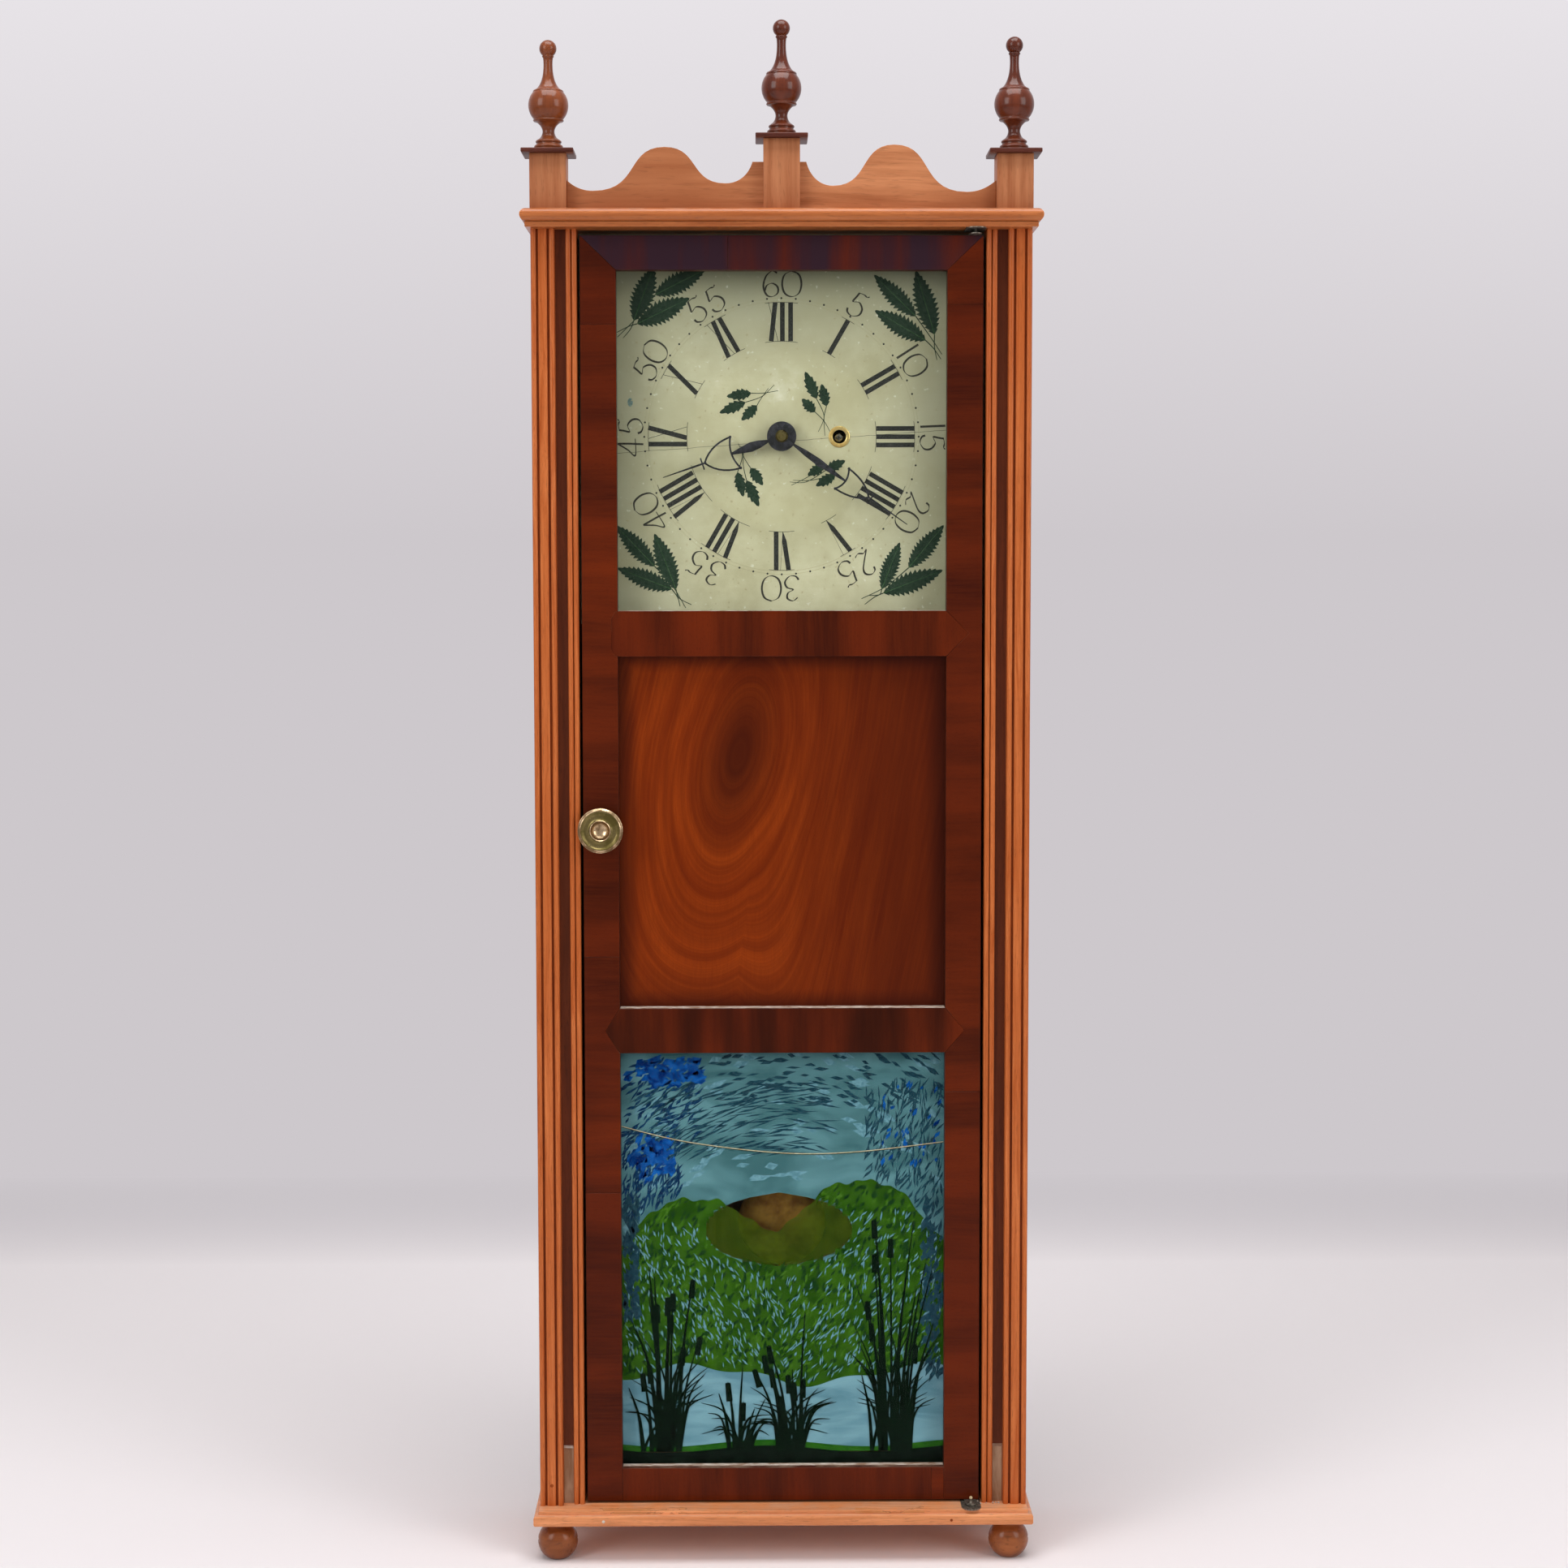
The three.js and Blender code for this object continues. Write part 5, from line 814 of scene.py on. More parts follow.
# %% Run the strips
def run_strip(name, section, node, side, groove_level):
    """Run one strip and give its groove bottoms the darker wood."""
    low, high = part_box(node)
    bm = bmesh.new()
    add_run(bm, [(side * x, y) for x, y in section], low.z, high.z)
    piece = new_piece(name, bm, STRIP, "case", sharp=28, replaces=[node])
    piece.data.materials.append(GROOVE)
    for face in piece.data.polygons:
        if face.center.y > groove_level * MM and abs(face.normal.z) < 0.5 and face.normal.y < -0.1:
            face.material_index = 1
    return piece


for side, label in ((-1, "left"), (1, "right")):
    for kind, node, section, front in (
        ("stile", "front_stile", stile_section, STILE_FRONT),
        ("pilaster", "outer_pilaster", pilaster_section, PILASTER_FRONT),
    ):
        run_strip(f"reeded_{kind}_{label}", section, f"{node}_{label}", side, front + 1.3)
    give_finish(CHANNEL, f"channel_inlay_{label}")
    give_finish(CASE_UPRIGHT, f"case_side_{label}")
give_finish(INSIDE, "case_back")
print("strips run")

# %% [markdown]
# Bare channels and nail plugs
# Near the base the dark lining of both channels is gone and chalky wood shows, with a chipped edge above
# it. Filled nail holes sit on the base moulding and on the left strip. They are small shapes that sit in
# the surface, so they are modelled as thin plates and discs.

# %% Channel ends and plugs
def channel_plates(name, gap, levels, thickness, material):
    """A thin plate in each channel; the levels are those of its four corners, in mm."""
    bm = bmesh.new()
    for side in (-1, 1):
        x0, x1 = sorted((side * CHANNEL_X, side * PILASTER_X))
        places = (x0 + gap, x1 - gap, x1 - gap, x0 + gap)
        add_plate(bm, list(zip(places, levels)), CHANNEL_FLOOR - thickness, CHANNEL_FLOOR)
    new_piece(name, bm, material, "case")


base_top = base_high.z / MM
lining_end = inlay_low.z / MM
bare_levels = (base_top, base_top, lining_end - 2.6, lining_end - 2.2)
ragged_levels = (lining_end - 2.4, lining_end - 2.8, lining_end - 0.1, lining_end - 0.3)
channel_plates("bare_channel_ends", 0.4, bare_levels, 0.25, BARE_WOOD)
channel_plates("channel_chips", 0.3, ragged_levels, 0.9, DUSTY_SILL)


def plug(name, x, y, z, radius, material):
    """A filled nail hole that faces the front."""
    bm = bmesh.new()
    add_turned(bm, [(0, 0.05), (radius, 0.05), (radius, -0.01), (0, -0.02)], Vector((x, y, z)) * MM, "Y", 16)
    return new_piece(name, bm, material, "case")


front = base_low.y / MM + PLUG_ROOM
plug_level = base_low.z / MM + BASE_BEAD / 2
plug("nail_plug_left", -150.5, front, plug_level, 1.3, DUSTY_SILL)
plug("nail_plug_right", 140.5, front, plug_level, 1.2, GROOVE)
plug("strip_nail_hole", -194.6, PILASTER_FRONT + 0.35, 62.0, 1.5, GROOVE)

WORN_PATCHES = ((-166, -30), (60, 118))
fillet_y = base_low.y / MM + FILLET - 0.06
bm = bmesh.new()
for x0, x1 in WORN_PATCHES:
    for (y0, z0), (y1, z1) in (
        ((fillet_y, base_top - 2.6), (fillet_y, base_top - 0.5)),
        ((fillet_y + 0.7, base_top + 0.05), (fillet_y + 9, base_top + 0.05)),
    ):
        corners = ((x0, y0, z0), (x1, y0, z0), (x1, y1, z1), (x0, y1, z1))
        bm.faces.new([bm.verts.new(Vector(corner) * MM) for corner in corners])
new_piece("worn_base_top", bm, WORN_TOP, "case")

random.seed(31)
bm = bmesh.new()
for _ in range(16):
    size = random.uniform(0.4, 1.1)
    x, y = random.uniform(162, 182), random.uniform(PILASTER_FRONT + 1, CHANNEL_FLOOR - 1)
    place = Matrix.Translation(Vector((x, y, base_top + size * 0.5)) * MM)
    crumb = bmesh.ops.create_icosphere(bm, subdivisions=1, radius=size * MM, matrix=place)
    for vertex in crumb["verts"]:
        vertex.co += Vector([random.uniform(-0.25, 0.25) * size * MM for _ in range(3)])
        vertex.co.z = max(vertex.co.z, (base_top + 0.02) * MM)
new_piece("plaster_crumbs", bm, DUSTY_SILL, "case")
print("channel ends and plugs placed")

# %% [markdown]
# Crest board, plinths and caps
# The crest was sawn to a wavy line and its edge left slightly soft. Drawing the wave with the same few
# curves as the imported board, but with more points, keeps its place and gives a smooth edge.

# %% Crest board
crest_low, crest_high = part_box("crest_board")
CREST_TOP = cornice_high.z / MM
CREST_REACH = crest_high.x / MM
CREST_HEIGHT = (crest_high.z - crest_low.z) / MM
CREST_SHOULDER = 39.3
CREST_END = 24.5
LEFT_TURNS = (0.136, (0.262, 0.414), (0.545, 0.964), (0.878, 0.301))
RIGHT_TURNS = (0.115, (0.24, 0.378), (0.525, 1.0), (0.863, 0.286))


def bezier(start, first, second, end, count=14):
    """Points of a cubic curve, without its start."""
    corners = (start, first, second, end)
    points = []
    for i in range(1, count + 1):
        t = i / count
        weights = ((1 - t) ** 3, 3 * t * (1 - t) ** 2, 3 * t * t * (1 - t), t**3)
        points.append(tuple(sum(w * p[k] for w, p in zip(weights, corners)) for k in (0, 1)))
    return points


def crest_edge(turns, side):
    """The wavy edge of one half, from the middle outwards, through its valleys and hump."""
    shoulder = turns[0]
    inner, hump, outer = [(share, level * CREST_HEIGHT) for share, level in turns[1:]]
    rise, fall, last = hump[0] - inner[0], outer[0] - hump[0], 1 - outer[0]
    waves = [
        ((shoulder + 0.014, (CREST_SHOULDER + inner[1]) / 2), (shoulder + 0.054, inner[1]), inner),
        ((inner[0] + 0.6 * rise, inner[1]), (hump[0] - 0.58 * rise, hump[1]), hump),
        ((hump[0] + 0.55 * fall, hump[1]), (outer[0] - 0.66 * fall, outer[1]), outer),
        ((outer[0] + 0.5 * last, outer[1]), (1 - 0.2 * last, CREST_END * 0.84), (1.0, CREST_END)),
    ]
    line = [(shoulder, CREST_SHOULDER)]
    for wave in waves:
        line += bezier(line[-1], *wave)
    return [(side * share * CREST_REACH, CREST_TOP + z) for share, z in line]


def on_rim(edge):
    """True for a sharp edge that stays at one depth."""
    return abs(edge.calc_face_angle(0)) > 1.2 and abs(edge.verts[0].co.y - edge.verts[1].co.y) < 1e-6


right_edge = crest_edge(RIGHT_TURNS, 1)
left_edge = crest_edge(LEFT_TURNS, -1)[::-1]
crest_outline = [(-CREST_REACH, CREST_TOP), *left_edge, *right_edge, (CREST_REACH, CREST_TOP)]
bm = bmesh.new()
add_plate(bm, crest_outline, crest_low.y / MM, crest_high.y / MM)
bmesh.ops.remove_doubles(bm, verts=bm.verts, dist=1e-6)
round_off(bm, [e for e in bm.edges if on_rim(e)], 0.8)
new_piece("sawn_crest", bm, CREST, "case", replaces=["crest_board"])
print("crest outline points:", len(crest_outline))

# %% Plinths and caps
for label in ("left", "centre", "right"):
    eased_copy(f"plinth_{label}", f"plinth_block_{label}", 0.6, PLINTH, "case")
    eased_copy(f"plinth_cap_{label}", f"cap_slab_{label}", 0.7, CAP, "case")
print("plinths and caps eased")

# %% [markdown]
# Turned finials and feet
# A turner works from a profile: a foot, a thin neck, a ring, the ball, another ring, a long taper and a
# small ball on top. The mesh is that profile turned in 64 steps, with the ball and the tip as true arcs.

# %% Finials
BALL_RADIUS = 16.3
TIP_RADIUS = 7.0


def finial_profile(height):
    """(radius, height) pairs in mm, from the cap up."""
    ball, tip = 0.412 * height, height - TIP_RADIUS
    return [
        (0, 0),
        (10.8, 0),
        (11.5, 0.7),
        *arc(10.2, 0.036 * height, 1.6, -50, 60, 6),
        (9.9, 0.058 * height),
        *arc(9.4, 0.082 * height, 1.2, -70, 70, 5),
        *bezier((9.4, 0.1 * height), (7.4, 0.108 * height), (5.4, 0.13 * height), (4.9, 0.17 * height), 8),
        *bezier((4.9, 0.17 * height), (4.7, 0.2 * height), (6.2, 0.232 * height), (10.0, 0.262 * height), 8),
        (12.0, 0.266 * height),
        (12.5, 0.274 * height),
        (12.2, 0.283 * height),
        *arc(0, ball, BALL_RADIUS, -43, 43, 20),
        (12.3, 0.527 * height),
        (12.5, 0.535 * height),
        (12.1, 0.544 * height),
        *bezier((10.6, 0.549 * height), (7.6, 0.575 * height), (5.4, 0.62 * height), (4.3, 0.69 * height), 10),
        *bezier((4.3, 0.69 * height), (3.6, 0.74 * height), (3.5, 0.79 * height), (4.0, 0.838 * height), 6),
        (4.7, 0.846 * height),
        (4.8, 0.854 * height),
        (4.4, 0.861 * height),
        *arc(0, tip, TIP_RADIUS, -54, 88, 16),
        (0, height),
    ]


for label, wood in (("left", LIGHT_FINIAL), ("centre", FINIAL), ("right", FINIAL)):
    low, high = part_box(f"finial_{label}")
    centre = Vector(((low.x + high.x) / 2, (low.y + high.y) / 2, low.z))
    bm = bmesh.new()
    add_turned(bm, finial_profile((high.z - low.z) / MM), centre)
    new_piece(f"turned_finial_{label}", bm, wood, "case", sharp=45, replaces=[f"finial_{label}"])
print("finials turned")

# %% Feet
FOOT_RADIUS = 16.8
FOOT_CUT = 60


def foot_profile(height):
    """A cut-off ball with a scribed line and a short neck, in mm from the floor up."""
    middle = FOOT_RADIUS * math.sin(math.radians(FOOT_CUT))
    ball = arc(0, middle, FOOT_RADIUS, -FOOT_CUT, 48, 22)
    scribed = [(r - 0.35 if abs(z - middle - 0.9) < 0.7 else r, z) for r, z in ball]
    return [(0, 0), *scribed, (10.5, height - 3.2), (10.5, height), (0, height)]


for row in ("front", "back"):
    for label in ("left", "right"):
        node = f"ball_foot_{row}_{label}"
        low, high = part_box(node)
        centre = Vector(((low.x + high.x) / 2, (low.y + high.y) / 2, low.z))
        bm = bmesh.new()
        add_turned(bm, foot_profile((high.z - low.z) / MM), centre)
        new_piece(f"turned_{node}", bm, FOOT, "case", sharp=40, replaces=[node])
print("feet turned")

# %% [markdown]
# The veneered door
# The door frame is pine with mahogany veneer on its face. The veneer of the rails runs into the stiles
# with pointed or rounded ends, and long stiles are pieced from several sheets. Each sheet is a thin plate
# of its own, a quarter of a millimetre from its neighbour, and the dark core shows in the seams.

# %% Door core
door_low, door_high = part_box("door_stile_left")
DOOR_X = -door_low.x / MM
DOOR_FACE = door_low.y / MM
DOOR_BOTTOM = door_low.z / MM
DOOR_TOP = door_high.z / MM
VENEER = 0.7
rail_boxes = {key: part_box(f"door_rail_{key}") for key in ("top", "upper", "lower", "bottom")}
REBATE = 4.0
OPENING_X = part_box("dial_glass")[1].x / MM - REBATE
DIAL_TOP = rail_boxes["top"][0].z / MM
DIAL_BOTTOM = rail_boxes["upper"][1].z / MM
PANEL_TOP = rail_boxes["upper"][0].z / MM
PANEL_BOTTOM = rail_boxes["lower"][1].z / MM
TABLET_TOP = rail_boxes["lower"][0].z / MM
TABLET_BOTTOM = rail_boxes["bottom"][1].z / MM

for node in ("door_stile_left", "door_stile_right", *(f"door_rail_{key}" for key in rail_boxes)):
    bm = bmesh.new()
    bm.from_mesh(nodes[node].data)
    for vertex in bm.verts:
        if vertex.co.y < (DOOR_FACE + 0.01) * MM:
            vertex.co.y = (DOOR_FACE + VENEER) * MM
    new_piece(f"core_{node}", bm, DOOR_CORE, "door", replaces=[node])
openings = {
    "dial": DIAL_TOP - DIAL_BOTTOM,
    "panel": PANEL_TOP - PANEL_BOTTOM,
    "tablet": TABLET_TOP - TABLET_BOTTOM,
}
print("door openings:", {key: round(height) for key, height in openings.items()})


# %% Veneer sheets
def veneer_sheet(name, outline, material, number, shade=0.0):
    """One sheet of veneer from an (x, z) outline in mm, with its own figure number and shade."""
    bm = bmesh.new()
    add_plate(bm, outline, DOOR_FACE, DOOR_FACE + VENEER)
    edges = [e for e in bm.edges if all(v.co.y < (DOOR_FACE + 0.01) * MM for v in e.verts)]
    bmesh.ops.bevel(bm, geom=edges, offset=0.22 * MM, segments=1, affect="EDGES", clamp_overlap=True)
    piece = new_piece(name, bm, material, "door", sharp=20)
    for label, value in (("sheet", number), ("shade", shade)):
        layer = piece.data.attributes.new(label, "FLOAT", "POINT")
        layer.data.foreach_set("value", [value] * len(piece.data.vertices))
    return piece


SEAM = 0.12
UPPER_LEFT_REACH = 5.5
UPPER_RIGHT_REACH = 19.0
LOWER_LEFT_REACH = 12.5
LOWER_RIGHT_REACH = 16.5
upper_middle = (DIAL_BOTTOM + PANEL_TOP) / 2
lower_middle = (PANEL_BOTTOM + TABLET_TOP) / 2
TOP_SEAM_X = -44.0
BOTTOM_SEAM_X = 125.0
LEFT_SEAMS = (1030.0, 509.0, 310.0)
RIGHT_SEAMS = (1046.0, 395.0)

rounded_left = [
    (-OPENING_X, DIAL_BOTTOM),
    (-OPENING_X - 2.5, DIAL_BOTTOM - 1.0),
    (-OPENING_X - UPPER_LEFT_REACH, DIAL_BOTTOM - 6.5),
    (-OPENING_X - UPPER_LEFT_REACH, PANEL_TOP + 6.5),
    (-OPENING_X - 2.5, PANEL_TOP + 1.0),
    (-OPENING_X, PANEL_TOP),
]
pointed_left = [
    (-OPENING_X, PANEL_BOTTOM),
    (-OPENING_X - LOWER_LEFT_REACH, lower_middle),
    (-OPENING_X, TABLET_TOP),
]
upper_point = [(OPENING_X, PANEL_TOP), (OPENING_X + UPPER_RIGHT_REACH, upper_middle), (OPENING_X, DIAL_BOTTOM)]
lower_point = [(OPENING_X, TABLET_TOP), (OPENING_X + LOWER_RIGHT_REACH, lower_middle), (OPENING_X, PANEL_BOTTOM)]


def shrink(outline, amount=SEAM):
    """Draw an outline in by a hair so that a seam shows between two sheets."""
    count = len(outline)
    centre_x = sum(x for x, _ in outline) / count
    centre_z = sum(z for _, z in outline) / count
    area = sum(a[0] * b[1] - b[0] * a[1] for a, b in zip(outline, outline[1:] + outline[:1]))
    turn = 1 if area > 0 else -1
    moved = []
    for i, (x, z) in enumerate(outline):
        (ax, az), (bx, bz) = outline[i - 1], outline[(i + 1) % count]
        first = Vector((az - z, x - ax)).normalized() * turn
        second = Vector((z - bz, bx - x)).normalized() * turn
        middle = (first + second) / max(0.4, 1 + first.dot(second))
        moved.append((x + middle.x * amount, z + middle.y * amount))
    return moved


veneer_sheet("veneer_rail_upper", shrink([*rounded_left, *upper_point]), RAIL_VENEER, 3.1, 0.1)
veneer_sheet("veneer_rail_lower", shrink([*pointed_left, *lower_point]), RAIL_VENEER, 7.7, 0.6)
print("rail veneers laid")

# %% Stile and corner sheets
mitre_left = [(-DOOR_X, DOOR_TOP), (-OPENING_X, DIAL_TOP)]
top_left = [*mitre_left, (TOP_SEAM_X, DIAL_TOP), (TOP_SEAM_X, DOOR_TOP)]
top_right = [(TOP_SEAM_X, DOOR_TOP), (TOP_SEAM_X, DIAL_TOP), (OPENING_X, DIAL_TOP), (DOOR_X, DOOR_TOP)]
veneer_sheet("veneer_top_left", shrink(top_left), RAIL_VENEER, 11.3, 1.0)
veneer_sheet("veneer_top_right", shrink(top_right), RAIL_VENEER, 14.9, 0.85)
bottom_rail = [
    (-OPENING_X, DOOR_BOTTOM),
    (-OPENING_X, TABLET_BOTTOM),
    (BOTTOM_SEAM_X, TABLET_BOTTOM),
    (BOTTOM_SEAM_X, DOOR_BOTTOM),
]
veneer_sheet("veneer_bottom", shrink(bottom_rail), RAIL_VENEER, 18.2, 0.1)


def stile_sheets(side, cuts, notches, number):
    """Piece one stile from sheets between the cuts, with notches for the rails' ends."""
    levels = [DOOR_BOTTOM, *sorted(cuts), None]
    for index, (z0, z1) in enumerate(zip(levels, levels[1:])):
        outer = side * DOOR_X
        inner = side * OPENING_X
        top_outer = DOOR_TOP if z1 is None else z1
        top_inner = DIAL_TOP if z1 is None else z1
        outline = [(outer, z0), (outer, top_outer), (inner, top_inner)]
        for notch in notches:
            if z0 < notch[0][1] < top_inner:
                outline += sorted(notch, key=lambda point: -point[1])
        outline.append((inner, z0))
        label = "left" if side < 0 else "right"
        veneer_sheet(f"veneer_stile_{label}_{index}", shrink(outline), STILE_VENEER, number + index * 2.3)


stile_sheets(-1, LEFT_SEAMS, [rounded_left, pointed_left], 22.0)
stile_sheets(1, RIGHT_SEAMS, [upper_point, lower_point], 34.0)
corner = [
    (BOTTOM_SEAM_X, DOOR_BOTTOM),
    (BOTTOM_SEAM_X, TABLET_BOTTOM),
    (OPENING_X, TABLET_BOTTOM),
    (OPENING_X, DOOR_BOTTOM),
]
veneer_sheet("veneer_corner_right", shrink(corner), STILE_VENEER, 41.0)
give_finish(PANEL, "door_panel")
give_finish(PANE, "dial_glass", "tablet_glass")
print("stiles pieced")

# %% [markdown]
# Dusty sills
# Light wood and old putty show on the top of the ledges below the panel and the tablet. From the height
# of the camera they read as thin pale lines.

# %% Sills
SILL_REACH = OPENING_X - 0.3
SILL_BACK = rail_boxes["upper"][0].y / MM + 11.8
SILL_HEIGHT = 0.25
bm = bmesh.new()
for level in (PANEL_BOTTOM, TABLET_BOTTOM, DIAL_BOTTOM):
    sill_front = DOOR_FACE + (6.0 if level == TABLET_BOTTOM else 1.2)
    section = [
        (-SILL_REACH, sill_front),
        (SILL_REACH, sill_front),
        (SILL_REACH, SILL_BACK),
        (-SILL_REACH, SILL_BACK),
    ]
    add_run(bm, section, level * MM, (level + SILL_HEIGHT) * MM)
new_piece("dusty_sills", bm, DUSTY_SILL, "door")
print("sills laid")

# %% [markdown]
# Knob and hinges
# The brass knob was cast and turned: a stepped rim, a broad dark ring and a deep cup with a lip. The cup and
# a thin ring near the rim take a lighter brass as painted highlight. It turns a latch blade behind the stile,
# so the stem and blade ride with it.

# %% Knob
knob_low, knob_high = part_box("door_knob")
KNOB_RADIUS = 18.7
knob_centre = Vector((knob_high.x - KNOB_RADIUS * MM, DOOR_FACE * MM, knob_low.z + KNOB_RADIUS * MM))
knob_profile = [
    (0, -0.3),
    (9.0, -0.3),
    (9.2, -3.6),
    *[(7.4 + 3.4 * (i / 8) ** 2, -4.0 - 5.8 * i / 8) for i in range(9)],
    (KNOB_RADIUS - 1.4, -10.9),
    (KNOB_RADIUS - 0.4, -11.5),
    (KNOB_RADIUS, -12.4),
    (KNOB_RADIUS - 0.1, -13.2),
    (KNOB_RADIUS - 0.9, -13.6),
    (KNOB_RADIUS - 1.2, -14.3),
    (KNOB_RADIUS - 2.4, -14.9),
    (KNOB_RADIUS - 3.4, -14.7),
    (KNOB_RADIUS - 3.9, -13.9),
    (KNOB_RADIUS - 6.0, -13.4),
    (KNOB_RADIUS - 8.2, -13.5),
    (9.3, -14.0),
    (8.7, -14.9),
    (8.3, -15.1),
    (7.9, -14.8),
    *[(7.7 * math.cos(math.radians(a)), -14.5 + 5.4 * math.sin(math.radians(a))) for a in range(0, 90, 9)],
    (0, -9.1),
]
bm = bmesh.new()
add_turned(bm, knob_profile, knob_centre, "Y")
knob = new_piece("turned_knob", bm, KNOB_BRASS, "knob", sharp=50, replaces=["door_knob"])
knob.data.materials.append(KNOB_HIGHLIGHT_BRASS)
# The cup and a thin ring near the rim take the lighter brass: painted highlight.
for face in knob.data.polygons:
    reach = math.hypot(face.center.x - knob_centre.x, face.center.z - knob_centre.z) / MM
    if (reach < 8.6 or abs(reach - KNOB_RADIUS + 1.3) < 1.2) and face.center.y < (DOOR_FACE - 8) * MM:
        face.material_index = 1

bm = bmesh.new()
blade_back = knob_high.y / MM
stem = [(0, DOOR_FACE - 1), (4, DOOR_FACE - 1), (4, blade_back - 0.5), (0, blade_back - 0.5)]
add_turned(bm, stem, Vector((knob_centre.x, 0, knob_centre.z)), "Y", 32)
BLADE = ((-4.5, -4.5), (4.5, -4.5), (4.5, 26), (2.5, 28), (-2.5, 28), (-4.5, 26))
blade = [(knob_centre.x / MM + x, knob_centre.z / MM + z) for x, z in BLADE]
add_plate(bm, blade, blade_back - 2, blade_back)
new_piece("latch_blade", bm, GREY_METAL, "knob")

give_finish(GREY_METAL, "hinge_plate_lower", "hinge_plate_upper", "hinge_pin_upper")

CREAM_HEAD = old_metal("pin_head", (226, 212, 178), (190, 170, 130), 0.4, 0.35, metallic=0.2)
leaf_copy = eased_copy("hinge_pin_lower", "lower_hinge_leaf", 0.1, GREY_METAL, "door")
leaf_copy.data.materials.append(CREAM_HEAD)
for face in leaf_copy.data.polygons:
    if face.center.z > (DOOR_BOTTOM + 2.9) * MM:
        face.material_index = 1
print("knob radius:", KNOB_RADIUS, "mm")

# %% [markdown]
# Drawing on the dial
# Everything on the dial is drawn in its own plane, first as lines and outlines round the centre and then
# as flat polygons just in front of the paint. A stroke is a ribbon along a smooth line of points, and its
# width can follow the direction of the line, as a broad pen does.

# %% Ribbons and smooth lines
DIAL_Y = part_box("dial_board")[0].y / MM
ring_low, ring_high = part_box("winding_hole_ring")
DIAL_CENTRE = Vector((0.0, (ring_low.z + ring_high.z) / 2 / MM))
WINDING_X = (ring_low.x + ring_high.x) / 2 / MM
give_finish(DIAL_PAINT, "dial_board")


def smooth_line(points, count=7):
    """A Catmull-Rom line through the points."""
    padded = [points[0], *points, points[-1]]
    line = [Vector(points[0])]
    for a, b, c, d in zip(padded, padded[1:], padded[2:], padded[3:]):
        a, b, c, d = map(Vector, (a, b, c, d))
        for i in range(1, count + 1):
            t = i / count
            point = 2 * b + (c - a) * t
            point += (2 * a - 5 * b + 4 * c - d) * t**2
            point += (3 * b - a - 3 * c + d) * t**3
            line.append(0.5 * point)
    return line


def ribbon(line, width, end_width=None, pen=None):
    """Quads along a line; the width may taper, or follow a pen held at an angle."""
    end_width = width if end_width is None else end_width
    left, right = [], []
    for i, point in enumerate(line):
        ahead = line[min(i + 1, len(line) - 1)] - line[max(i - 1, 0)]
        if ahead.length < 1e-9:
            continue
        ahead.normalize()
        share = i / (len(line) - 1)
        here = width + (end_width - width) * share
        if pen is not None:
            here *= 0.35 + 1.1 * abs(ahead.x * math.sin(pen) - ahead.y * math.cos(pen))
        side = Vector((-ahead.y, ahead.x)) * here / 2
        left.append(point + side)
        right.append(point - side)
    return [[left[i], right[i], right[i + 1], left[i + 1]] for i in range(len(left) - 1)]


HAIR = 0.0015


def lay_flat(name, polygons, y, material, body="case"):
    """Flat polygons in the (x, z) plane, all facing the front; neighbours differ by a hair in depth."""
    bm = bmesh.new()
    for index, polygon in enumerate(polygons):
        depth = y + index % 12 * HAIR
        corners = [bm.verts.new((x * MM, depth * MM, z * MM)) for x, z in polygon]
        face = bm.faces.new(corners)
        face.normal_update()
        if face.normal.y > 0:
            face.normal_flip()
    mesh = bpy.data.meshes.new(name)
    bm.to_mesh(mesh)
    bm.free()
    mesh.materials.append(material)
    piece = bpy.data.objects.new(name, mesh)
    scene.collection.objects.link(piece)
    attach(piece, body)
    return piece


def on_dial(angle, radius, sideways=0.0):
    """A point at an angle clockwise from twelve, a radius and a step to its right, in mm."""
    out = Vector((math.sin(angle), math.cos(angle)))
    right = Vector((out.y, -out.x))
    return DIAL_CENTRE + out * radius + right * sideways


print("dial centre:", [round(v, 1) for v in DIAL_CENTRE], "winding hole at", round(WINDING_X, 1))

# %% Roman hours
HOUR_INNER = 78.7
HOUR_OUTER = 110.6
THICK = 3.9
HAIRLINE = 0.4
SERIF_REACH = 2.6
HOURS = ["XII", "I", "II", "III", "IIII", "V", "VI", "VII", "VIII", "IX", "X", "XI"]
WIDE_X = ("IX", "X")


def letter_width(letter, word):
    """Room for one letter, in mm."""
    if letter == "X":
        return 12.0 if word in WIDE_X else 8.4
    return {"I": 6.8, "V": 9.2}[letter]


def letter_strokes(letter, word):
    """(sideways at the foot, sideways at the top, width at the foot, width at the top) of each stroke."""
    if letter == "I":
        return [(0.0, 0.0, THICK, THICK)]
    if letter == "V":
        return [(2.4, -2.4, THICK, THICK), (2.6, 4.4, 0.2, 0.3)]
    if word in WIDE_X:
        return [(-4.2, 4.2, THICK, THICK), (4.8, -4.8, HAIRLINE, HAIRLINE)]
    return [(-1.7, 1.7, THICK, THICK), (4.0, -4.0, HAIRLINE, HAIRLINE)]


def serif(angle, radius, reach):
    """A hairline along the circle, on both sides of a numeral."""
    return ribbon([on_dial(angle + reach * i / 6 / radius, radius) for i in range(-6, 7)], HAIRLINE)


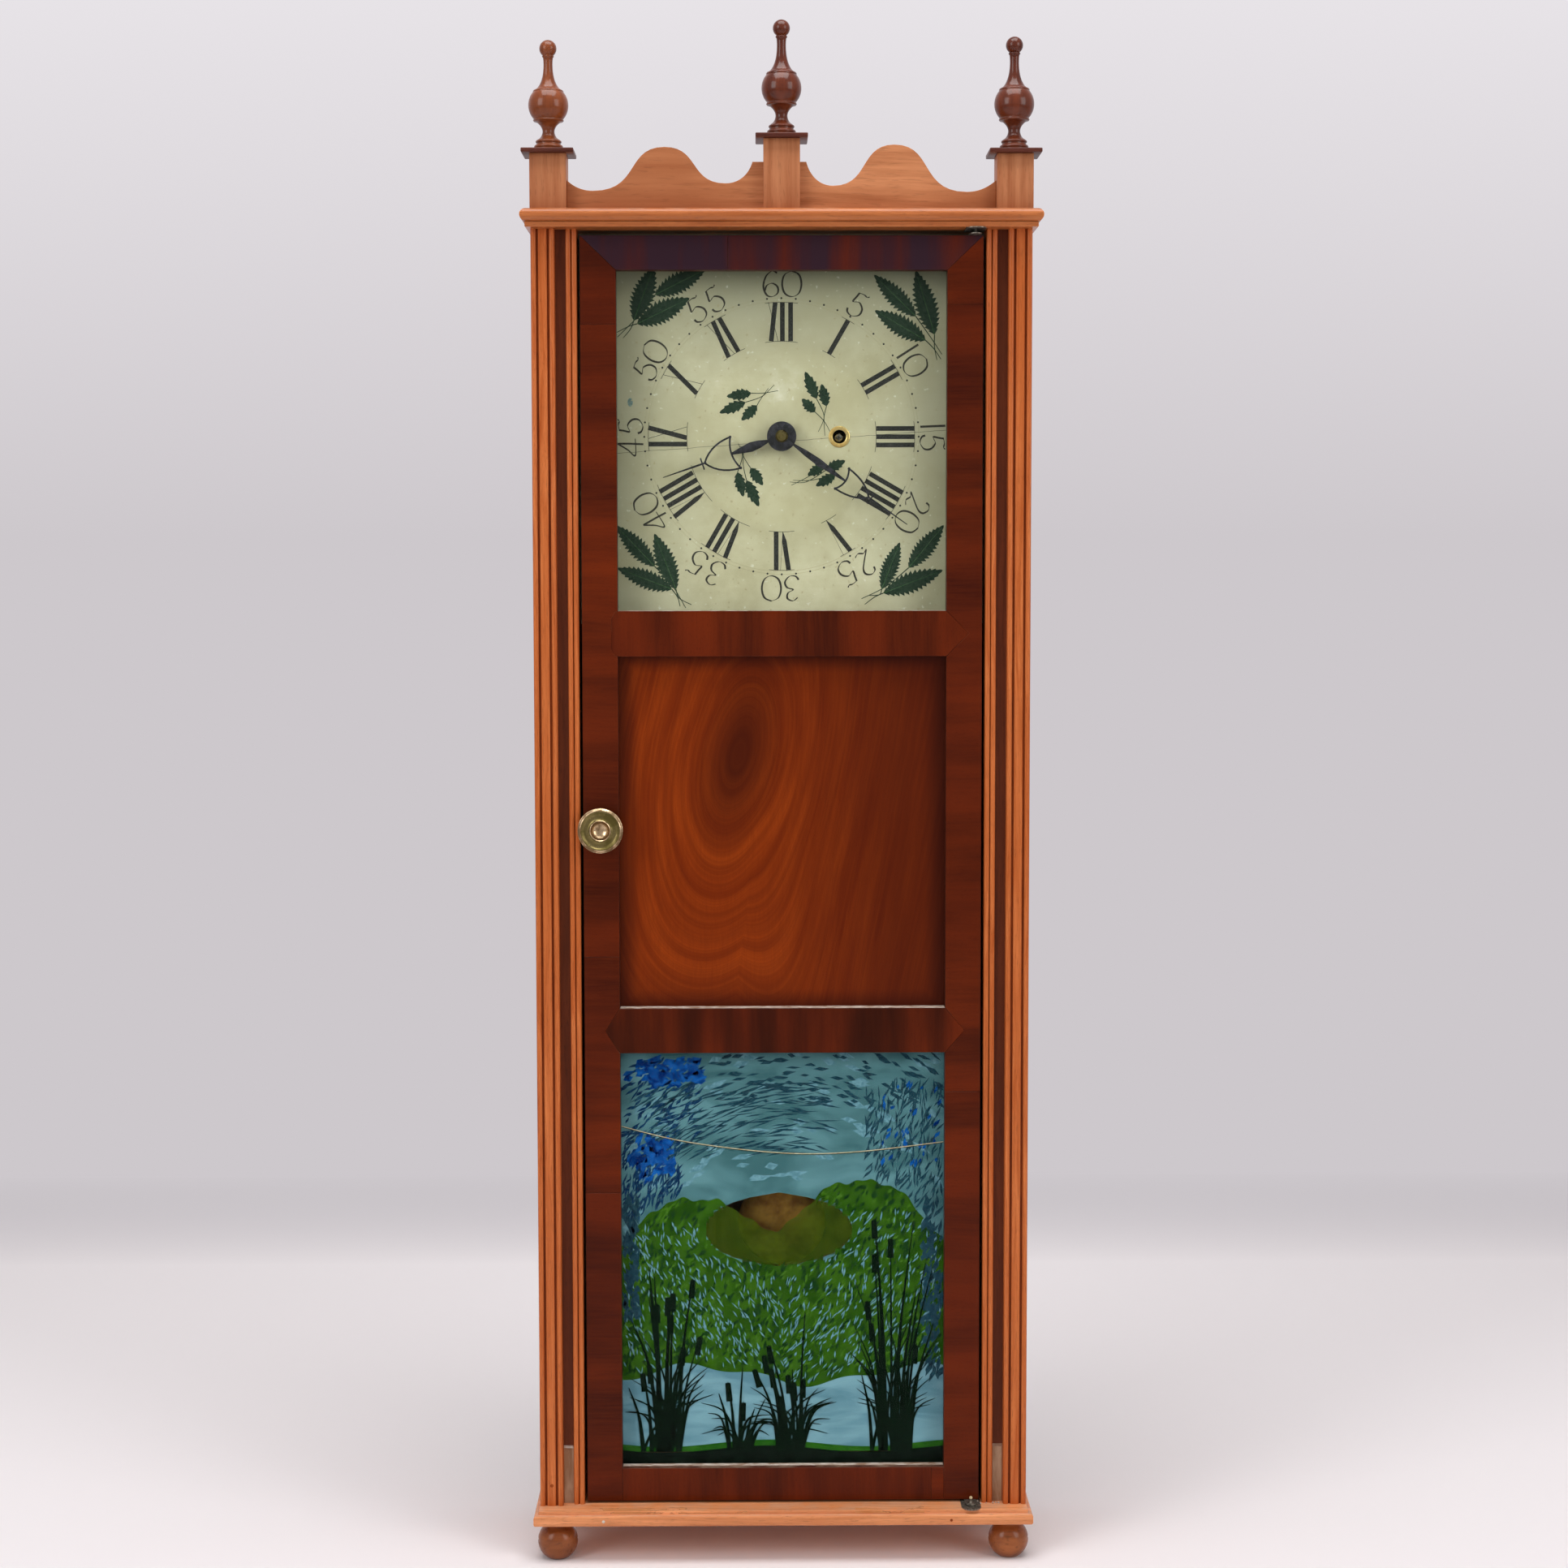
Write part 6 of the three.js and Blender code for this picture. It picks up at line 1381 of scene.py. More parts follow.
strokes = []
for hour, word in enumerate(HOURS):
    angle = hour * math.tau / 12
    width = sum(letter_width(letter, word) for letter in word)
    place = -width / 2
    for letter in word:
        middle = place + letter_width(letter, word) / 2
        place += letter_width(letter, word)
        for foot, top, foot_width, top_width in letter_strokes(letter, word):
            start = on_dial(angle, HOUR_INNER, middle + foot)
            end = on_dial(angle, HOUR_OUTER, middle + top)
            if letter == "V" and foot_width == THICK:
                cut = start.lerp(end, 0.24)
                strokes += ribbon([start, cut], 0.2, foot_width)
                start = cut
            strokes += ribbon([start, end], foot_width, top_width)
    for radius in (HOUR_INNER, HOUR_OUTER):
        strokes += serif(angle, radius, width / 2 + SERIF_REACH)
lay_flat("hour_numerals", strokes, DIAL_Y - 0.12, INK)
print("hour strokes:", len(strokes))

# %% [markdown]
# Minute figures
# Outside the hours stand the minutes in thin curling figures, each with its top towards the rim. A figure
# is one or two smooth pen lines in a box of height one, and the pen's angle makes the sides of a curve
# thicker than its ends.

# %% Minute figures
FIGURES = {
    "0": [
        [(0.0, 1.0), (-0.28, 0.86), (-0.38, 0.5), (-0.28, 0.14), (0.0, 0.0),
         (0.28, 0.14), (0.38, 0.5), (0.28, 0.86), (0.0, 1.0)],
    ],
    "1": [[(0.02, 0.0), (0.0, 0.5), (-0.02, 1.0)]],
    "2": [
        [(-0.2, 0.78), (-0.16, 0.93), (0.02, 1.0), (0.22, 0.88), (0.22, 0.68),
         (0.04, 0.42), (-0.26, 0.05), (-0.1, 0.12), (0.1, 0.03), (0.28, 0.12)],
    ],
    "3": [
        [(-0.22, 0.86), (-0.04, 0.99), (0.18, 0.9), (0.16, 0.68), (-0.04, 0.55),
         (0.2, 0.46), (0.28, 0.24), (0.1, 0.02), (-0.14, 0.02), (-0.26, 0.16)],
    ],
    "4": [[(0.14, 1.0), (-0.1, 0.6), (-0.32, 0.3), (0.34, 0.3)], [(0.14, 1.0), (0.14, 0.5), (0.12, -0.02)]],
    "5": [
        [(-0.14, 0.94), (-0.17, 0.75), (-0.2, 0.52), (0.04, 0.6), (0.26, 0.42),
         (0.26, 0.16), (0.02, 0.0), (-0.2, 0.06), (-0.27, 0.2)],
        [(-0.14, 0.93), (0.06, 0.96), (0.2, 0.93), (0.28, 0.99)],
    ],
    "6": [
        [(0.24, 0.92), (0.06, 1.0), (-0.18, 0.82), (-0.3, 0.42), (-0.18, 0.08), (0.04, 0.0),
         (0.26, 0.14), (0.26, 0.38), (0.06, 0.52), (-0.16, 0.44), (-0.24, 0.24)],
    ],
}
FIGURE_HEIGHT = 21.0
FIGURE_WIDTH = {"1": 0.44}  # shares of the height; other figures take 0.82
MINUTE_FOOT = 115.2
PEN_ANGLE = math.radians(18)

strokes = []
for step in range(12):
    angle = step * math.tau / 12
    word = str(60 if step == 0 else step * 5)
    widths = [FIGURE_WIDTH.get(figure, 0.82) * FIGURE_HEIGHT for figure in word]
    for index, figure in enumerate(word):
        middle = sum(widths[:index]) + widths[index] / 2 - sum(widths) / 2
        for points in FIGURES[figure]:
            line = [
                on_dial(angle, MINUTE_FOOT + z * FIGURE_HEIGHT, middle + x * FIGURE_HEIGHT)
                for x, z in ((p.x, p.y) for p in smooth_line([Vector(p) for p in points]))
            ]
            width = 1.3 if figure == "1" else 1.15
            strokes += ribbon(line, width, pen=PEN_ANGLE - angle)
lay_flat("minute_figures", strokes, DIAL_Y - 0.12, PEN_INK)
print("minute strokes:", len(strokes))

# %% Minute dots and scribed circles
DOT_CIRCLE = 114.0
DOT_RADIUS = 0.85


def spot(centre, half_width, half_height, sides):
    """The outline of a round or oval spot."""
    turns = [i * math.tau / sides for i in range(sides)]
    return [centre + Vector((half_width * math.cos(a), half_height * math.sin(a))) for a in turns]


centres = [on_dial(minute * math.tau / 60, DOT_CIRCLE) for minute in range(60)]
dots = [spot(centre, DOT_RADIUS, DOT_RADIUS, 8) for centre in centres]
lay_flat("minute_dots", dots, DIAL_Y - 0.12, INK)

rings = []
for radius in (HOUR_OUTER + 0.8, DOT_CIRCLE):
    line = [on_dial(i * math.tau / 120, radius) for i in range(121)]
    rings += ribbon(line, 0.18)
lay_flat("scribed_circles", rings, DIAL_Y - 0.06, FAINT_INK)
print("dots:", len(dots))

# %% [markdown]
# Leaf sprays
# Each corner of the dial holds three saw-edged leaves on crossing stems, and four small sprigs lie round
# the middle. They are traditional fillers of painted dials. A leaf is an outline between its base and its
# tip, with small teeth along both sides and a paler line down the middle.

# %% Leaves
PIXEL = 0.6787  # mm on the dial for one picture unit of the notes below
NOTE_CENTRE = Vector((968.0, 537.0))


def noted(x, z):
    """A place on the dial from a note taken in picture units."""
    return DIAL_CENTRE + Vector((x - NOTE_CENTRE.x, NOTE_CENTRE.y - z)) * PIXEL


def leaf(base, tip, half_width, teeth):
    """A saw-edged leaf as one outline, with its teeth leaning towards the tip."""
    along = tip - base
    side = Vector((-along.y, along.x)).normalized()
    edges = {1: [], -1: []}
    for hand in edges:
        for tooth in range(teeth):
            for step, reach in ((0.1, 0.78), (0.95, 1.18)):
                share = (tooth + step) / (teeth + 0.3)
                swell = half_width * math.sin(math.pi * share**0.88) ** 0.8
                edges[hand].append(base + along * share + side * hand * swell * reach)
    return [base, *edges[1], tip, *reversed(edges[-1])]


def fan(outline):
    """Split a leaf's outline into quads from side to side, so that it stays flat and simple."""
    count = len(outline)
    half = count // 2
    first, second = outline[1:half], outline[:half:-1]
    faces = [[outline[0], first[0], second[0]]]
    faces += [[first[i], first[i + 1], second[i + 1], second[i]] for i in range(len(first) - 1)]
    faces.append([first[-1], outline[half], second[-1]])
    return faces


CORNER_LEAVES = [
    ((792, 400), (856, 369), 13),
    ((814, 365), (876, 334), 12),
    ((788, 396), (813, 330), 13),
    ((1132, 391), (1081, 341), 11),
    ((1155, 413), (1132, 336), 13),
    ((1144, 420), (1082, 384), 12),
    ((812, 695), (765, 645), 11),
    ((838, 723), (812, 655), 12),
    ((833, 723), (766, 697), 11),
    ((1091, 723), (1113, 666), 10),
    ((1124, 697), (1167, 645), 11),
    ((1093, 728), (1166, 700), 12),
]
CORNER_STEMS = [
    [(792, 400), (782, 403), (766, 411)],
    [(814, 365), (792, 392), (768, 416)],
    [(788, 396), (784, 406), (775, 417)],
    [(1132, 391), (1150, 416), (1164, 437)],
    [(1155, 413), (1155, 428), (1158, 444)],
    [(1144, 420), (1154, 430), (1163, 443)],
    [(812, 695), (832, 716), (850, 746)],
    [(838, 723), (842, 734), (857, 742)],
    [(833, 723), (840, 733), (843, 744)],
    [(1124, 697), (1096, 720), (1066, 735)],
    [(1093, 728), (1082, 733), (1070, 742)],
    [(1091, 723), (1088, 730), (1076, 731)],
]
SPRIG_LEAVES = [
    ((931, 484), (901, 488), 6.5),
    ((924, 495), (892, 508), 6.5),
    ((938, 499), (919, 517), 6.5),
    ((1011, 491), (997, 458), 7),
    ((1023, 500), (1017, 473), 6.5),
    ((1009, 507), (993, 491), 6.5),
    ((914, 580), (921, 610), 6.5),
    ((925, 590), (940, 622), 7),
    ((930, 575), (945, 596), 6.5),
    ((1022, 578), (1046, 566), 6.5),
    ((1020, 572), (1000, 584), 6.5),
    ((1034, 583), (1010, 597), 6.5),
]
SPRIG_STEMS = [
    [(931, 484), (945, 484), (964, 481)],
    [(924, 495), (944, 488), (959, 474)],
    [(938, 499), (942, 492), (952, 478)],
    [(1011, 491), (1020, 512), (1013, 531)],
    [(1023, 500), (1020, 514), (1021, 536)],
    [(1009, 507), (1020, 518), (1028, 532)],
    [(914, 580), (920, 560), (915, 545)],
    [(925, 590), (921, 570), (922, 548)],
    [(930, 575), (922, 562), (918, 548)],
    [(1022, 578), (998, 592), (978, 592)],
    [(1020, 572), (1000, 586), (980, 596)],
    [(1034, 583), (1004, 590), (982, 590)],
]
leaves, ribs, stems = [], [], []
for notes, stem_notes, teeth, stem_width in (
    (CORNER_LEAVES, CORNER_STEMS, 13, 0.9),
    (SPRIG_LEAVES, SPRIG_STEMS, 5, 0.7),
):
    for base, tip, half_width in notes:
        start, end = noted(*base), noted(*tip)
        leaves += fan(leaf(start, end, half_width * PIXEL, teeth))
        if teeth > 10:
            ribs += ribbon([start, start.lerp(end, 0.9)], 0.45, 0.2)
    for line in stem_notes:
        stems += ribbon(smooth_line([noted(*p) for p in line]), stem_width, stem_width * 0.6)
lay_flat("dial_leaves", leaves, DIAL_Y - 0.12, LEAF_PAINT)
lay_flat("dial_leaf_ribs", ribs, DIAL_Y - 0.16, RIB_PAINT)
lay_flat("dial_leaf_stems", stems, DIAL_Y - 0.14, LEAF_PAINT)
print("leaf faces:", len(leaves))

# %% Crack across the dial
CRACK_START = noted(763, 557)
CRACK_END = noted(1170, 529)
random.seed(4)
crack = []
for i in range(61):
    point = CRACK_START.lerp(CRACK_END, i / 60)
    crack.append(point + Vector((0, random.uniform(-0.3, 0.3))))
lay_flat("dial_crack", ribbon(crack, 0.26), DIAL_Y - 0.1, PEN_INK)

STAIN = brushed("teal_stain", (66, 96, 100), (112, 130, 122), 500, rough=0.5, gap=0.42)
lay_flat("dial_stain", [spot(noted(783, 495), 2.2, 3.6, 12)], DIAL_Y - 0.08, STAIN)
print("crack points:", len(crack))

# %% [markdown]
# Hands and winding ring
# The hands are sawn from thin sheet, so easing their edges is enough. The ring round the winding hole is
# turned brass: a half-round rim that drops into the hole.

# %% Hands and ring
for node, body in (("minute_hand", "centre_arbor"), ("hour_hand", "hour_pipe")):
    eased_copy(node, f"sawn_{node}", 0.18, BLUED_IRON, body)

RING_BORE = 5.6
RING_RADIUS = (ring_high.x - ring_low.x) / 2 / MM
ring_back = ring_high.y / MM
ring_front = ring_low.y / MM
ring_profile = [
    (RING_BORE, ring_back),
    (RING_BORE, ring_front + 0.6),
    *[
        ((RING_BORE + RING_RADIUS) / 2 - (RING_RADIUS - RING_BORE) / 2 * math.cos(math.radians(a)),
         ring_front + 0.6 - 0.6 * math.sin(math.radians(a)))
        for a in range(15, 180, 15)
    ],
    (RING_RADIUS, DIAL_Y - 0.02),
    (RING_RADIUS - 2.6, DIAL_Y - 0.02),
    (RING_RADIUS - 2.7, ring_back),
]
bm = bmesh.new()
rows = []
for radius, y in ring_profile:
    rows.append([
        bm.verts.new((
            (WINDING_X + radius * math.cos(i * math.tau / 48)) * MM,
            y * MM,
            (DIAL_CENTRE.y + radius * math.sin(i * math.tau / 48)) * MM,
        ))
        for i in range(48)
    ])
for a, b in zip(rows, rows[1:] + rows[:1]):
    for i in range(48):
        bm.faces.new((a[i], a[(i + 1) % 48], b[(i + 1) % 48], b[i]))
ring = new_piece(
    "turned_winding_ring", bm, BRIGHT_BRASS, "case", sharp=60, replaces=["winding_hole_ring"]
)
ring.data.materials.append(HOLE_SHADE)
for face in ring.data.polygons:
    reach = math.hypot(face.center.x / MM - WINDING_X, face.center.z / MM - DIAL_CENTRE.y)
    if reach < RING_BORE + 0.1 and face.center.y > (ring_front + 0.7) * MM:
        face.material_index = 1

HALF_DIAGONAL = 3.15
SQUARE = ((1, 0), (0, 1), (-1, 0), (0, -1))
square_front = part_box("winding_drum")[0].y / MM
corners = [(WINDING_X + HALF_DIAGONAL * x, DIAL_CENTRE.y + HALF_DIAGONAL * z) for x, z in SQUARE]
bm = bmesh.new()
add_plate(bm, corners, square_front - 0.08, square_front + 1.5)
ease_edges(bm, 0.3)
new_piece("winding_square_end", bm, GREY_METAL, "drum")
print("ring radius:", round(RING_RADIUS, 2), "mm")

# %% [markdown]
# The painted glass tablet
# The lower pane is painted on its back, so the first thing painted is the nearest. This one shows reeds
# beside a lake under green hills, with an oval left clear to show the pendulum. Each colour is a flat
# sheet a hair behind the last one, and thousands of short brush dabs break up the sky and the hills. The
# dabs in the sky follow wide bows, as a hand does that paints from the wrist.

# %% Sheets of colour
tablet_low, tablet_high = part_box("tablet_glass")
GLASS_BACK = tablet_high.y / MM
TABLET_X = tablet_high.x / MM - 0.5
SHEET_TOP = tablet_high.z / MM - 0.5
SHEET_BOTTOM = tablet_low.z / MM + 0.5
OVAL_X = -3.3
OVAL_Z = 274.7
OVAL_HALF_WIDTH = 62.0
OVAL_HALF_HEIGHT = 30.0
LAKE_LEVEL = 150.0
BANK_LEVEL = 84.0
COLUMNS = 138


def behind_glass(name, first, second, scale, stretch=(1.0, 1.0, 1.0)):
    """Paint that is stuck to the back of a pane, so it has no gloss of its own."""
    return brushed(name, first, second, scale, stretch, rough=0.9, gloss=0.0)


SKY = behind_glass("sky_paint", (56, 94, 100), (86, 126, 134), 30, (0.6, 1.0, 1.2))
DEEP_BLUE = behind_glass("deep_blue_dabs", (4, 34, 92), (20, 84, 158), 160)
DARK_BLUE = behind_glass("dark_blue_dabs", (10, 32, 64), (26, 60, 92), 300)
TEAL = behind_glass("teal_strokes", (20, 46, 60), (38, 70, 84), 300)
PALE_DAB = behind_glass("pale_dabs", (74, 114, 128), (102, 142, 156), 300)
HILL = behind_glass("hill_paint", (26, 60, 8), (48, 86, 16), 60)
HILL_DARK = behind_glass("dark_hill_dabs", (12, 38, 16), (24, 56, 22), 300)
HILL_LIGHT = behind_glass("light_hill_dabs", (46, 88, 14), (64, 104, 28), 300)
LAKE = behind_glass("lake_paint", (84, 122, 138), (110, 148, 162), 40, (0.5, 1.0, 2.0))
GROUND = behind_glass("ground_paint", (4, 10, 6), (14, 24, 18), 120)
BANK = behind_glass("bank_paint", (22, 70, 14), (40, 90, 22), 120)
REED_PAINT = behind_glass("reed_paint", (2, 12, 6), (10, 24, 14), 400)


def paint_glass(name, polygons, depth, material):
    """Lay flat paint at a depth in mm behind the tablet's glass."""
    lay_flat(name, polygons, GLASS_BACK + depth, material, "door")


def sheet_round_oval(low_z, high_z, rows=48):
    """Quads that fill the tablet between two heights and leave the oval clear."""
    faces = []
    for i in range(rows):
        z0 = low_z + (high_z - low_z) * i / rows
        z1 = low_z + (high_z - low_z) * (i + 1) / rows
        reach = []
        for z in (z0, z1):
            share = 1 - ((z - OVAL_Z) / OVAL_HALF_HEIGHT) ** 2
            reach.append(OVAL_HALF_WIDTH * math.sqrt(share) if share > 0 else 0.0)
        faces.append([(-TABLET_X, z0), (OVAL_X - reach[0], z0), (OVAL_X - reach[1], z1), (-TABLET_X, z1)])
        faces.append([(OVAL_X + reach[0], z0), (TABLET_X, z0), (TABLET_X, z1), (OVAL_X + reach[1], z1)])
    return faces


sky_faces = sheet_round_oval(OVAL_Z - OVAL_HALF_HEIGHT - 20, SHEET_TOP)
paint_glass("tablet_sky", sky_faces, 0.9, SKY)
print("sky faces:", len(sky_faces))


# %% Hills, lake and bank
def ridge(x):
    """Height of the far hills, in mm above the floor."""
    left = 57 * math.exp(-abs((x + 74) / 60) ** 3)
    right = 72 * math.exp(-abs((x - 66) / 64) ** 3)
    return 244 + left + right + 1.5 * math.sin(x / 5) + math.sin(x / 2.3)


def shore(x):
    """Height of the lake's far shore."""
    return LAKE_LEVEL - 8 * math.sin(x / 31 + 0.8) - 3 * math.sin(x / 11)


def bank(x):
    """Height of the near bank."""
    return 91 + 3.0 * math.sin(x / 27 + 2.1)


def in_oval(x, z, grow=1.0):
    """True inside the clear oval."""
    return ((x - OVAL_X) / OVAL_HALF_WIDTH) ** 2 + ((z - OVAL_Z) / OVAL_HALF_HEIGHT) ** 2 < grow


def between(low, high, rows, keep=None):
    """Quads between two lines over the width of the tablet."""
    faces = []
    for i in range(COLUMNS):
        x0 = -TABLET_X + 2 * TABLET_X * i / COLUMNS
        x1 = -TABLET_X + 2 * TABLET_X * (i + 1) / COLUMNS
        for j in range(rows):
            corners = []
            for x, share in ((x0, j / rows), (x1, j / rows), (x1, (j + 1) / rows), (x0, (j + 1) / rows)):
                corners.append((x, low(x) + (high(x) - low(x)) * share))
            middle = (sum(c[0] for c in corners) / 4, sum(c[1] for c in corners) / 4)
            if keep is None or keep(*middle):
                faces.append(corners)
    return faces


outside = between(shore, ridge, rows=30, keep=lambda x, z: not in_oval(x, z))
paint_glass("tablet_hills", outside, 0.7, HILL)
paint_glass("tablet_lake", between(lambda x: BANK_LEVEL, lambda x: shore(x) + 4, rows=2), 0.8, LAKE)
paint_glass("tablet_bank", between(lambda x: BANK_LEVEL, bank, rows=1), 0.5, BANK)
paint_glass("tablet_ground", between(lambda x: SHEET_BOTTOM, lambda x: bank(x) - 5, rows=1), 0.4, GROUND)
print("hill faces:", len(outside))


# %% Brush dabs
def dabs(count, seed, area, lean, length, keep, slim=6.0, bow=None):
    """Short tapered strokes over part of the tablet, leaning one way or lying on circles round a point."""
    random.seed(seed)
    faces = []
    while len(faces) < count:
        x = random.uniform(area[0], area[1])
        z = random.uniform(area[2], area[3])
        if not keep(x, z):
            continue
        angle = lean + random.uniform(-0.5, 0.5)
        if bow is not None:
            angle = math.atan2(bow[0] - x, z - bow[1]) + random.uniform(-0.22, 0.22)
        half = random.uniform(0.4, 1.0) * length / 2
        wide = random.uniform(0.5, 1.0) * length / slim
        ahead = Vector((math.cos(angle), math.sin(angle)))
        side = Vector((-ahead.y, ahead.x))
        centre = Vector((x, z))
        faces.append([
            centre - ahead * half,
            centre - ahead * half * 0.2 + side * wide,
            centre + ahead * half,
            centre + ahead * half * 0.1 - side * wide,
        ])
    return faces


EDGE = TABLET_X - 5


def in_sky(x, z):
    """True in the sky, clear of the oval."""
    return z > ridge(x) + 4 and not in_oval(x, z, 1.3)


def on_hills(x, z):
    """True on the hills, clear of the oval."""
    return shore(x) + 4 < z < ridge(x) - 2 and not in_oval(x, z, 1.15)


def in_patch(centre_x, centre_z, half_width, half_height):
    """A test for a ragged oval patch."""
    def inside(x, z):
        dx, dz = (x - centre_x) / half_width, (z - centre_z) / half_height
        return dx * dx + dz * dz < 0.8 + 0.3 * math.sin(5 * math.atan2(dz, dx) + centre_x)

    return inside


def on_tablet(x, z):
    """True anywhere but the oval."""
    return not in_oval(x, z, 1.2)


sky_area = (-EDGE, EDGE, 270, SHEET_TOP - 6)
hill_area = (-EDGE, EDGE, 140, 315)
LOW_BOW = (8.0, 210.0)
high_patch = in_patch(-97, 409, 36, 13)
left_patch = in_patch(-109, 337, 22, 19)
layers = [
    ("pale_sky_strokes", dabs(90, 5, sky_area, 0.3, 22, in_sky, 6.0, LOW_BOW), 0.86, PALE_DAB),
    ("long_sky_strokes", dabs(190, 3, (-118, 40, 338, 400), 0.2, 30, in_sky, 26.0, LOW_BOW), 0.82, TEAL),
    ("high_sky_strokes", dabs(120, 4, (-60, EDGE, 380, 424), 0.2, 14, in_sky, 7.0, LOW_BOW), 0.83, TEAL),
    ("right_sky_strokes", dabs(260, 2, (70, EDGE, 296, 400), 1.25, 17, in_sky, 14.0), 0.81, TEAL),
    ("left_sky_strokes", dabs(230, 9, (-EDGE, -86, 284, 345), 1.2, 15, in_sky, 12.0), 0.81, DARK_BLUE),
    ("left_dark_strokes", dabs(170, 10, (-EDGE, -70, 345, 420), 0.6, 15, in_sky, 9.0), 0.84, DARK_BLUE),
    ("high_blue_dabs", dabs(90, 1, (-130, -56, 392, 423), 0.4, 14, high_patch, 4.0), 0.79, DEEP_BLUE),
    ("left_blue_dabs", dabs(90, 11, (-130, -84, 314, 358), 1.0, 14, left_patch, 4.0), 0.79, DEEP_BLUE),
    ("right_blue_dabs", dabs(36, 12, (84, EDGE, 330, 400), 1.2, 9, in_sky, 5.0), 0.78, DEEP_BLUE),
    ("dark_hill_strokes", dabs(700, 6, hill_area, 1.1, 11, on_hills), 0.6, HILL_DARK),
    ("light_hill_strokes", dabs(520, 7, hill_area, 1.0, 9, on_hills), 0.58, HILL_LIGHT),
    ("pale_right_flecks", dabs(420, 8, (0, EDGE, 140, 290), 1.15, 9, on_hills, 10.0), 0.56, PALE_DAB),
    ("pale_left_flecks", dabs(420, 13, (-EDGE, 0, 140, 280), 1.95, 9, on_hills, 10.0), 0.56, PALE_DAB),
    ("right_edge_strokes", dabs(110, 14, (118, EDGE, 150, 300), 1.3, 16, on_tablet, 6.0), 0.55, TEAL),
    ("left_edge_strokes", dabs(90, 15, (-EDGE, -122, 200, 300), 1.7, 16, on_tablet, 6.0), 0.55, TEAL),
]
for label, faces, depth, paint in layers:
    paint_glass(label, faces, depth, paint)
print("dabs:", sum(len(faces) for _, faces, _, _ in layers))

# %% Reeds and the clear oval's thin paint
random.seed(12)
CLUMPS = [(-100, 40, 20, 190), (-38, 16, 7, 80), (14, 30, 12, 130), (92, 44, 20, 215)]
reeds = []
for middle, spread, count, tallest in CLUMPS:
    for _ in range(count):
        shift = random.gauss(0, 0.5)
        height = tallest * random.uniform(0.4, 1.0) * (1 - 0.35 * min(abs(shift), 1))
        foot = Vector((middle + shift * spread * 0.5, BANK_LEVEL))
        lean = shift * 0.22 + random.uniform(-0.05, 0.05)
        tip = foot + Vector((lean * height, height))
        if abs(tip.x) > EDGE or in_oval(tip.x, tip.y, 1.15):
            continue
        bend = foot.lerp(tip, 0.55) - Vector((lean * height * 0.25, 0))
        reeds += ribbon(smooth_line([foot, bend, tip]), random.uniform(2.4, 4.6), 0.7)
        if random.random() < 0.5:
            head = tip - (tip - foot).normalized() * 17
            reeds += ribbon(smooth_line([head, head.lerp(tip, 0.5), head.lerp(tip, 0.94)], 3), 5.4, 4.4)
        for _ in range(2):
            reach = random.choice((-1, 1)) * random.uniform(14, 36)
            blade_tip = foot + Vector((reach, height * random.uniform(0.3, 0.75)))
            if abs(blade_tip.x) < EDGE and not in_oval(blade_tip.x, blade_tip.y, 1.1):
                bow = foot.lerp(blade_tip, 0.55) + Vector((-reach * 0.18, 10))
                reeds += ribbon(smooth_line([foot, bow, blade_tip]), 2.8, 0.3)
paint_glass("tablet_reeds", reeds, 0.3, REED_PAINT)

THIN_GREEN = behind_glass("thin_green_paint", (44, 64, 6), (62, 80, 10), 60)
THIN_GREEN.node_tree.nodes["Principled BSDF"].inputs["Alpha"].default_value = 0.62
thin = between(lambda x: OVAL_Z - OVAL_HALF_HEIGHT, ridge, rows=16, keep=in_oval)
paint_glass("tablet_thin_green", thin, 0.65, THIN_GREEN)
print("reed faces:", len(reeds))

# %% Crack in the tablet
# The crack is drawn as painted light: a pale painted glint along it and a painted shade line just below.
CRACK_GLINT = brushed("glass_crack_painted_glint", (150, 138, 104), (184, 180, 156), 300, rough=0.3)
CRACK_NOTES = ((-135.4, 363.5), (-80, 350), (-2, 340.5), (60, 341), (135.4, 349.5))
crack_line = smooth_line([Vector(point) for point in CRACK_NOTES])
paint_glass("tablet_crack", ribbon(crack_line, 0.75), 0.2, CRACK_GLINT)
below_crack = [point - Vector((0, 0.6)) for point in crack_line]
paint_glass("tablet_crack_shade", ribbon(below_crack, 0.5), 0.22, GROUND)
print("tablet done")

# %% [markdown]
# Pendulum, weight and works
# The bob is a lens of sheet brass. The weight is plain cast iron. The wheels behind the dial keep the
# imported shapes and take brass, steel and cord finishes.

# %% Pendulum and weight
bob_low, bob_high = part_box("pendulum_bob")
BOB_RADIUS = (bob_high.x - bob_low.x) / 2 / MM
bob_y = (bob_low.y + bob_high.y) / 2 / MM
bob_half = (bob_high.y - bob_low.y) / 2 / MM
bob_middle = bob_low.z / MM + 2 + BOB_RADIUS
turns = [math.radians(a) for a in range(0, 85, 7)]
lens = [(BOB_RADIUS * math.sin(a), -bob_half * math.cos(a)) for a in turns]
profile = [*lens, (BOB_RADIUS, -0.8), (BOB_RADIUS, 0.8), *[(r, -y) for r, y in reversed(lens)]]
bm = bmesh.new()
add_turned(bm, profile, Vector((0, bob_y, bob_middle)) * MM, "Y")
TUBE_RADIUS = 3.2
tube_low, tube_high = bob_low.z / MM, bob_high.z / MM
tube = [(0, tube_low), (TUBE_RADIUS, tube_low), (TUBE_RADIUS, tube_high), (0, tube_high)]
add_turned(bm, tube, Vector((0, bob_y * MM, 0)), "Z", 24)
new_piece("pendulum_lens", bm, BOB_BRASS, "pendulum", replaces=["pendulum_bob"])

give_finish(CAST_IRON, "weight")
give_finish(BRIGHT_BRASS, "pendulum_rod")
print("bob radius:", round(BOB_RADIUS, 1), "mm")

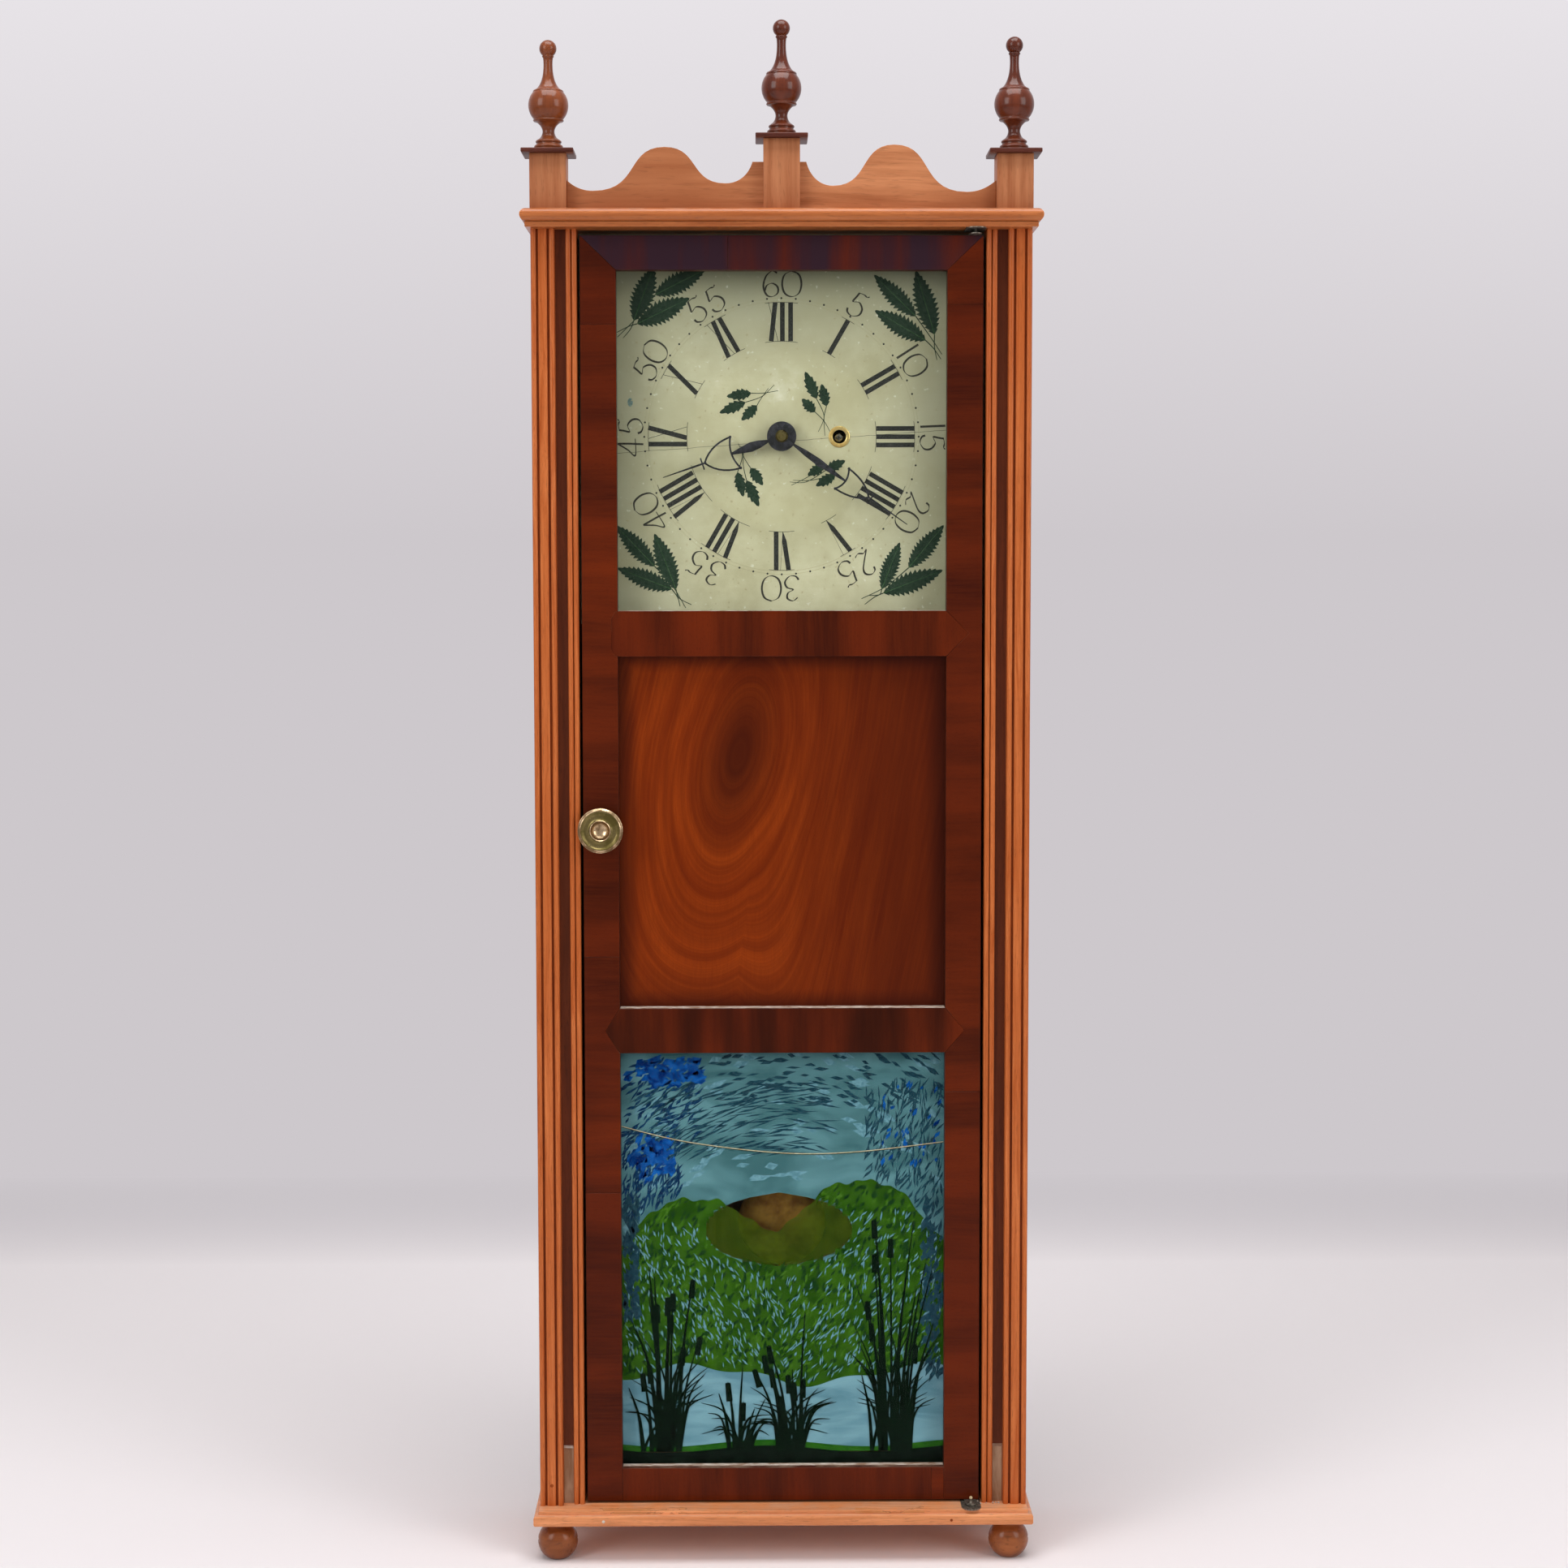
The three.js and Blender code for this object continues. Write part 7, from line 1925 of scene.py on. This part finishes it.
# %% Works
give_finish(BRIGHT_BRASS, "great_wheel", "winding_drum", "third_wheel", "escape_wheel")
give_finish(BRIGHT_BRASS, "minute_wheel", "hour_wheel", "pulley")
# The movement plates take brass darkened as painted shade, so the winding hole looks dark.
give_finish(TARNISHED_SHADED_BRASS, "movement_front_plate", "movement_back_plate")
give_finish(KNOB_BRASS, "centre_wheel")
give_finish(GREY_METAL, "verge", "pulley_bracket")
CORD = brushed("weight_cord", (150, 134, 98), (182, 168, 132), 900, (1.0, 1.0, 0.4), 0.9)
give_finish(CORD, "weight_line", "weight_line_upper")
print("works finished")

# %% [markdown]
# Floor, backdrop and light
# The clock stands on a pale floor that curves up into a pale backdrop. Large soft lamps from the left,
# the right and above give the even light of a product photograph. Near the clock the floor is plain
# paper that takes its shadow. Further back the paper shows one plain colour to the camera, metal and
# glass only, so the background is pale and no extra light falls on the clock.

# %% Floor and backdrop
FLOOR_TONE = (248, 242, 243)
WALL_LOW = (205, 200, 204)
WALL_HIGH = (232, 228, 232)
WALL_FADE_LOW = 0.9
WALL_FADE_HIGH = 2.0
FLOOR_FADE = 0.95


def seen_rays(tree):
    """1 for rays that look at the backdrop, straight or by way of metal and glass."""
    rays = add_node(tree, "LightPath").outputs
    mirrored = maths(tree, "MAXIMUM", rays["Is Glossy Ray"], rays["Is Transmission Ray"])
    return maths(tree, "MAXIMUM", rays["Is Camera Ray"], mirrored)


def backdrop_material():
    """Pale paper that takes shadows near the clock and shows its plain colour further back."""
    material, tree, shader, output = new_material("backdrop_paper")
    place = add_node(tree, "TexCoord").outputs["Object"]
    parts = add_node(tree, "SeparateXYZ", {0: place}).outputs
    wall = blend(tree, steps(tree, parts["Z"], WALL_FADE_LOW, WALL_FADE_HIGH), WALL_LOW, WALL_HIGH)
    far = steps(tree, parts["Y"], FLOOR_FADE, FLOOR_FADE + 0.5)
    paper = {"Base Color": blend(tree, far, FLOOR_TONE, wall), "Roughness": 0.9, "Specular IOR Level": 0.1}
    feed(tree, shader, paper)
    plain = add_node(tree, "Emission", {"Color": wall, "Strength": 1.0})
    share = maths(tree, "MULTIPLY", seen_rays(tree), far)
    mix = add_node(tree, "MixShader", {0: share, 1: shader.outputs[0], 2: plain.outputs[0]})
    tree.links.new(mix.outputs[0], output.inputs["Surface"])
    return material


FLOOR_HALF = 7.0
WALL_Y = 3.3
CURVE = 0.8
WALL_TOP = 5.0
bm = bmesh.new()
profile = [(-FLOOR_HALF, 0.0), *arc(WALL_Y - CURVE, CURVE, CURVE, 270, 360, 15), (WALL_Y, WALL_TOP)]
rows = [[bm.verts.new((x, y, z)) for x in (-FLOOR_HALF, FLOOR_HALF)] for y, z in profile]
for a, b in zip(rows, rows[1:]):
    bm.faces.new((a[0], a[1], b[1], b[0]))
sweep_mesh = bpy.data.meshes.new("backdrop_sweep")
bm.to_mesh(sweep_mesh)
bm.free()
sweep_mesh.polygons.foreach_set("use_smooth", [True] * len(sweep_mesh.polygons))
sweep_mesh.materials.append(backdrop_material())
sweep = bpy.data.objects.new("backdrop_sweep", sweep_mesh)
scene.collection.objects.link(sweep)
print("backdrop ready")


# %% Lamps
def soft_lamp(name, place, target, size, power):
    """A rectangular area lamp that faces the target."""
    lamp = bpy.data.objects.new(name, bpy.data.lights.new(name, "AREA"))
    lamp.data.shape = "RECTANGLE"
    lamp.data.size, lamp.data.size_y = size
    lamp.data.energy = power
    lamp.location = place
    direction = Vector(target) - Vector(place)
    lamp.rotation_euler = direction.to_track_quat("-Z", "Y").to_euler()
    scene.collection.objects.link(lamp)
    return lamp


soft_lamp("left_lamp", (-2.3, -2.2, 1.9), (0, 0, 0.7), (1.4, 2.0), 33)
soft_lamp("right_lamp", (2.4, -2.0, 1.7), (0, 0, 0.7), (1.4, 2.0), 28)
soft_lamp("top_lamp", (0.0, -0.6, 3.4), (0, 0.3, 0.6), (2.6, 1.8), 78)
world = bpy.data.worlds.new("studio")
scene.world = world
world.use_nodes = True
tree = world.node_tree
light = tree.nodes["Background"]
feed(tree, light, {"Color": (0.93, 0.92, 0.95, 1), "Strength": 0.2})
surround = add_node(tree, "Background", {"Color": srgb(208, 203, 207), "Strength": 1.0})
shown = add_node(tree, "MixShader", {0: seen_rays(tree), 1: light.outputs[0], 2: surround.outputs[0]})
tree.links.new(shown.outputs[0], tree.nodes["World Output"].inputs["Surface"])
scene.view_settings.view_transform = "Standard"
print("lamps ready")
